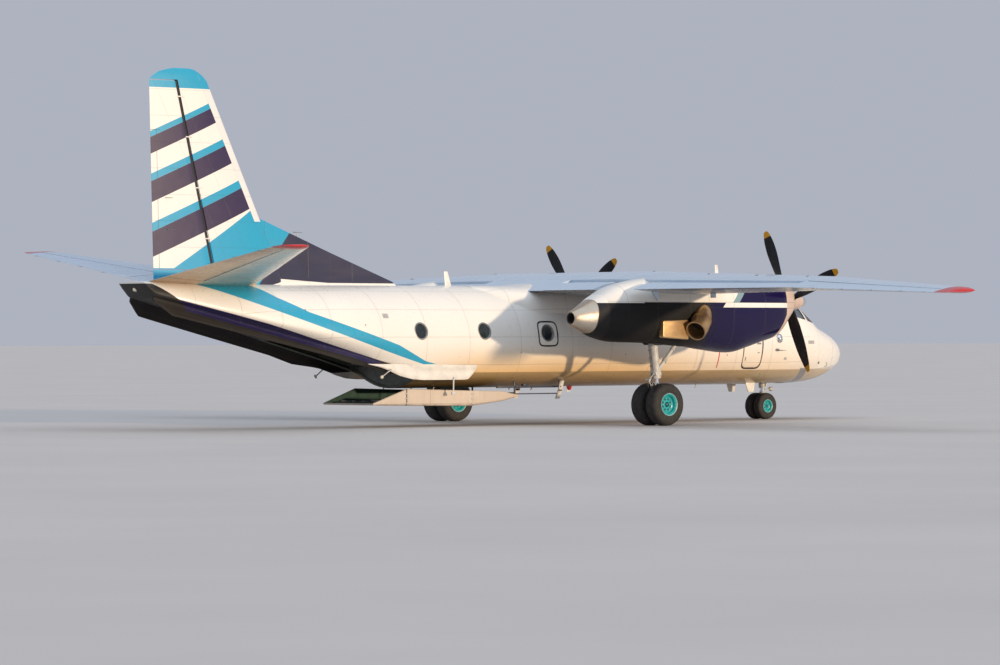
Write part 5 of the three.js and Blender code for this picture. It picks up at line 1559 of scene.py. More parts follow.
def makeMainLeg(side, word):
    y = side * nacelle["y"]
    at = lambda point: Vector((point[0], y, point[1]))
    top, foot, radius = mainLeg["strut"]
    low = mainLeg["piston"][1]
    frameBm, chrome, pipes = bmesh.new(), bmesh.new(), bmesh.new()
    top = (1.233, 2.045)
    rod(frameBm, at(top), at(foot), radius, sides=36)
    for share, grow, tall in ((0.12, 0.012, 0.05), (0.55, 0.010, 0.035), (0.80, 0.016, 0.09), (0.985, 0.014, 0.05)):
        collar(frameBm, at(top), at(foot), share, radius + grow, tall)
    # bearing at the axle, with its lugs and jacking ball
    lathed(frameBm, [(0.05, -0.06), (0.088, -0.06), (0.095, -0.052), (0.095, 0.052), (0.088, 0.06), (0.05, 0.06)],
           32, (0, 1, 0), (1.375, y, 0.525))
    collar(frameBm, at(foot), at(low), 0.82, 0.072, 0.16)
    rod(frameBm, (1.375, y, 0.44), (1.375, y, 0.40), 0.045, 0.022, sides=20)
    for offset in (-0.085, 0.085):
        boxed(frameBm, (1.24, y + offset - 0.018, 1.235), (1.43, y + offset + 0.018, 1.325), bevel=0.01)
    boxed(frameBm, (1.235, y - 0.1, 1.26), (1.30, y + 0.1, 1.32), bevel=0.01)
    # drag brace: two stages with a joint and fork ends
    start, end, thin = mainLeg["brace"]
    start = (1.98, 1.974)
    rod(frameBm, at(start), at(end), thin, sides=24)
    for share, grow, tall in ((0.12, 0.012, 0.06), (0.52, 0.016, 0.10), (0.9, 0.012, 0.07)):
        collar(frameBm, at(start), at(end), share, thin + grow, tall)
    joint = at(start).lerp(at(end), 0.52)
    rod(frameBm, joint - Vector((0, 0.075, 0)), joint + Vector((0, 0.075, 0)), 0.026, sides=16)
    a, b, c = mainLeg["links"]
    plateLink(frameBm, a, b, 0.062, 0.02, 0.030, y, 0.045)
    plateLink(frameBm, b, c, 0.056, 0.026, 0.026, y)
    finishPiece(f"main_leg_frame_{word}", frameBm, "airframe", looks["strut"], [f"main_leg_{word}"], 35)
    rod(chrome, at(foot), at(low), 0.058, sides=36)
    finishPiece(f"main_leg_piston_{word}", chrome, "airframe", looks["chrome"], angle=35)
    # hydraulic and brake lines down the strut
    for offset in (-0.05, 0.0, 0.05):
        near = Vector((-0.112, offset, 0))
        points = [at((1.235, 2.03)) + near, at((1.262, 1.82)) + near, at((1.30, 1.50)) + near, at((1.33, 1.22)) + near,
                  at((1.27, 1.02)) + Vector((-0.13, offset * 1.6, 0)), at((1.30, 0.78)) + Vector((-0.06, offset * 1.8, 0)),
                  at((1.345, 0.60)) + Vector((-0.03, offset * 1.5, 0))]
        hose(pipes, points, 0.0085)
    for share in (0.2, 0.42, 0.66, 0.9):
        middle = at(top).lerp(at(foot), share)
        boxed(pipes, middle + Vector((-0.13, -0.07, -0.014)), middle + Vector((-0.098, 0.07, 0.014)), bevel=0.004)
    finishPiece(f"main_leg_lines_{word}", pipes, "airframe", looks["steel"], angle=35)


def makeBay(side, word):
    # the closed bay doors' seam, the dark slot round the strut and its small door
    y = side * nacelle["y"]
    slot = bmesh.new()
    for low, high, width in ((1.02, 1.42, 0.17), (1.42, 2.2, 0.09)):
        rings = []
        for x in steps(low, high, 6):
            bottom = smoothTable(nacelle["stations"], x)[1]
            rings.append([Vector((x, y + a * width, bottom + b)) for a, b in ((-1, 0.02), (-1, -0.006), (1, -0.006), (1, 0.02))])
        loftRings(slot, rings)
    finishPiece(f"bay_slot_{word}", slot, "airframe", looks["soot"])
    doors = bmesh.new()
    for offset in (-0.19, 0.19):
        verts = prism(doors, rounded([(1.06, 2.08), (1.40, 2.07), (1.37, 1.995), (1.10, 1.998)], 0.02), y + offset - 0.008,
                      y + offset + 0.008, sideLay)
        bmesh.ops.bevel(doors, geom=list({e for v in verts for e in v.link_edges}), offset=0.003, segments=2, profile=0.5,
                        affect="EDGES", material=-1)
    finishPiece(f"bay_doors_{word}", doors, "airframe", looks["nacelle"])


# Nose gear
noseGear = {"x": 9.08, "top": 1.39, "foot": 0.83, "crown": 0.745}


def makeNoseGear():
    x = noseGear["x"]
    leg = bmesh.new()
    rod(leg, (x, 0, noseGear["top"]), (x, 0, noseGear["foot"]), 0.085, sides=32)
    for z, radius, tall in ((1.30, 0.098, 0.05), (1.05, 0.096, 0.05), (0.92, 0.100, 0.08), (0.846, 0.097, 0.03)):
        collar(leg, (x, 0, 2 * z), (x, 0, 0), 0.5, radius, tall)
    rod(leg, (x, -0.21, 1.33), (x, 0.21, 1.33), 0.045, sides=24)
    rod(leg, (9.56, 0, 1.33), (x, 0, 0.96), 0.038, sides=20)
    collar(leg, (9.56, 0, 1.33), (x, 0, 0.96), 0.45, 0.052, 0.08)
    # steering actuators
    for side in (-1, 1):
        rod(leg, (x + 0.02, side * 0.115, 0.985), (x + 0.02, side * 0.115, 0.875), 0.028, sides=16)
        rod(leg, (x, side * 0.06, 0.95), (x + 0.02, side * 0.115, 0.95), 0.014, sides=12)
    finishPiece("nose_leg_frame", leg, "airframe", looks["strut"], ["nose_leg"], 35)
    fork, chrome = bmesh.new(), bmesh.new()
    rod(chrome, (x, 0, noseGear["foot"] - 0.0003), (x, 0, noseGear["crown"] - 0.06), 0.07, sides=32)
    rod(fork, (x, 0, noseGear["crown"]), (9.02, 0, 0.35), 0.036, sides=24)
    lathed(fork, [(0.034, -0.034), (0.064, -0.034), (0.07, -0.028), (0.07, 0.028), (0.064, 0.034), (0.034, 0.034)], 28,
           (0, 1, 0), (9.02, 0, 0.35))
    plateLink(fork, (x, 0.72), (9.20, 0.60), 0.05, 0.03, 0.026, 0)
    plateLink(fork, (9.20, 0.60), (9.045, 0.40), 0.046, 0.024, 0.024, 0)
    collar(fork, (x, 0, 0.76), (x, 0, 0.66), 0.5, 0.078, 0.05)
    # taxi lamp on its bracket ahead of the fork
    plateLink(fork, (x + 0.06, 0.755), (9.36, 0.80), 0.05, 0.03, 0.024, 0)
    lathed(fork, [(0.0005, -0.07), (0.03, -0.065), (0.052, -0.03), (0.06, 0.01), (0.06, 0.035), (0.052, 0.035), (0.045, 0.012),
                  (0.0005, 0.008)], 28, (1, 0, -0.08), (9.40, 0, 0.80))
    finishPiece("nose_fork_frame", fork, "nose_fork", looks["strut"], ["nose_fork"], 35)
    finishPiece("nose_piston", chrome, "nose_fork", looks["chrome"], angle=35)
    doors = bmesh.new()
    for side in (-1, 1):
        outline = rounded([(8.18, 0.73), (8.38, 0.73), (8.44, 1.02), (8.06, 1.02)], 0.03)
        verts = prism(doors, outline, side * 0.345, side * 0.370, sideLay)
        bmesh.ops.bevel(doors, geom=list({e for v in verts for e in v.link_edges}), offset=0.005, segments=2, profile=0.5,
                        affect="EDGES", material=-1)
        rod(doors, (8.2, side * 0.33, 0.98), (8.4, side * 0.33, 0.98), 0.012, sides=12)
        for px in (8.14, 8.36):
            boxed(doors, (px, min(side * 0.335, side * 0.372), 0.9), (px + 0.03, max(side * 0.335, side * 0.372), 1.035), bevel=0.005)
    finishPiece("nose_doors", doors, "airframe", looks["cream"], ["nose_door_left", "nose_door_right"], 35)


def makeGear():
    for side, word in ((1, "left"), (-1, "right")):
        makeWheelPair(f"main_wheels_{word}", "main", side * nacelle["y"], f"main_wheels_{word}")
        makeMainLeg(side, word)
        makeBay(side, word)
    makeWheelPair("nose_wheels", "nose", 0.0, "nose_wheels")
    makeNoseGear()


makeGear()
print("landing gear made")


# Rear and belly: dorsal fin, strakes and the stowed ramp, side profiles in (x, z)
rear = {
    "dorsal": {"top": [(-3.73, 3.45), (-3.9, 3.575), (-5.87, 4.262), (-8.24, 5.12), (-8.33, 5.12)], "foot": 3.38},
    "strake": {"low": [(-4.25, 1.24), (-4.93, 1.215), (-6.92, 1.77), (-8.75, 2.17), (-11.2, 2.707), (-11.6, 3.04)],
               "splay": 0.18, "depth": 0.3},
    "ramp": {"bottom": [(-5.31, 0.545), (-4.28, 0.525), (-2.22, 0.5), (-1.24, 0.612), (-0.78, 0.712)],
             "top": [(-5.31, 0.592), (-4.27, 0.938), (-1.24, 0.85), (-0.78, 0.759)], "floor": 0.045, "wall": 0.045},
    "sill": {"low": [(-5.66, 1.545), (-5.3, 1.475), (-5.07, 1.407), (-4.71, 1.265), (-4.34, 1.18), (-3.97, 1.155),
                     (-2.65, 1.155), (-2.54, 1.17), (-2.37, 1.30), (-2.29, 1.45)],
             "high": [(-5.66, 1.56), (-2.32, 1.51), (-2.29, 1.47)]},
}


def lineAt(points, x):
    # height of a line of (x, z) points at x
    points = sorted(points)
    for (x0, z0), (x1, z1) in zip(points, points[1:]):
        if x0 <= x <= x1:
            return z0 + (z1 - z0) * (x - x0) / (x1 - x0)
    return points[0][1] if x < points[0][0] else points[-1][1]


def rampHalf(x):
    return 0.95 + (x + 5.4) * 0.25 / 4.8


def dorsalRing(x):
    # a thin fin with a rounded top, flared where it meets the fuselage
    foot = rear["dorsal"]["foot"]
    top = lineAt(rear["dorsal"]["top"], x)
    thick = 0.02 + 0.075 * min(1.0, (-3.73 - x) / 4.5)
    crown = min(0.02, thick, (top - foot) / 2)
    side = []
    for share in steps(0, 1, 12):
        z = foot + (top - crown - foot) * share**1.6
        flare = 0.1 * math.exp(-max(0.0, z - 3.46) / 0.06)
        side.append((crown + (thick - crown) * (1 - share**1.6) + flare * (1 - share), z))
    side += [(crown * math.cos(angle), top - crown + crown * math.sin(angle)) for angle in steps(0.35, 1.2, 3)]
    return [Vector((x, y, z)) for y, z in side] + [Vector((x, -y, z)) for y, z in reversed(side)]


def strakeRing(x, side):
    top, middle, wide, creaseWide, crease, belly = smoothTable(fuselage["stations"], x, straight=(4, 5, 6))
    low = lineAt(rear["strake"]["low"], x)
    tuck = min(1.0, max(0.0, (x + 6.1) / 0.7))  # the front end lies inside the sill cover
    low += 0.10 * tuck
    splay = rear["strake"]["splay"] * (1 - tuck) - 0.06 * tuck
    outer = creaseWide + splay * min(1.0, (crease - low) / rear["strake"]["depth"])
    root, _ = fuselagePoint(x, crease + 0.09, 1)
    step = 0.042 - 0.05 * tuck
    points = [(root.y - 0.012 - 0.03 * tuck, root.z), (creaseWide + step, crease + 0.035)]
    points += [(creaseWide + step - 0.01 + (outer - creaseWide - step + 0.012) * t, crease + 0.01 + (low + 0.02 - crease) * t)
               for t in (0.25, 0.5, 0.75, 0.97)]
    points += [(outer, low + 0.006), (outer - 0.014, low), (outer - 0.032, low + 0.004), (outer - 0.042, low + 0.022)]
    points += [(creaseWide - 0.03 + (outer - 0.012 - creaseWide) * t, crease + (low + 0.02 - crease) * t)
               for t in (0.75, 0.5, 0.25)]
    points += [(creaseWide - 0.035, crease + 0.03), (creaseWide - 0.03, crease + 0.08)]
    return [Vector((x, side * y, z)) for y, z in points]


def rampRing(x):
    # the tray's section: floor and two walls with rolled top edges
    ramp = rear["ramp"]
    low, half, wall = lineAt(ramp["bottom"], x), rampHalf(x), ramp["wall"]
    floor = low + ramp["floor"]
    top = max(floor + 0.001, lineAt(ramp["top"], x))
    corner = min(0.06, (top - low) * 0.4)
    lip = min(0.014, (top - floor) * 0.4)
    side = [(half * 0.5, low)]
    side += [(half - corner + corner * math.sin(a), low + corner - corner * math.cos(a)) for a in steps(0, math.pi / 2, 5)]
    side += [(half, top - lip), (half - 0.35 * wall, top), (half - 0.65 * wall, top), (half - wall, top - lip),
             (half - wall, floor + lip), (half - wall - 0.02, floor), (half * 0.5, floor)]
    return [Vector((x, y, z)) for y, z in side] + [Vector((x, -y, z)) for y, z in reversed(side)]


def makeDorsal():
    marks = [x for x, _ in rear["dorsal"]["top"]]
    bm = loftRings(bmesh.new(), [dorsalRing(x) for x in spread(marks, 0.22)])
    finishPiece("dorsal_skin", bm, "airframe", looks["dorsal"], ["dorsal_fin"], 28)
    trim = bmesh.new()
    # a joint strap over each seam
    for x in (-6.6, -7.9):
        rings = [[p + Vector((0, math.copysign(0.0025, p.y), 0.002)) for p in dorsalRing(at)] for at in (x - 0.02, x + 0.02)]
        loftRings(trim, rings, (False, False))
    finishPiece("dorsal_straps", trim, "airframe", looks["dorsal"], (), 28)


def makeStrakes():
    for side, tag in ((1, "left"), (-1, "right")):
        marks = [x for x, _ in rear["strake"]["low"]]
        bm = loftRings(bmesh.new(), [strakeRing(x, side) for x in spread(marks, 0.2)])
        finishPiece("strake_skin_" + tag, bm, "airframe", looks["strake"], ["ventral_strake_" + tag], 34)


def makeRamp():
    marks = sorted({x for key in ("bottom", "top") for x, _ in rear["ramp"][key]} | {-4.29, -4.27, -2.23, -2.21})
    bm = loftRings(bmesh.new(), [rampRing(x) for x in spread(marks, 0.25)])
    inside = []
    for face in bm.faces:
        at = face.calc_center_median()
        floor = lineAt(rear["ramp"]["bottom"], at.x) + 0.04
        if at.z > floor and abs(at.y) < rampHalf(at.x) - 0.036:
            inside.append(face)
    for face in inside:
        face.material_index = 1
    finishPiece("ramp_tray", bm, "airframe", [looks["ramp"], looks["green"]], ["cargo_ramp"], 34)
    # cross ribs, tie rails and rollers on the ramp's upper face
    ribs, rails, steel = bmesh.new(), bmesh.new(), bmesh.new()
    for x in steps(-5.0, -1.0, 10):
        floor, half = lineAt(rear["ramp"]["bottom"], x) + rear["ramp"]["floor"], rampHalf(x) - 0.06
        boxed(ribs, (x - 0.025, -half, floor - 0.004), (x + 0.025, half, floor + 0.034), bevel=0.006)
    for y in (-0.62, -0.2, 0.2, 0.62):
        for a, b in ((-5.0, -4.3), (-4.26, -2.24), (-2.2, -1.25)):
            za, zb = (lineAt(rear["ramp"]["bottom"], x) + rear["ramp"]["floor"] + 0.05 for x in (a, b))
            rod(rails, (a, y, za), (b, y, zb), 0.016, sides=8)
    for x in steps(-4.1, -2.4, 8):
        floor = lineAt(rear["ramp"]["bottom"], x) + rear["ramp"]["floor"]
        for y in (-0.41, 0.41):
            rod(steel, (x, y - 0.14, floor + 0.05), (x, y + 0.14, floor + 0.05), 0.03, sides=14)
    # hinge knuckles between the ramp's parts and stays up to the belly
    for side in (-1, 1):
        for x in (-4.28, -2.22):
            half, low = rampHalf(x), lineAt(rear["ramp"]["bottom"], x)
            for z in (low + 0.06, low + 0.18, low + 0.30):
                rod(steel, (x - 0.05, side * (half + 0.002), z), (x + 0.05, side * (half + 0.002), z), 0.013, sides=10)
        rod(steel, (-3.03, side * 1.315, 1.2), (-3.06, side * 1.335, 0.84), 0.022, 0.017, sides=12)
        boxed(steel, (-3.11, side * 1.335 - 0.024, 0.79), (-3.0, side * 1.335 + 0.024, 0.85), bevel=0.008)
        rod(steel, (-3.055, side * 1.33, 0.90), (-3.11, side * 1.33, 0.80), 0.011, sides=8)
        rod(steel, (-3.055, side * 1.33, 0.90), (-2.99, side * 1.33, 0.80), 0.011, sides=8)
        rod(steel, (-3.03, side * 1.29, 1.2), (-3.03, side * 1.345, 1.2), 0.03, sides=14)
    finishPiece("ramp_ribs", ribs, "airframe", looks["green"], (), 30)
    finishPiece("ramp_rails", rails, "airframe", looks["steel"], (), 50)
    finishPiece("ramp_fittings", steel, "airframe", looks["strut"], (), 40)


def sillRing(x, side):
    # a thick strip over the crease, hanging straight below it
    low, high = lineAt(rear["sill"]["low"], x), max(lineAt(rear["sill"]["high"], x), lineAt(rear["sill"]["low"], x) + 0.02)
    crease = smoothTable(fuselage["stations"], x, straight=(4, 5, 6))[4]
    outer = []
    for share in steps(1, 0, 9):
        z = low + (high - low) * share
        skin, _ = fuselagePoint(x, max(z, crease + 0.06), 1)
        lift = 0.026 * min(1.0, 4.5 * min(share, 1 - share) + 0.12)
        outer.append((skin.y + lift, z))
    inner = [(y - 0.045, z) for y, z in reversed(outer)]
    return [Vector((x, side * y, z)) for y, z in outer + inner]


def makeSills():
    for side, tag in ((1, "left"), (-1, "right")):
        marks = sorted({x for key in ("low", "high") for x, _ in rear["sill"][key]})
        bm = loftRings(bmesh.new(), [sillRing(x, side) for x in spread(marks, 0.12)])
        finishPiece("sill_cover_" + tag, bm, "airframe", looks["cream"], (), 40)


# Fairing that carries the wing on the fuselage: x, half width, height over its base, base height
saddle = {"stations": [(4.55, 0.42, 0.60, 2.88), (4.2, 0.74, 0.66, 2.85), (3.8, 0.98, 0.78, 2.78), (3.4, 1.12, 0.92, 2.70),
                       (2.9, 1.2, 0.99, 2.64), (1.0, 1.235, 0.98, 2.62), (-0.1, 1.22, 0.85, 2.64), (-0.6, 1.12, 0.80, 2.69),
                       (-1.1, 0.93, 0.70, 2.79), (-1.6, 0.60, 0.60, 2.885)], "corner": 3.2, "sides": 64}


def saddleRing(x):
    wide, tall, base = smoothTable(saddle["stations"], x)
    points = []
    for i in range(saddle["sides"]):
        angle = 2 * math.pi * i / saddle["sides"]
        c, s = math.cos(angle), math.sin(angle)
        power = 2 / saddle["corner"]
        points.append(Vector((x, wide * math.copysign(abs(c) ** power, c),
                              base + tall * math.copysign(abs(s) ** power, s) * (1.0 if s > 0 else 0.4))))
    return points


def makeSaddle():
    marks = [x for x, *_ in saddle["stations"]]
    bm = loftRings(bmesh.new(), [saddleRing(x) for x in spread(marks, 0.2)])
    finishPiece("wing_root_fairing", bm, "airframe", looks["body"], (), 30)


def makeFrames():
    # hoops and stringers inside the hold, seen through the ramp's opening and the windows
    hoops = bmesh.new()
    for x in steps(-8.9, 7.5, 26):
        levels = ((x + 0.025, 0.055), (x + 0.025, 0.12), (x - 0.025, 0.12), (x - 0.025, 0.055), (x + 0.025, 0.055))
        if x > -4.0:
            loftRings(hoops, [fuselageRing(a, inset) for a, inset in levels], (False, False))
        else:
            # open at the bottom, where the ramp's hole is
            half = [fuselageHalf(a, inset)[:fuselage["upper"] + 4] for a, inset in levels]
            for side in (1, -1):
                bars = [[Vector((a, side * ring[k][0], ring[k][1])) for (a, _), ring in zip(levels[:4], half)]
                        for k in range(len(half[0]))]
                loftRings(hoops, bars)
    finishPiece("hold_frames", hoops, "airframe", looks["liner"], (), 40)
    fittings = bmesh.new()
    for y in (-1.02, 1.02):
        for a, b in ((-3.9, 7.9),):
            boxed(fittings, (a, y - 0.03, 1.47), (b, y + 0.03, 1.50), bevel=0.006)
        for x in steps(-3.7, 7.7, 19):
            rod(fittings, (x, y - 0.06, 1.497), (x, y + 0.06, 1.497), 0.014, sides=8)
    finishPiece("hold_rails", fittings, "airframe", looks["steel"], (), 40)


def dorsalPaint():
    # even navy with ribs' rivet rows and a seam along its foot
    paint = Paint("dorsal paint")
    x, z = paint.x, paint.z
    cloud = paint.noise(1.4, 4).ramp(0.35, 0.75)
    colour = paint.mix(cloud, (0.032, 0.030, 0.062), (0.026, 0.024, 0.048))
    colour = paint.mix((x + 8.078 - 0.8466 * (z - 3.641)).below(0.0, 0.006), colour, tones["cyan"])
    colour = paint.mix((z - 0.058 * (-6.0 - x).most(0.0)).below(3.525, 0.005), colour, tones["cream"])
    lines = x.near([-5.2, -6.6, -7.9], 0.006).most(z.near([3.56], 0.005))
    dots = x.near([-5.2, -5.9, -6.6, -7.25, -7.9], 0.05, 0.01) * z.every(0.045, 0.014) * z.above(3.6, 0.005)
    colour = paint.mix(lines * 0.5, colour, (0.01, 0.01, 0.012))
    colour = paint.mix(dots * 0.12, colour, (0.10, 0.10, 0.12))
    dust = paint.noise(0.8, 5, 0.6, (0.4, 1, 2)).ramp(0.5, 0.85)
    colour = paint.mix(dust * 0.25, colour, (0.11, 0.10, 0.10))
    paint.set(colour=colour, rough=0.3 + 0.15 * dust, coat=0.25, coatRough=0.15)
    paint.bump(1 - lines * 0.8 - dots * 0.4, 0.002)
    return paint.material


def strakePaint():
    # navy on the outer face above, near-black below and on the inner face as painted shade, the edge between them level
    # with the stripe ahead
    paint = Paint("strake paint")
    x, z = paint.x, paint.z
    over = z - (1.33 + 0.238 * (-4.0 - x).most(0.0))
    cloud = paint.noise(1.5, 5).ramp(0.35, 0.75)
    base = paint.mix(cloud, (0.012, 0.010, 0.009), (0.020, 0.017, 0.015))
    normal = paint.node("ShaderNodeTexCoord", {}, {}, out="Normal")
    across = paint.node("ShaderNodeSeparateXYZ", {}, {0: normal}, out="Y")
    # inner faces keep the near-black base, painted as shade
    outside = (across * paint.y).above(0.0, 0.01)
    navy = over.above(-0.12, 0.006) * x.within(-10.8, -5.2, 0.006) * outside
    colour = paint.mix(navy, base, tones["navy"])
    lines = x.near([-5.4, -6.9, -8.3, -9.6], 0.006).most(over.near([-0.03], 0.004))
    dots = over.near([-0.045, -0.2], 0.014, 0.006) * x.every(0.05, 0.014)
    colour = paint.mix(lines.most(dots) * 0.4, colour, (0.09, 0.09, 0.10))
    dirt = paint.noise(2.0, 5, 0.6, (0.3, 1, 1)).ramp(0.45, 0.8)
    colour = paint.mix(dirt * 0.14, colour, (0.07, 0.055, 0.045))
    paint.set(colour=colour, rough=0.62 - 0.3 * navy + 0.15 * dirt, coat=0.3 * navy, coatRough=0.12, specular=0.25)
    paint.bump(1 - lines * 0.8 - dots * 0.3, 0.002)
    return paint.material


def rampPaint():
    # weathered beige outside, scuffed toward its lower edge, seams and rivet rows
    paint = Paint("ramp paint")
    x, y, z = paint.x, paint.y, paint.z
    cloud = paint.noise(0.9, 5).ramp(0.35, 0.75)
    colour = paint.mix(cloud, (0.63, 0.53, 0.43), (0.54, 0.44, 0.35))
    joint = x.near([-4.285], 0.032)
    colour = paint.mix(joint, colour, (0.035, 0.03, 0.028))
    seams = x.near([-3.55, -2.22], 0.008).most(z.near([0.57], 0.005))
    dots = (x.near([-4.33, -4.23, -2.27, -2.17], 0.012) * z.every(0.05, 0.016)).most(
        z.near([0.62, 0.88], 0.012) * x.every(0.06, 0.016))
    colour = paint.mix(seams * 0.65, colour, (0.10, 0.07, 0.05))
    colour = paint.mix(dots * 0.3, colour, (0.22, 0.18, 0.14))
    streak = paint.noise(3.0, 5, 0.65, (2, 2, 0.35)).ramp(0.5, 0.8)
    colour = paint.mix(streak * 0.35, colour, (0.33, 0.25, 0.18))
    scuff = z.below(0.56, 0.03) * paint.noise(6, 4, 0.6).ramp(0.4, 0.65)
    colour = paint.mix(scuff * 0.5, colour, (0.16, 0.14, 0.12))
    paint.set(colour=colour, rough=0.4 + 0.2 * streak)
    paint.bump(1 - seams * 0.8 - dots * 0.3 + 0.2 * paint.noise(2.0, 2), 0.003)
    return paint.material


looks["dorsal"], looks["strake"], looks["ramp"] = dorsalPaint(), strakePaint(), rampPaint()
makeDorsal()
makeStrakes()
makeRamp()
makeSills()
makeSaddle()
makeFrames()
print("rear and belly made")


# Cockpit fittings: seats as boxes of low and high corners for the port seat, and the controls
crew = {
    "pan": ((8.825, 0.325, 1.80), (9.275, 0.715, 1.885)), "back": ((-0.03, 0.325, 0.02), (0.03, 0.715, 0.66)),
    "backFoot": (8.845, 1.90), "backLean": 8.5, "base": ((8.93, 0.40, 1.472), (9.18, 0.64, 1.76)),
    "dials": {"step": 0.15, "rows": (1.875, 2.025, 2.175, 2.325), "columns": 15, "radius": 0.056, "x": 10.158},
}


def makeGlazing():
    glass, seals, frames = bmesh.new(), bmesh.new(), bmesh.new()
    outlines = [(side, rounded(outline, 0.05)) for outline in cockpit["side"] for side in (1, -1)]
    outlines += [(0, rounded([(side * a, b) for a, b in outline], 0.05)) for outline in cockpit["front"] for side in (1, -1)]
    for side, outline in outlines:
        skinPatch(glass, outline, side, -0.013)
        skinStrip(seals, outline, side, [(-0.022, -0.012), (-0.02, -0.006), (-0.006, 0.001), (0.002, 0.002), (0.003, -0.004)])
        skinStrip(frames, outline, side, [(0.003, -0.003), (0.003, 0.003), (0.008, 0.005), (0.024, 0.005), (0.028, 0.001)])
        for k in range(0, len(outline), 2):
            middle = Vector([sum(point[i] for point in outline) / len(outline) for i in (0, 1)])
            away = Vector(outline[k]) - middle
            away = away * (1 + 0.015 / away.length) + middle
            at, out = fuselagePoint(*away, side) if side else nosePoint(*away)
            rod(frames, at + out * 0.004, at + out * 0.0075, 0.0045, sides=6)
    finishPiece("cockpit_panes", glass, "airframe", looks["glass"], ["cockpit_glazing"])
    finishPiece("cockpit_seals", seals, "airframe", looks["black"])
    finishPiece("cockpit_frames", frames, "airframe", looks["cream"], (), 40)
    # wipers parked low on the two middle panes
    wipers = bmesh.new()
    for side in (1, -1):
        foot, out = nosePoint(side * 0.40, 2.655)
        tip, tipOut = nosePoint(side * 0.22, 2.86)
        rod(wipers, foot - out * 0.01, foot + out * 0.035, 0.014, sides=12)
        rod(wipers, foot + out * 0.028, tip + tipOut * 0.016, 0.006, 0.004, sides=8)
        rod(wipers, foot + out * 0.03 + Vector((0, side * 0.012, 0)), tip + tipOut * 0.018, 0.004, 0.003, sides=8)
        low, lowOut = nosePoint(side * 0.12, 2.73)
        high, highOut = nosePoint(side * 0.32, 2.99)
        boxLine = [low + lowOut * 0.006, tip + tipOut * 0.01, high + highOut * 0.006]
        for a, b in zip(boxLine, boxLine[1:]):
            rod(wipers, a, b, 0.006, sides=8)
    finishPiece("windscreen_wipers", wipers, "airframe", looks["black"], (), 40)


def makeBlister():
    place = cockpit["blister"]
    lean = blisterPlace()
    axis = lean.to_3x3() @ Vector((0, 1, 0))
    centre = Vector((place["x"], place["y"], place["z"]))
    radius = place["radius"] - 0.006
    curve = [(radius * math.cos(a), 0.62 * radius * math.sin(a) - place["sunk"]) for a in steps(0, math.pi / 2 - 0.001, 18)]
    dome = bmesh.new()
    lathed(dome, [(radius - 0.012, -place["sunk"] - 0.012), (radius, -place["sunk"] - 0.012)] + curve, 56, axis, centre)
    finishPiece("blister_dome", dome, "airframe", looks["dome"], ["navigator_blister"], 60)
    ring = bmesh.new()
    squeeze = math.cos(math.radians(place["lean"]))
    outline = [(place["x"] + place["radius"] * math.cos(a), place["z"] + 0.006 + place["radius"] * squeeze * math.sin(a))
               for a in steps(0, 2 * math.pi, 48)[:-1]]
    skinStrip(ring, outline, 1, [(-0.006, -0.03), (-0.006, 0.004), (-0.001, 0.009), (0.022, 0.009), (0.028, 0.006), (0.03, -0.002)])
    for k in range(0, 48, 3):
        at, out = fuselagePoint(outline[k][0] + 0.012 * math.cos(2 * math.pi * k / 48),
                                outline[k][1] + 0.012 * math.sin(2 * math.pi * k / 48), 1)
        rod(ring, at + out * 0.006, at + out * 0.0125, 0.007, sides=8)
    finishPiece("blister_ring", ring, "airframe", looks["steel"], (), 40)


def swell(mesh, most):
    # the closed shape is remeshed and puffed up by cloth pressure, no point moving further than the most
    made = bpy.data.objects.new("pad", mesh)
    scene.collection.objects.link(made)
    remesh = made.modifiers.new("voxels", "REMESH")
    remesh.mode, remesh.voxel_size = "VOXEL", 0.006
    graph = bpy.context.evaluated_depsgraph_get()
    fine = bpy.data.meshes.new_from_object(made.evaluated_get(graph))
    made.modifiers.clear()
    made.data = fine
    before = [vert.co.copy() for vert in fine.vertices]
    cloth = made.modifiers.new("cloth", "CLOTH")
    cloth.settings.use_pressure = True
    cloth.settings.uniform_pressure_force = 4.0
    cloth.settings.effector_weights.gravity = 0.0
    cloth.settings.mass = 0.25
    cloth.settings.tension_stiffness = cloth.settings.compression_stiffness = 12
    cloth.settings.bending_stiffness = 0.6
    for number in range(1, 21):
        scene.frame_set(number)
    graph = bpy.context.evaluated_depsgraph_get()
    puffed = made.evaluated_get(graph).to_mesh()
    for vert, old in zip(puffed.vertices, before):
        shift = vert.co - old
        fine.vertices[vert.index].co = old + shift * min(1.0, most / max(shift.length, 1e-9))
    made.evaluated_get(graph).to_mesh_clear()
    made.modifiers.clear()
    scene.frame_set(1)
    bpy.data.objects.remove(made)
    return fine


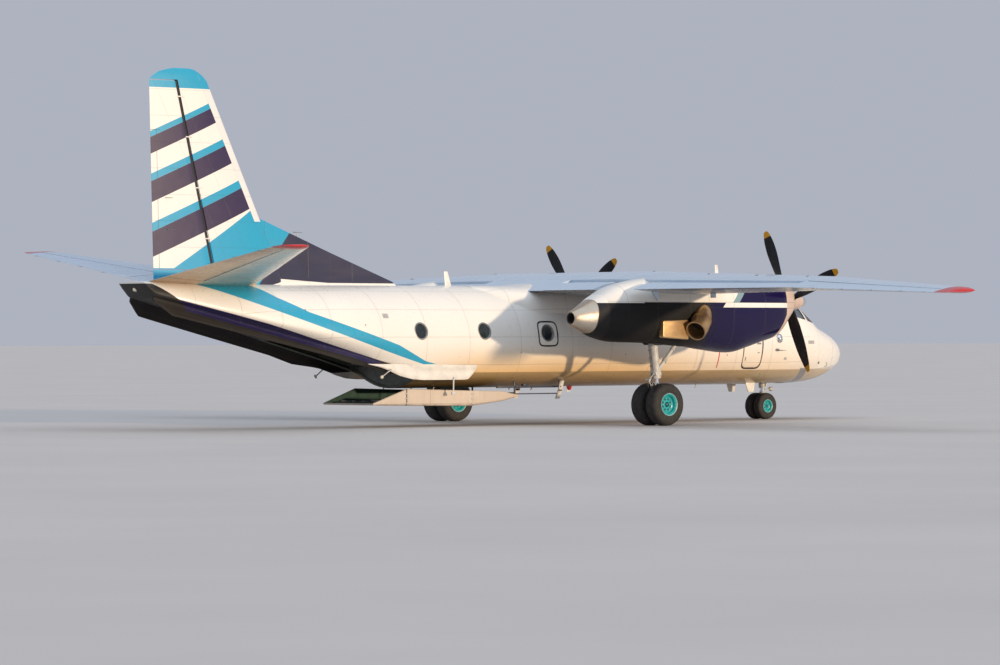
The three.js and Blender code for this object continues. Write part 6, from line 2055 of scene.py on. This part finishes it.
def makePad(name, low, high, place, channels, spots):
    # a crowned cushion with sewn channels along its length and a piped seam round its edge
    size = [b - a for a, b in zip(low, high)]
    thin = size.index(min(size))
    along = 0 if thin == 2 else 2
    bm = bmesh.new()
    boxed(bm, low, high)
    edges = [edge for edge in bm.edges]
    bmesh.ops.bevel(bm, geom=edges, offset=0.026, offset_type="OFFSET", segments=4, profile=0.5, affect="EDGES", material=-1)
    mesh = bpy.data.meshes.new(name)
    bm.to_mesh(mesh)
    bm.free()
    soft = swell(mesh, 0.02)
    bm = bmesh.new()
    bm.from_mesh(soft)
    middle = [(a + b) / 2 for a, b in zip(low, high)]
    for vert in bm.verts:
        across, up = vert.co.y - middle[1], vert.co[along] - middle[along]
        face = (vert.co[thin] - middle[thin]) / (size[thin] / 2)
        # seams sink the facing side only
        depth = 0.0
        for groove in channels:
            depth = max(depth, math.exp(-((across - groove) / 0.007) ** 2))
        for groove in spots:
            depth = max(depth, math.exp(-((up - groove) / 0.007) ** 2))
        inset = 1 - max(abs(across) / (size[1] / 2), abs(up) / (size[along] / 2))
        if face > 0.35:
            vert.co[thin] += 0.55 * size[thin] * max(0.0, min(1.0, inset * 3)) * 0.18 - 0.011 * depth * min(1.0, max(0.0, inset * 9))
        # the sides pull in between the corners
        pull = (1 - (up / (size[along] / 2)) ** 2) * 0.010 * min(1.0, abs(across) / (size[1] / 2))
        vert.co.y -= math.copysign(max(0.0, pull), across)
    bmesh.ops.smooth_vert(bm, verts=bm.verts[:], factor=0.5, use_axis_x=True, use_axis_y=True, use_axis_z=True)
    # piping where the two halves of the cover meet
    level = Vector(middle)
    normal = Vector([1.0 if i == thin else 0.0 for i in range(3)])
    copy = bm.copy()
    cut = bmesh.ops.bisect_plane(copy, geom=copy.verts[:] + copy.edges[:] + copy.faces[:], plane_co=level,
                                 plane_no=normal, dist=1e-6)["geom_cut"]
    loop = [item.co.copy() for item in cut if isinstance(item, bmesh.types.BMVert)]
    copy.free()
    loop.sort(key=lambda at: math.atan2(at[along] - middle[along], at.y - middle[1]))
    loop = loop[::max(1, len(loop) // 90)]
    smoothLoop = [(loop[i - 1] + loop[i] * 2 + loop[(i + 1) % len(loop)]) / 4 for i in range(len(loop))]
    piping = bmesh.new()
    rings = []
    for i, at in enumerate(smoothLoop):
        ahead = (smoothLoop[(i + 1) % len(smoothLoop)] - smoothLoop[i - 1]).normalized()
        side = ahead.cross(normal).normalized()
        rings.append([at + side * 0.0055 * math.cos(a) + normal * 0.0055 * math.sin(a) for a in steps(0, 2 * math.pi, 8)[:-1]])
    loftRings(piping, rings + [rings[0]], (False, False))
    for part in (bm, piping):
        bmesh.ops.transform(part, matrix=place, verts=part.verts[:])
    return bm, piping


def makeSeats():
    foot, base = crew["backFoot"], crew["base"]
    lean = Matrix.Translation((foot[0], 0, foot[1])) @ Matrix.Rotation(math.radians(-crew["backLean"]), 4, "Y")
    pads = {"seat_cushion": makePad("pan", *crew["pan"], Matrix.Identity(4), (-0.085, 0.085), (-0.1, 0.07)),
            "seat_back": makePad("back", *crew["back"], lean, (-0.085, 0.085), (-0.12, 0.05, 0.21))}
    for side, tag in ((1, "left"), (-1, "right")):
        frameMesh, belts = bmesh.new(), bmesh.new()
        # pedestal with a flared foot, pan rails, back shell, arm rests and head rest posts
        boxed(frameMesh, base[0], (base[1][0], base[1][1], base[0][2] + 0.03), bevel=0.008)
        boxed(frameMesh, (9.0, 0.46, 1.49), (9.12, 0.58, 1.75), bevel=0.01)
        boxed(frameMesh, (8.83, 0.33, 1.745), (9.27, 0.71, 1.785), bevel=0.01)
        boxed(frameMesh, (-0.062, 0.325, -0.05), (-0.042, 0.715, 0.70), bevel=0.008)
        shellVerts = [vert for vert in frameMesh.verts if vert.co.x < 0.5]
        bmesh.ops.transform(frameMesh, matrix=lean, verts=shellVerts)
        for y in (0.30, 0.74):
            rod(frameMesh, (8.86, y, 1.80), (8.83, y, 2.05), 0.014, sides=12)
            boxed(frameMesh, (8.80, y - 0.022, 2.04), (9.12, y + 0.022, 2.08), bevel=0.012)
            rod(frameMesh, (8.99, y, 1.765), (8.99, y, 1.80), 0.018, sides=12)
            boxed(frameMesh, (8.84, y - 0.012, 1.76), (9.02, y + 0.012, 1.80), bevel=0.006)
        # lap straps meet at a buckle, shoulder straps hang over the back
        for y in (0.40, 0.64):
            strap = [Vector((8.87, y, 2.57)), Vector((8.915, y, 2.35)), Vector((8.95, y + (0.52 - y) * 0.4, 2.1)),
                     Vector((9.02, y + (0.52 - y) * 0.75, 1.93))]
            for a, b in zip(strap, strap[1:]):
                plate = (b - a).to_track_quat("Z", "Y").to_matrix().to_4x4()
                middle, reach = (a + b) / 2, (b - a).length / 2 + 0.004
                boxed(belts, [middle[i] - (0.002, 0.02, reach)[i] for i in range(3)],
                      [middle[i] + (0.002, 0.02, reach)[i] for i in range(3)], turn=plate)
        lathed(belts, [(0, 0.012), (0.018, 0.011), (0.026, 0.004), (0.026, -0.006), (0, -0.006)], 20, (0.5, 0, 1), (9.035, 0.52, 1.925))
        for y0, y1 in ((0.335, 0.50), (0.705, 0.54)):
            a, b = Vector((9.0, y0, 1.86)), Vector((9.035, y1, 1.925))
            plate = (b - a).to_track_quat("Z", "X").to_matrix().to_4x4()
            middle, reach = (a + b) / 2, (b - a).length / 2
            boxed(belts, [middle[i] - (0.002, 0.02, reach)[i] for i in range(3)],
                  [middle[i] + (0.002, 0.02, reach)[i] for i in range(3)], turn=plate)
        head = bmesh.new()
        boxed(head, (-0.045, 0.42, 0.70), (0.025, 0.62, 0.80), bevel=0.022)
        bmesh.ops.transform(head, matrix=lean, verts=head.verts[:])
        if side < 0:
            for part in (frameMesh, belts, head):
                mirrorY(part)
        finishPiece("seat_frame_" + tag, frameMesh, "airframe", looks["seatFrame"], ["crew_seat_" + tag], 40)
        finishPiece("seat_belts_" + tag, belts, "airframe", looks["webbing"], (), 40)
        finishPiece("seat_headrest_" + tag, head, "airframe", looks["seatCloth"], (), 50)
        for name, (pad, piping) in pads.items():
            for kind, part in ((name + "_" + tag, pad), (name + "_piping_" + tag, piping)):
                copy = part.copy()
                if side < 0:
                    mirrorY(copy)
                made = finishPiece(kind, copy, "airframe", looks["seatCloth" if part is pad else "piping"], (), 80)


def yoke(bm, side):
    # control column with its horned wheel
    y = side * 0.52
    rod(bm, (9.62, y, 1.475), (9.66, y, 1.53), 0.06, 0.035)
    rod(bm, (9.64, y, 1.5), (9.60, y, 2.13), 0.021, 0.018)
    rod(bm, (9.66, y, 2.13), (9.52, y, 2.15), 0.034, 0.03)
    places = [Vector((9.52, y + 0.15 * math.sin(a), 2.15 - 0.125 * math.cos(a))) for a in steps(-2.45, 2.45, 26)]
    rings = []
    for i, at in enumerate(places):
        ahead = (places[min(i + 1, len(places) - 1)] - places[max(i - 1, 0)]).normalized()
        other = ahead.cross(Vector((1, 0, 0))).normalized()
        rings.append([at + other * 0.013 * math.cos(a) + Vector((1, 0, 0)) * 0.013 * math.sin(a)
                      for a in steps(0, 2 * math.pi, 10)[:-1]])
    loftRings(bm, rings)
    for a in (-0.9, 0.9):
        rod(bm, (9.52, y, 2.15), (9.52, y + 0.145 * math.sin(a), 2.15 - 0.12 * math.cos(a)), 0.011, sides=10)
    # pedals
    for dy in (-0.13, 0.13):
        rod(bm, (10.0, y + dy, 1.475), (9.96, y + dy, 1.66), 0.012, sides=10)
        boxed(bm, (9.945, y + dy - 0.05, 1.63), (9.965, y + dy + 0.05, 1.75), Matrix.Rotation(-0.35, 4, "Y"), 0.004)


def makeControls():
    dials = crew["dials"]
    faces, rims, knobs, controls = bmesh.new(), bmesh.new(), bmesh.new(), bmesh.new()
    middle = (dials["columns"] - 1) / 2
    for row, z in enumerate(dials["rows"]):
        for column in range(dials["columns"]):
            y = (column - middle) * dials["step"]
            if abs(y) > 1.02 - 0.12 * (2.4 - z):
                continue
            radius = dials["radius"] * (1.0 if (row + column) % 3 else 0.82)
            at = (dials["x"], y, z)
            lathed(faces, [(radius, 0.004), (radius - 0.004, 0.006), (0.0005, 0.006)], 24, (-1, 0, 0), at)
            lathed(rims, [(radius, 0.0), (radius + 0.009, 0.0), (radius + 0.009, 0.010), (radius + 0.003, 0.014),
                          (radius - 0.001, 0.012), (radius - 0.001, 0.004)], 24, (-1, 0, 0), at)
            for k in range(4):
                turn = math.pi / 4 + k * math.pi / 2
                rod(knobs, (dials["x"] + 0.002, y + 0.074 * math.cos(turn), z + 0.074 * math.sin(turn)),
                    (dials["x"] - 0.004, y + 0.074 * math.cos(turn), z + 0.074 * math.sin(turn)), 0.004, sides=6)
    # switch rows below the dials
    for y in steps(-0.9, 0.9, 26):
        for z in (1.70, 1.765):
            rod(knobs, (dials["x"] + 0.002, y, z), (dials["x"] - 0.006, y, z), 0.009, sides=8)
            rod(knobs, (dials["x"] - 0.006, y, z), (dials["x"] - 0.024, y, z + 0.012), 0.003, 0.004, sides=6)
    finishPiece("panel_dials", faces, "airframe", looks["dial"], (), 60)
    finishPiece("panel_rims", rims, "airframe", looks["black"], (), 40)
    finishPiece("panel_switches", knobs, "airframe", looks["steel"], (), 40)
    for y in (-1.0, 1.0):
        boxed(controls, (9.15, y - 0.13, 1.93), (10.14, y + 0.11, 1.99), bevel=0.012)
        boxed(controls, (9.15, y - 0.10, 1.475), (10.14, y + 0.06, 1.93), bevel=0.012)
    boxed(controls, (9.58, -0.165, 2.078), (10.13, 0.165, 2.12), bevel=0.012)
    boxed(controls, (9.945, -0.95, 2.462), (9.985, 0.95, 2.486), bevel=0.01)
    finishPiece("cockpit_consoles", controls, "airframe", looks["panel"], (), 40)
    levers = bmesh.new()
    for k, y in enumerate((-0.11, -0.06, 0.0, 0.06, 0.11)):
        x, lean = 9.78 + 0.03 * (k % 2), 0.08 - 0.02 * k
        rod(levers, (x, y, 2.115), (x - lean, y, 2.25), 0.006, sides=8)
        lathed(levers, [(0.0, 0.03), (0.014, 0.024), (0.018, 0.008), (0.012, -0.008), (0.0, -0.01)], 14, (-lean, 0, 0.135),
               (x - lean, y, 2.25))
    for y in (-1.02, -0.98, 0.98, 1.02):
        for x in steps(9.3, 10.0, 9):
            rod(levers, (x, y, 1.988), (x, y, 1.995), 0.012, sides=10)
            rod(levers, (x, y, 1.99), (x + 0.008, y, 2.012), 0.004, sides=6)
    for side in (1, -1):
        yoke(levers, side)
    finishPiece("cockpit_controls", levers, "airframe", looks["black"], (), 40)
    # compass post over the windscreen
    top = bmesh.new()
    rod(top, (9.98, 0, 2.48), (9.98, 0, 2.56), 0.012, sides=10)
    lathed(top, [(0, 0.03), (0.022, 0.026), (0.03, 0.0), (0.022, -0.026), (0, -0.03)], 20, (1, 0, 0), (9.98, 0, 2.585))
    finishPiece("cockpit_compass", top, "airframe", looks["black"], (), 50)


def dialPaint():
    # black faces with white ticks and a needle, repeated on the dials' grid
    dials = crew["dials"]
    paint = Paint("dial faces")
    half = dials["step"] / 2
    y = paint.y.math("WRAP", paint.y, half, -half)
    z = paint.z.math("WRAP", paint.z - dials["rows"][0], half, -half)
    turn = paint.node("ShaderNodeMath", {"operation": "ARCTAN2"}, {0: z, 1: y})
    reach = paint.node("ShaderNodeMath", {"operation": "SQRT"}, {0: y * y + z * z})
    ticks = turn.every(math.pi / 6, 0.07, 0.02) * reach.within(0.032, 0.043, 0.001)
    fine = turn.every(math.pi / 30, 0.02, 0.01) * reach.within(0.038, 0.043, 0.001)
    column = paint.node("ShaderNodeMath", {"operation": "FLOOR"}, {0: (paint.y + half) / dials["step"]})
    row = paint.node("ShaderNodeMath", {"operation": "FLOOR"}, {0: (paint.z - dials["rows"][0] + half) / dials["step"]})
    aim = paint.node("ShaderNodeMath", {"operation": "SINE"}, {0: column * 2.3 + row * 1.7}) * 2.6
    needle = (turn - aim).abs().below(0.09, 0.02) * reach.below(0.034, 0.001)
    hub = reach.below(0.006, 0.001)
    colour = paint.mix(paint.noise(30, 3), (0.012, 0.012, 0.013), (0.02, 0.02, 0.021))
    colour = paint.mix(ticks.most(fine).most(needle), colour, (0.75, 0.75, 0.70))
    colour = paint.mix(hub, colour, (0.05, 0.05, 0.05))
    paint.set(colour=colour, rough=paint.noise(8, 2).ramp(0.3, 0.7, (0.08, 0.16)), coat=0.6)
    paint.bump(paint.noise(20, 2), 0.0002)
    return paint.material


def clothPaint(name, tone, other):
    # plain weave with worn patches
    paint = Paint(name)
    across = paint.y.every(0.0028, 0.0014, 0.0008)
    over = (paint.z + paint.x).every(0.0028, 0.0014, 0.0008)
    weave = across * (1 - over) + over * (1 - across)
    patch = paint.noise(7, 4).ramp(0.35, 0.75)
    colour = paint.mix(patch, tone, other)
    colour = paint.mix(weave * 0.35, colour, tuple(0.45 * c for c in tone))
    paint.set(colour=colour, rough=0.82 + 0.1 * patch)
    paint.bump(weave + 0.4 * paint.noise(120, 2), 0.0006)
    return paint.material


def domePaint():
    # the blister's clear acrylic, a little dusty
    paint = Paint("blister acrylic")
    dust = paint.noise(9, 4).ramp(0.45, 0.8)
    paint.set(colour=paint.mix(dust, (0.10, 0.13, 0.14), (0.20, 0.22, 0.22)), rough=0.04 + 0.1 * dust, coat=0.7,
              alpha=0.62 + 0.2 * dust)
    paint.bump(paint.noise(4, 2), 0.0008)
    return paint.material


looks["seatCloth"] = clothPaint("seat cloth", (0.085, 0.07, 0.05), (0.12, 0.10, 0.075))
looks["piping"] = clothPaint("seat piping", (0.035, 0.03, 0.025), (0.05, 0.045, 0.04))
looks["webbing"] = clothPaint("belt webbing", (0.20, 0.19, 0.16), (0.26, 0.25, 0.21))
looks["seatFrame"] = plainPaint("seat frame", (0.20, 0.23, 0.22), 0.42, metal=0.2, grain=12, wear=(0.4, 0.4, 0.38))
looks["dial"], looks["dome"] = dialPaint(), domePaint()
makeGlazing()
makeBlister()
makeSeats()
makeControls()
print("cockpit made")


# Small fittings over the airframe
fittings = {
    "blades": [(-2.06, 0.0, 3.47, 0.37, 0.22), (7.42, 0.0, 3.44, 0.66, 0.19)],  # x, y, foot z, height, chord
    "bellyBlades": [(5.2, 0.0, 0.95, 0.22, 0.24), (2.4, 0.35, 0.95, 0.16, 0.18)],
    "dome": {"x": 8.27, "z": 2.155, "radius": 0.10}, "probe": {"x": 8.19, "z": 1.85},
    "plates": [(9.62, 2.05, 0.15, 0.045), (8.55, 1.62, 0.05, 0.035), (-5.2, 2.72, 0.09, 0.055)],  # x, z, half sizes
    "ports": [(9.1, 1.74), (6.35, 1.72), (4.55, 2.02), (2.7, 1.75), (-0.9, 1.82), (-5.9, 2.5), (-7.6, 2.86)],
}


def bladeAerial(bm, x, y, foot, tall, chord, way=1):
    # a swept blade aerial on its foot plate
    rings = []
    for share in steps(0, 1, 6):
        wide = chord * (1 - 0.45 * share)
        thick = 0.016 * (1 - 0.55 * share)
        middle = x - 0.35 * chord * share
        rings.append([Vector((middle + wide / 2 * math.cos(a), y + thick * math.sin(a) * (1.3 - 0.3 * math.cos(a)),
                              foot + way * tall * share)) for a in steps(0, 2 * math.pi, 20)[:-1]])
    loftRings(bm, rings)
    boxed(bm, (x - chord * 0.62, y - 0.035, foot - 0.012), (x + chord * 0.62, y + 0.035, foot + 0.012), bevel=0.008)


def lens(bm, at, axis, radius, tall):
    lathed(bm, [(radius, 0.0), (radius * 0.96, tall * 0.35), (radius * 0.7, tall * 0.75), (radius * 0.35, tall * 0.95),
                (0.0005, tall)], 28, axis, at)


def mountRing(bm, at, axis, radius, wide=0.012, tall=0.008):
    lathed(bm, [(radius, -tall), (radius, tall * 0.4), (radius + wide * 0.3, tall), (radius + wide, tall * 0.6),
                (radius + wide, -tall)], 28, axis, at)


def makeAerials():
    bm = bmesh.new()
    for x, y, foot, tall, chord in fittings["blades"]:
        bladeAerial(bm, x, y, foot, tall, chord)
    for x, y, foot, tall, chord in fittings["bellyBlades"]:
        bladeAerial(bm, x, y, foot, tall, chord, -1)
    finishPiece("blade_aerials", bm, "airframe", looks["cream"], (), 40)
    dark = bmesh.new()
    # a whip on the dorsal's slope, and wire aerial posts along the roof
    foot = Vector((-6.92, 0, lineAt(rear["dorsal"]["top"], -6.92)))
    rod(dark, foot - Vector((0, 0, 0.02)), foot + Vector((0.03, 0, 0.10)), 0.012, 0.008, sides=10)
    rod(dark, foot + Vector((-0.10, 0, 0.105)), foot + Vector((0.17, 0, 0.10)), 0.011, 0.006, sides=10)
    for side in (1, -1):
        rod(dark, (4.9, side * 0.55, 3.36), (4.86, side * 0.565, 3.52), 0.010, 0.007, sides=10)
        rod(dark, (4.86, side * 0.565, 3.515), (4.95, side * 0.565, 3.515), 0.006, sides=8)
    # blister-side probe: a plate on the skin and a tube ahead of it
    for side in (1, -1):
        at, out = fuselagePoint(fittings["probe"]["x"], fittings["probe"]["z"], side)
        skinPatch(dark, boxOutline(at.x, at.z, 0.07, 0.035, 0.03), side, 0.006, 0.01)
        rod(dark, at, at + out * 0.075 + Vector((0.05, 0, 0)), 0.014, 0.010, sides=12)
        rod(dark, at + out * 0.075 + Vector((0.03, 0, 0)), at + out * 0.075 + Vector((0.27, 0, 0)), 0.010, 0.005, sides=12)
        for x, z in fittings["ports"]:
            skinPatch(dark, circleOutline(x, z, 0.018, 16), side, 0.003, 0.006)
    finishPiece("probes_and_ports", dark, "airframe", looks["steel"], (), 40)


def makeLamps():
    clear, red, green, rims = bmesh.new(), bmesh.new(), bmesh.new(), bmesh.new()
    # tail lamp, belly beacon, wing tip lamps, landing lamps in the nose's belly, ramp lamps by the sill
    lens(clear, (-11.775, 0, 3.34), (-1, 0, -0.25), 0.055, 0.075)
    mountRing(rims, (-11.775, 0, 3.34), (-1, 0, -0.25), 0.055, 0.012, 0.01)
    lens(red, (2.05, 0, 0.945), (0, 0, -1), 0.07, 0.11)
    mountRing(rims, (2.05, 0, 0.94), (0, 0, -1), 0.07, 0.02)
    for side in (1, -1):
        lamp = red if side > 0 else green
        at = surfacePoint(wing, 14.33, 0.02, 1)
        at = Vector((at.x - 0.02, side * at.y, at.z - 0.006))
        lens(lamp, at, (0.85, side * 0.5, 0), 0.032, 0.05)
        mountRing(rims, at, (0.85, side * 0.5, 0), 0.032, 0.008, 0.006)
        lens(clear, (-5.3, side * 1.27, 1.235), (-0.4, side, -0.5), 0.04, 0.03)
        mountRing(rims, (-5.3, side * 1.27, 1.235), (-0.4, side, -0.5), 0.04, 0.012)
        rod(rims, (-5.3, side * 1.262, 1.24), (-5.02, side * 1.30, 1.42), 0.016, sides=10)
        at, out = fuselagePoint(10.55, 1.45, side)
        lens(clear, at - out * 0.004, out, 0.05, 0.016)
        mountRing(rims, at, out, 0.05, 0.014, 0.006)
    dome = fittings["dome"]
    domes = bmesh.new()
    at, out = fuselagePoint(dome["x"], dome["z"], -1)
    lens(domes, at - out * 0.01, out, dome["radius"], 0.085)
    mountRing(rims, at, out, dome["radius"], 0.018, 0.012)
    finishPiece("clear_lamps", clear, "airframe", looks["lampClear"], (), 60)
    finishPiece("red_lamps", red, "airframe", looks["lampRed"], (), 60)
    finishPiece("green_lamps", green, "airframe", looks["lampGreen"], (), 60)
    finishPiece("side_dome", domes, "airframe", looks["chrome"], (), 60)
    finishPiece("lamp_rims", rims, "airframe", looks["steel"], (), 40)


def makePlates():
    # blank service plates, filler caps and drain pipes
    plates, caps = bmesh.new(), bmesh.new()
    for x, z, wide, tall in fittings["plates"]:
        for side in (1, -1):
            skinPatch(plates, boxOutline(x, z, wide, tall, 0.012), side, 0.003, 0.006)
    finishPiece("blank_plates", plates, "airframe", looks["plate"], (), 40)
    for side in (1, -1):
        for span, u in ((3.0, 0.3), (5.6, 0.42), (7.4, 0.42), (9.2, 0.4)):
            at = surfacePoint(wing, span, u, 1)
            lathed(caps, [(0.0005, 0.005), (0.055, 0.005), (0.062, 0.001), (0.062, -0.006)], 24, (0, 0, 1), (at.x, side * at.y, at.z))
            rod(caps, (at.x - 0.03, side * at.y, at.z + 0.008), (at.x + 0.03, side * at.y, at.z + 0.008), 0.006, sides=8)
        for x in (6.2, 0.4, -2.9):
            rod(caps, (x, side * 0.42, 0.96), (x - 0.06, side * 0.42, 0.86), 0.014, 0.013, sides=12)
    finishPiece("filler_caps", caps, "airframe", looks["steel"], (), 40)


def makeBellyRail():
    # the ramp's guide rails under the belly and the plate at their front end, both sides
    rail, plate = bmesh.new(), bmesh.new()
    for side in (1, -1):
        y = side * 0.80
        boxed(rail, (-1.15, y - 0.03, 0.925), (1.05, y + 0.03, 0.97), bevel=0.008)
        boxed(rail, (-1.0, y - 0.022, 0.762), (1.0, y + 0.022, 0.79), bevel=0.006)
        for x in (-0.55, 0.98):
            boxed(rail, (x - 0.022, y - 0.015, 0.765), (x + 0.022, y + 0.015, 1.12), bevel=0.006)
            rod(rail, (x, y - 0.045, 0.947), (x, y + 0.045, 0.947), 0.02, sides=12)
        boxed(rail, (-0.29, y - 0.05, 0.965), (-0.11, y + 0.05, 1.02), bevel=0.012)
        rod(rail, (-1.0, y, 0.78), (-0.83, side * 0.98, 0.74), 0.018, sides=12)
        prism(plate, rounded([(0.80, 0.64), (0.94, 0.64), (1.03, 0.87), (0.90, 0.87)], 0.015), y - 0.045, y - 0.022, sideLay)
        prism(plate, rounded([(0.90, 0.84), (1.03, 0.84), (1.10, 1.10), (0.96, 1.10)], 0.015), y - 0.045, y - 0.022, sideLay)
    finishPiece("ramp_guide_rails", rail, "airframe", looks["rail"], (), 40)
    finishPiece("ramp_guide_plates", plate, "airframe", looks["cream"], (), 40)


def makeTailFittings():
    # rudder brackets and trim tab rods
    bm = bmesh.new()
    for span in (4.55, 5.75, 6.95, 7.9):
        row = rowAt(finShape, span)
        aft, off, radius = hingeOf(finShape, row, hinges["rudder"])
        at = finLay(span, aft, 0, row)
        for side in (1, -1):
            low = Vector((at.x + 0.11, side * (radius + 0.006), span - 0.012))
            boxed(bm, (low.x - 0.16, low.y - 0.008, span - 0.014), (low.x + 0.03, low.y + 0.008, span + 0.014), bevel=0.004)
    finishPiece("fin_brackets", bm, "airframe", looks["cream"], (), 40)
    tabs = bmesh.new()
    for side in (1, -1):
        for span in (4.75, 5.5):
            row = rowAt(finShape, span)
            at = surfacePoint(finShape, span, 0.86, side)
            rod(tabs, at + Vector((0.16, side * 0.012, 0)), at + Vector((-0.05, side * 0.022, 0)), 0.006, sides=8)
            rod(tabs, at + Vector((-0.05, side * -0.004, 0)), at + Vector((-0.05, side * 0.03, 0)), 0.008, sides=8)
    finishPiece("rudder_tab_rods", tabs, "rudder", looks["steel"], (), 40)


def lampPaint(name, tone, glow):
    paint = Paint(name)
    cloud = paint.noise(40, 2).ramp(0.3, 0.7)
    paint.set(colour=paint.mix(cloud, tone, tuple(0.7 * c for c in tone)), rough=0.06 + 0.06 * cloud, coat=0.8,
              glow=tone, glowPower=glow)
    paint.bump(paint.x.every(0.012, 0.006, 0.004).most(paint.z.every(0.012, 0.006, 0.004)), 0.0006)
    return paint.material


looks["lampClear"] = lampPaint("clear lens", (0.75, 0.68, 0.50), 0.15)
looks["lampRed"] = lampPaint("red lens", (0.55, 0.015, 0.01), 0.12)
looks["lampGreen"] = lampPaint("green lens", (0.01, 0.30, 0.10), 0.12)
looks["plate"] = plainPaint("grey plate", (0.42, 0.41, 0.40), 0.4, grain=16, wear=(0.6, 0.58, 0.54))
looks["rail"] = plainPaint("rail paint", (0.055, 0.065, 0.10), 0.35, grain=10, wear=(0.30, 0.30, 0.32))
makeAerials()
makeLamps()
makePlates()
makeBellyRail()
makeTailFittings()
print("fittings made")


# What keeps its own solid gets its finish here
kept = {
    "deck": ["cockpit_floor", "cockpit_bulkhead", "hold_floor"], "panel": ["instrument_panel"],
}
for look, names in kept.items():
    for name in names:
        nodes[name].data.materials.clear()
        nodes[name].data.materials.append(looks[look])


# Stage: low warm sun from starboard, pale sky, pale floor
stage = {"floor": (0.60, 0.56, 0.52), "floorOther": (0.55, 0.515, 0.485), "sky": (0.50, 0.53, 0.62), "skyPower": 0.85,
         "lamps": [("sun", (0.17, -1.0, 0.12), 2.0, 2.8, (1.0, 0.78, 0.54)),
                   ("sky", (-0.2, -0.25, 1.0), 100.0, 1.15, (0.72, 0.86, 1.0))]}


def makeStage():
    bm = bmesh.new()
    bmesh.ops.create_grid(bm, x_segments=1, y_segments=1, size=900)
    mesh = bpy.data.meshes.new("floor")
    bm.to_mesh(mesh)
    bm.free()
    floor = bpy.data.objects.new("floor", mesh)
    floor.location.z = -0.002
    scene.collection.objects.link(floor)
    paint = Paint("floor")
    paint.set(colour=paint.mix(paint.noise(0.15, 4).ramp(0.3, 0.7), stage["floor"], stage["floorOther"]), rough=0.85)
    paint.bump(paint.noise(6, 4), 0.002)
    mesh.materials.append(paint.material)
    world = bpy.data.worlds.new("studio")
    world.use_nodes = True
    background = world.node_tree.nodes["Background"]
    background.inputs["Color"].default_value = (*stage["sky"], 1.0)
    background.inputs["Strength"].default_value = stage["skyPower"]
    scene.world = world
    for name, toward, wide, power, colour in stage["lamps"]:
        data = bpy.data.lights.new(name, "SUN")
        data.angle, data.energy, data.color = math.radians(wide), power, colour
        lamp = bpy.data.objects.new(name, data)
        lamp.rotation_euler = Vector(toward).to_track_quat("Z", "Y").to_euler()
        scene.collection.objects.link(lamp)


makeStage()
scene.view_settings.view_transform = "Standard"
print("stage made")
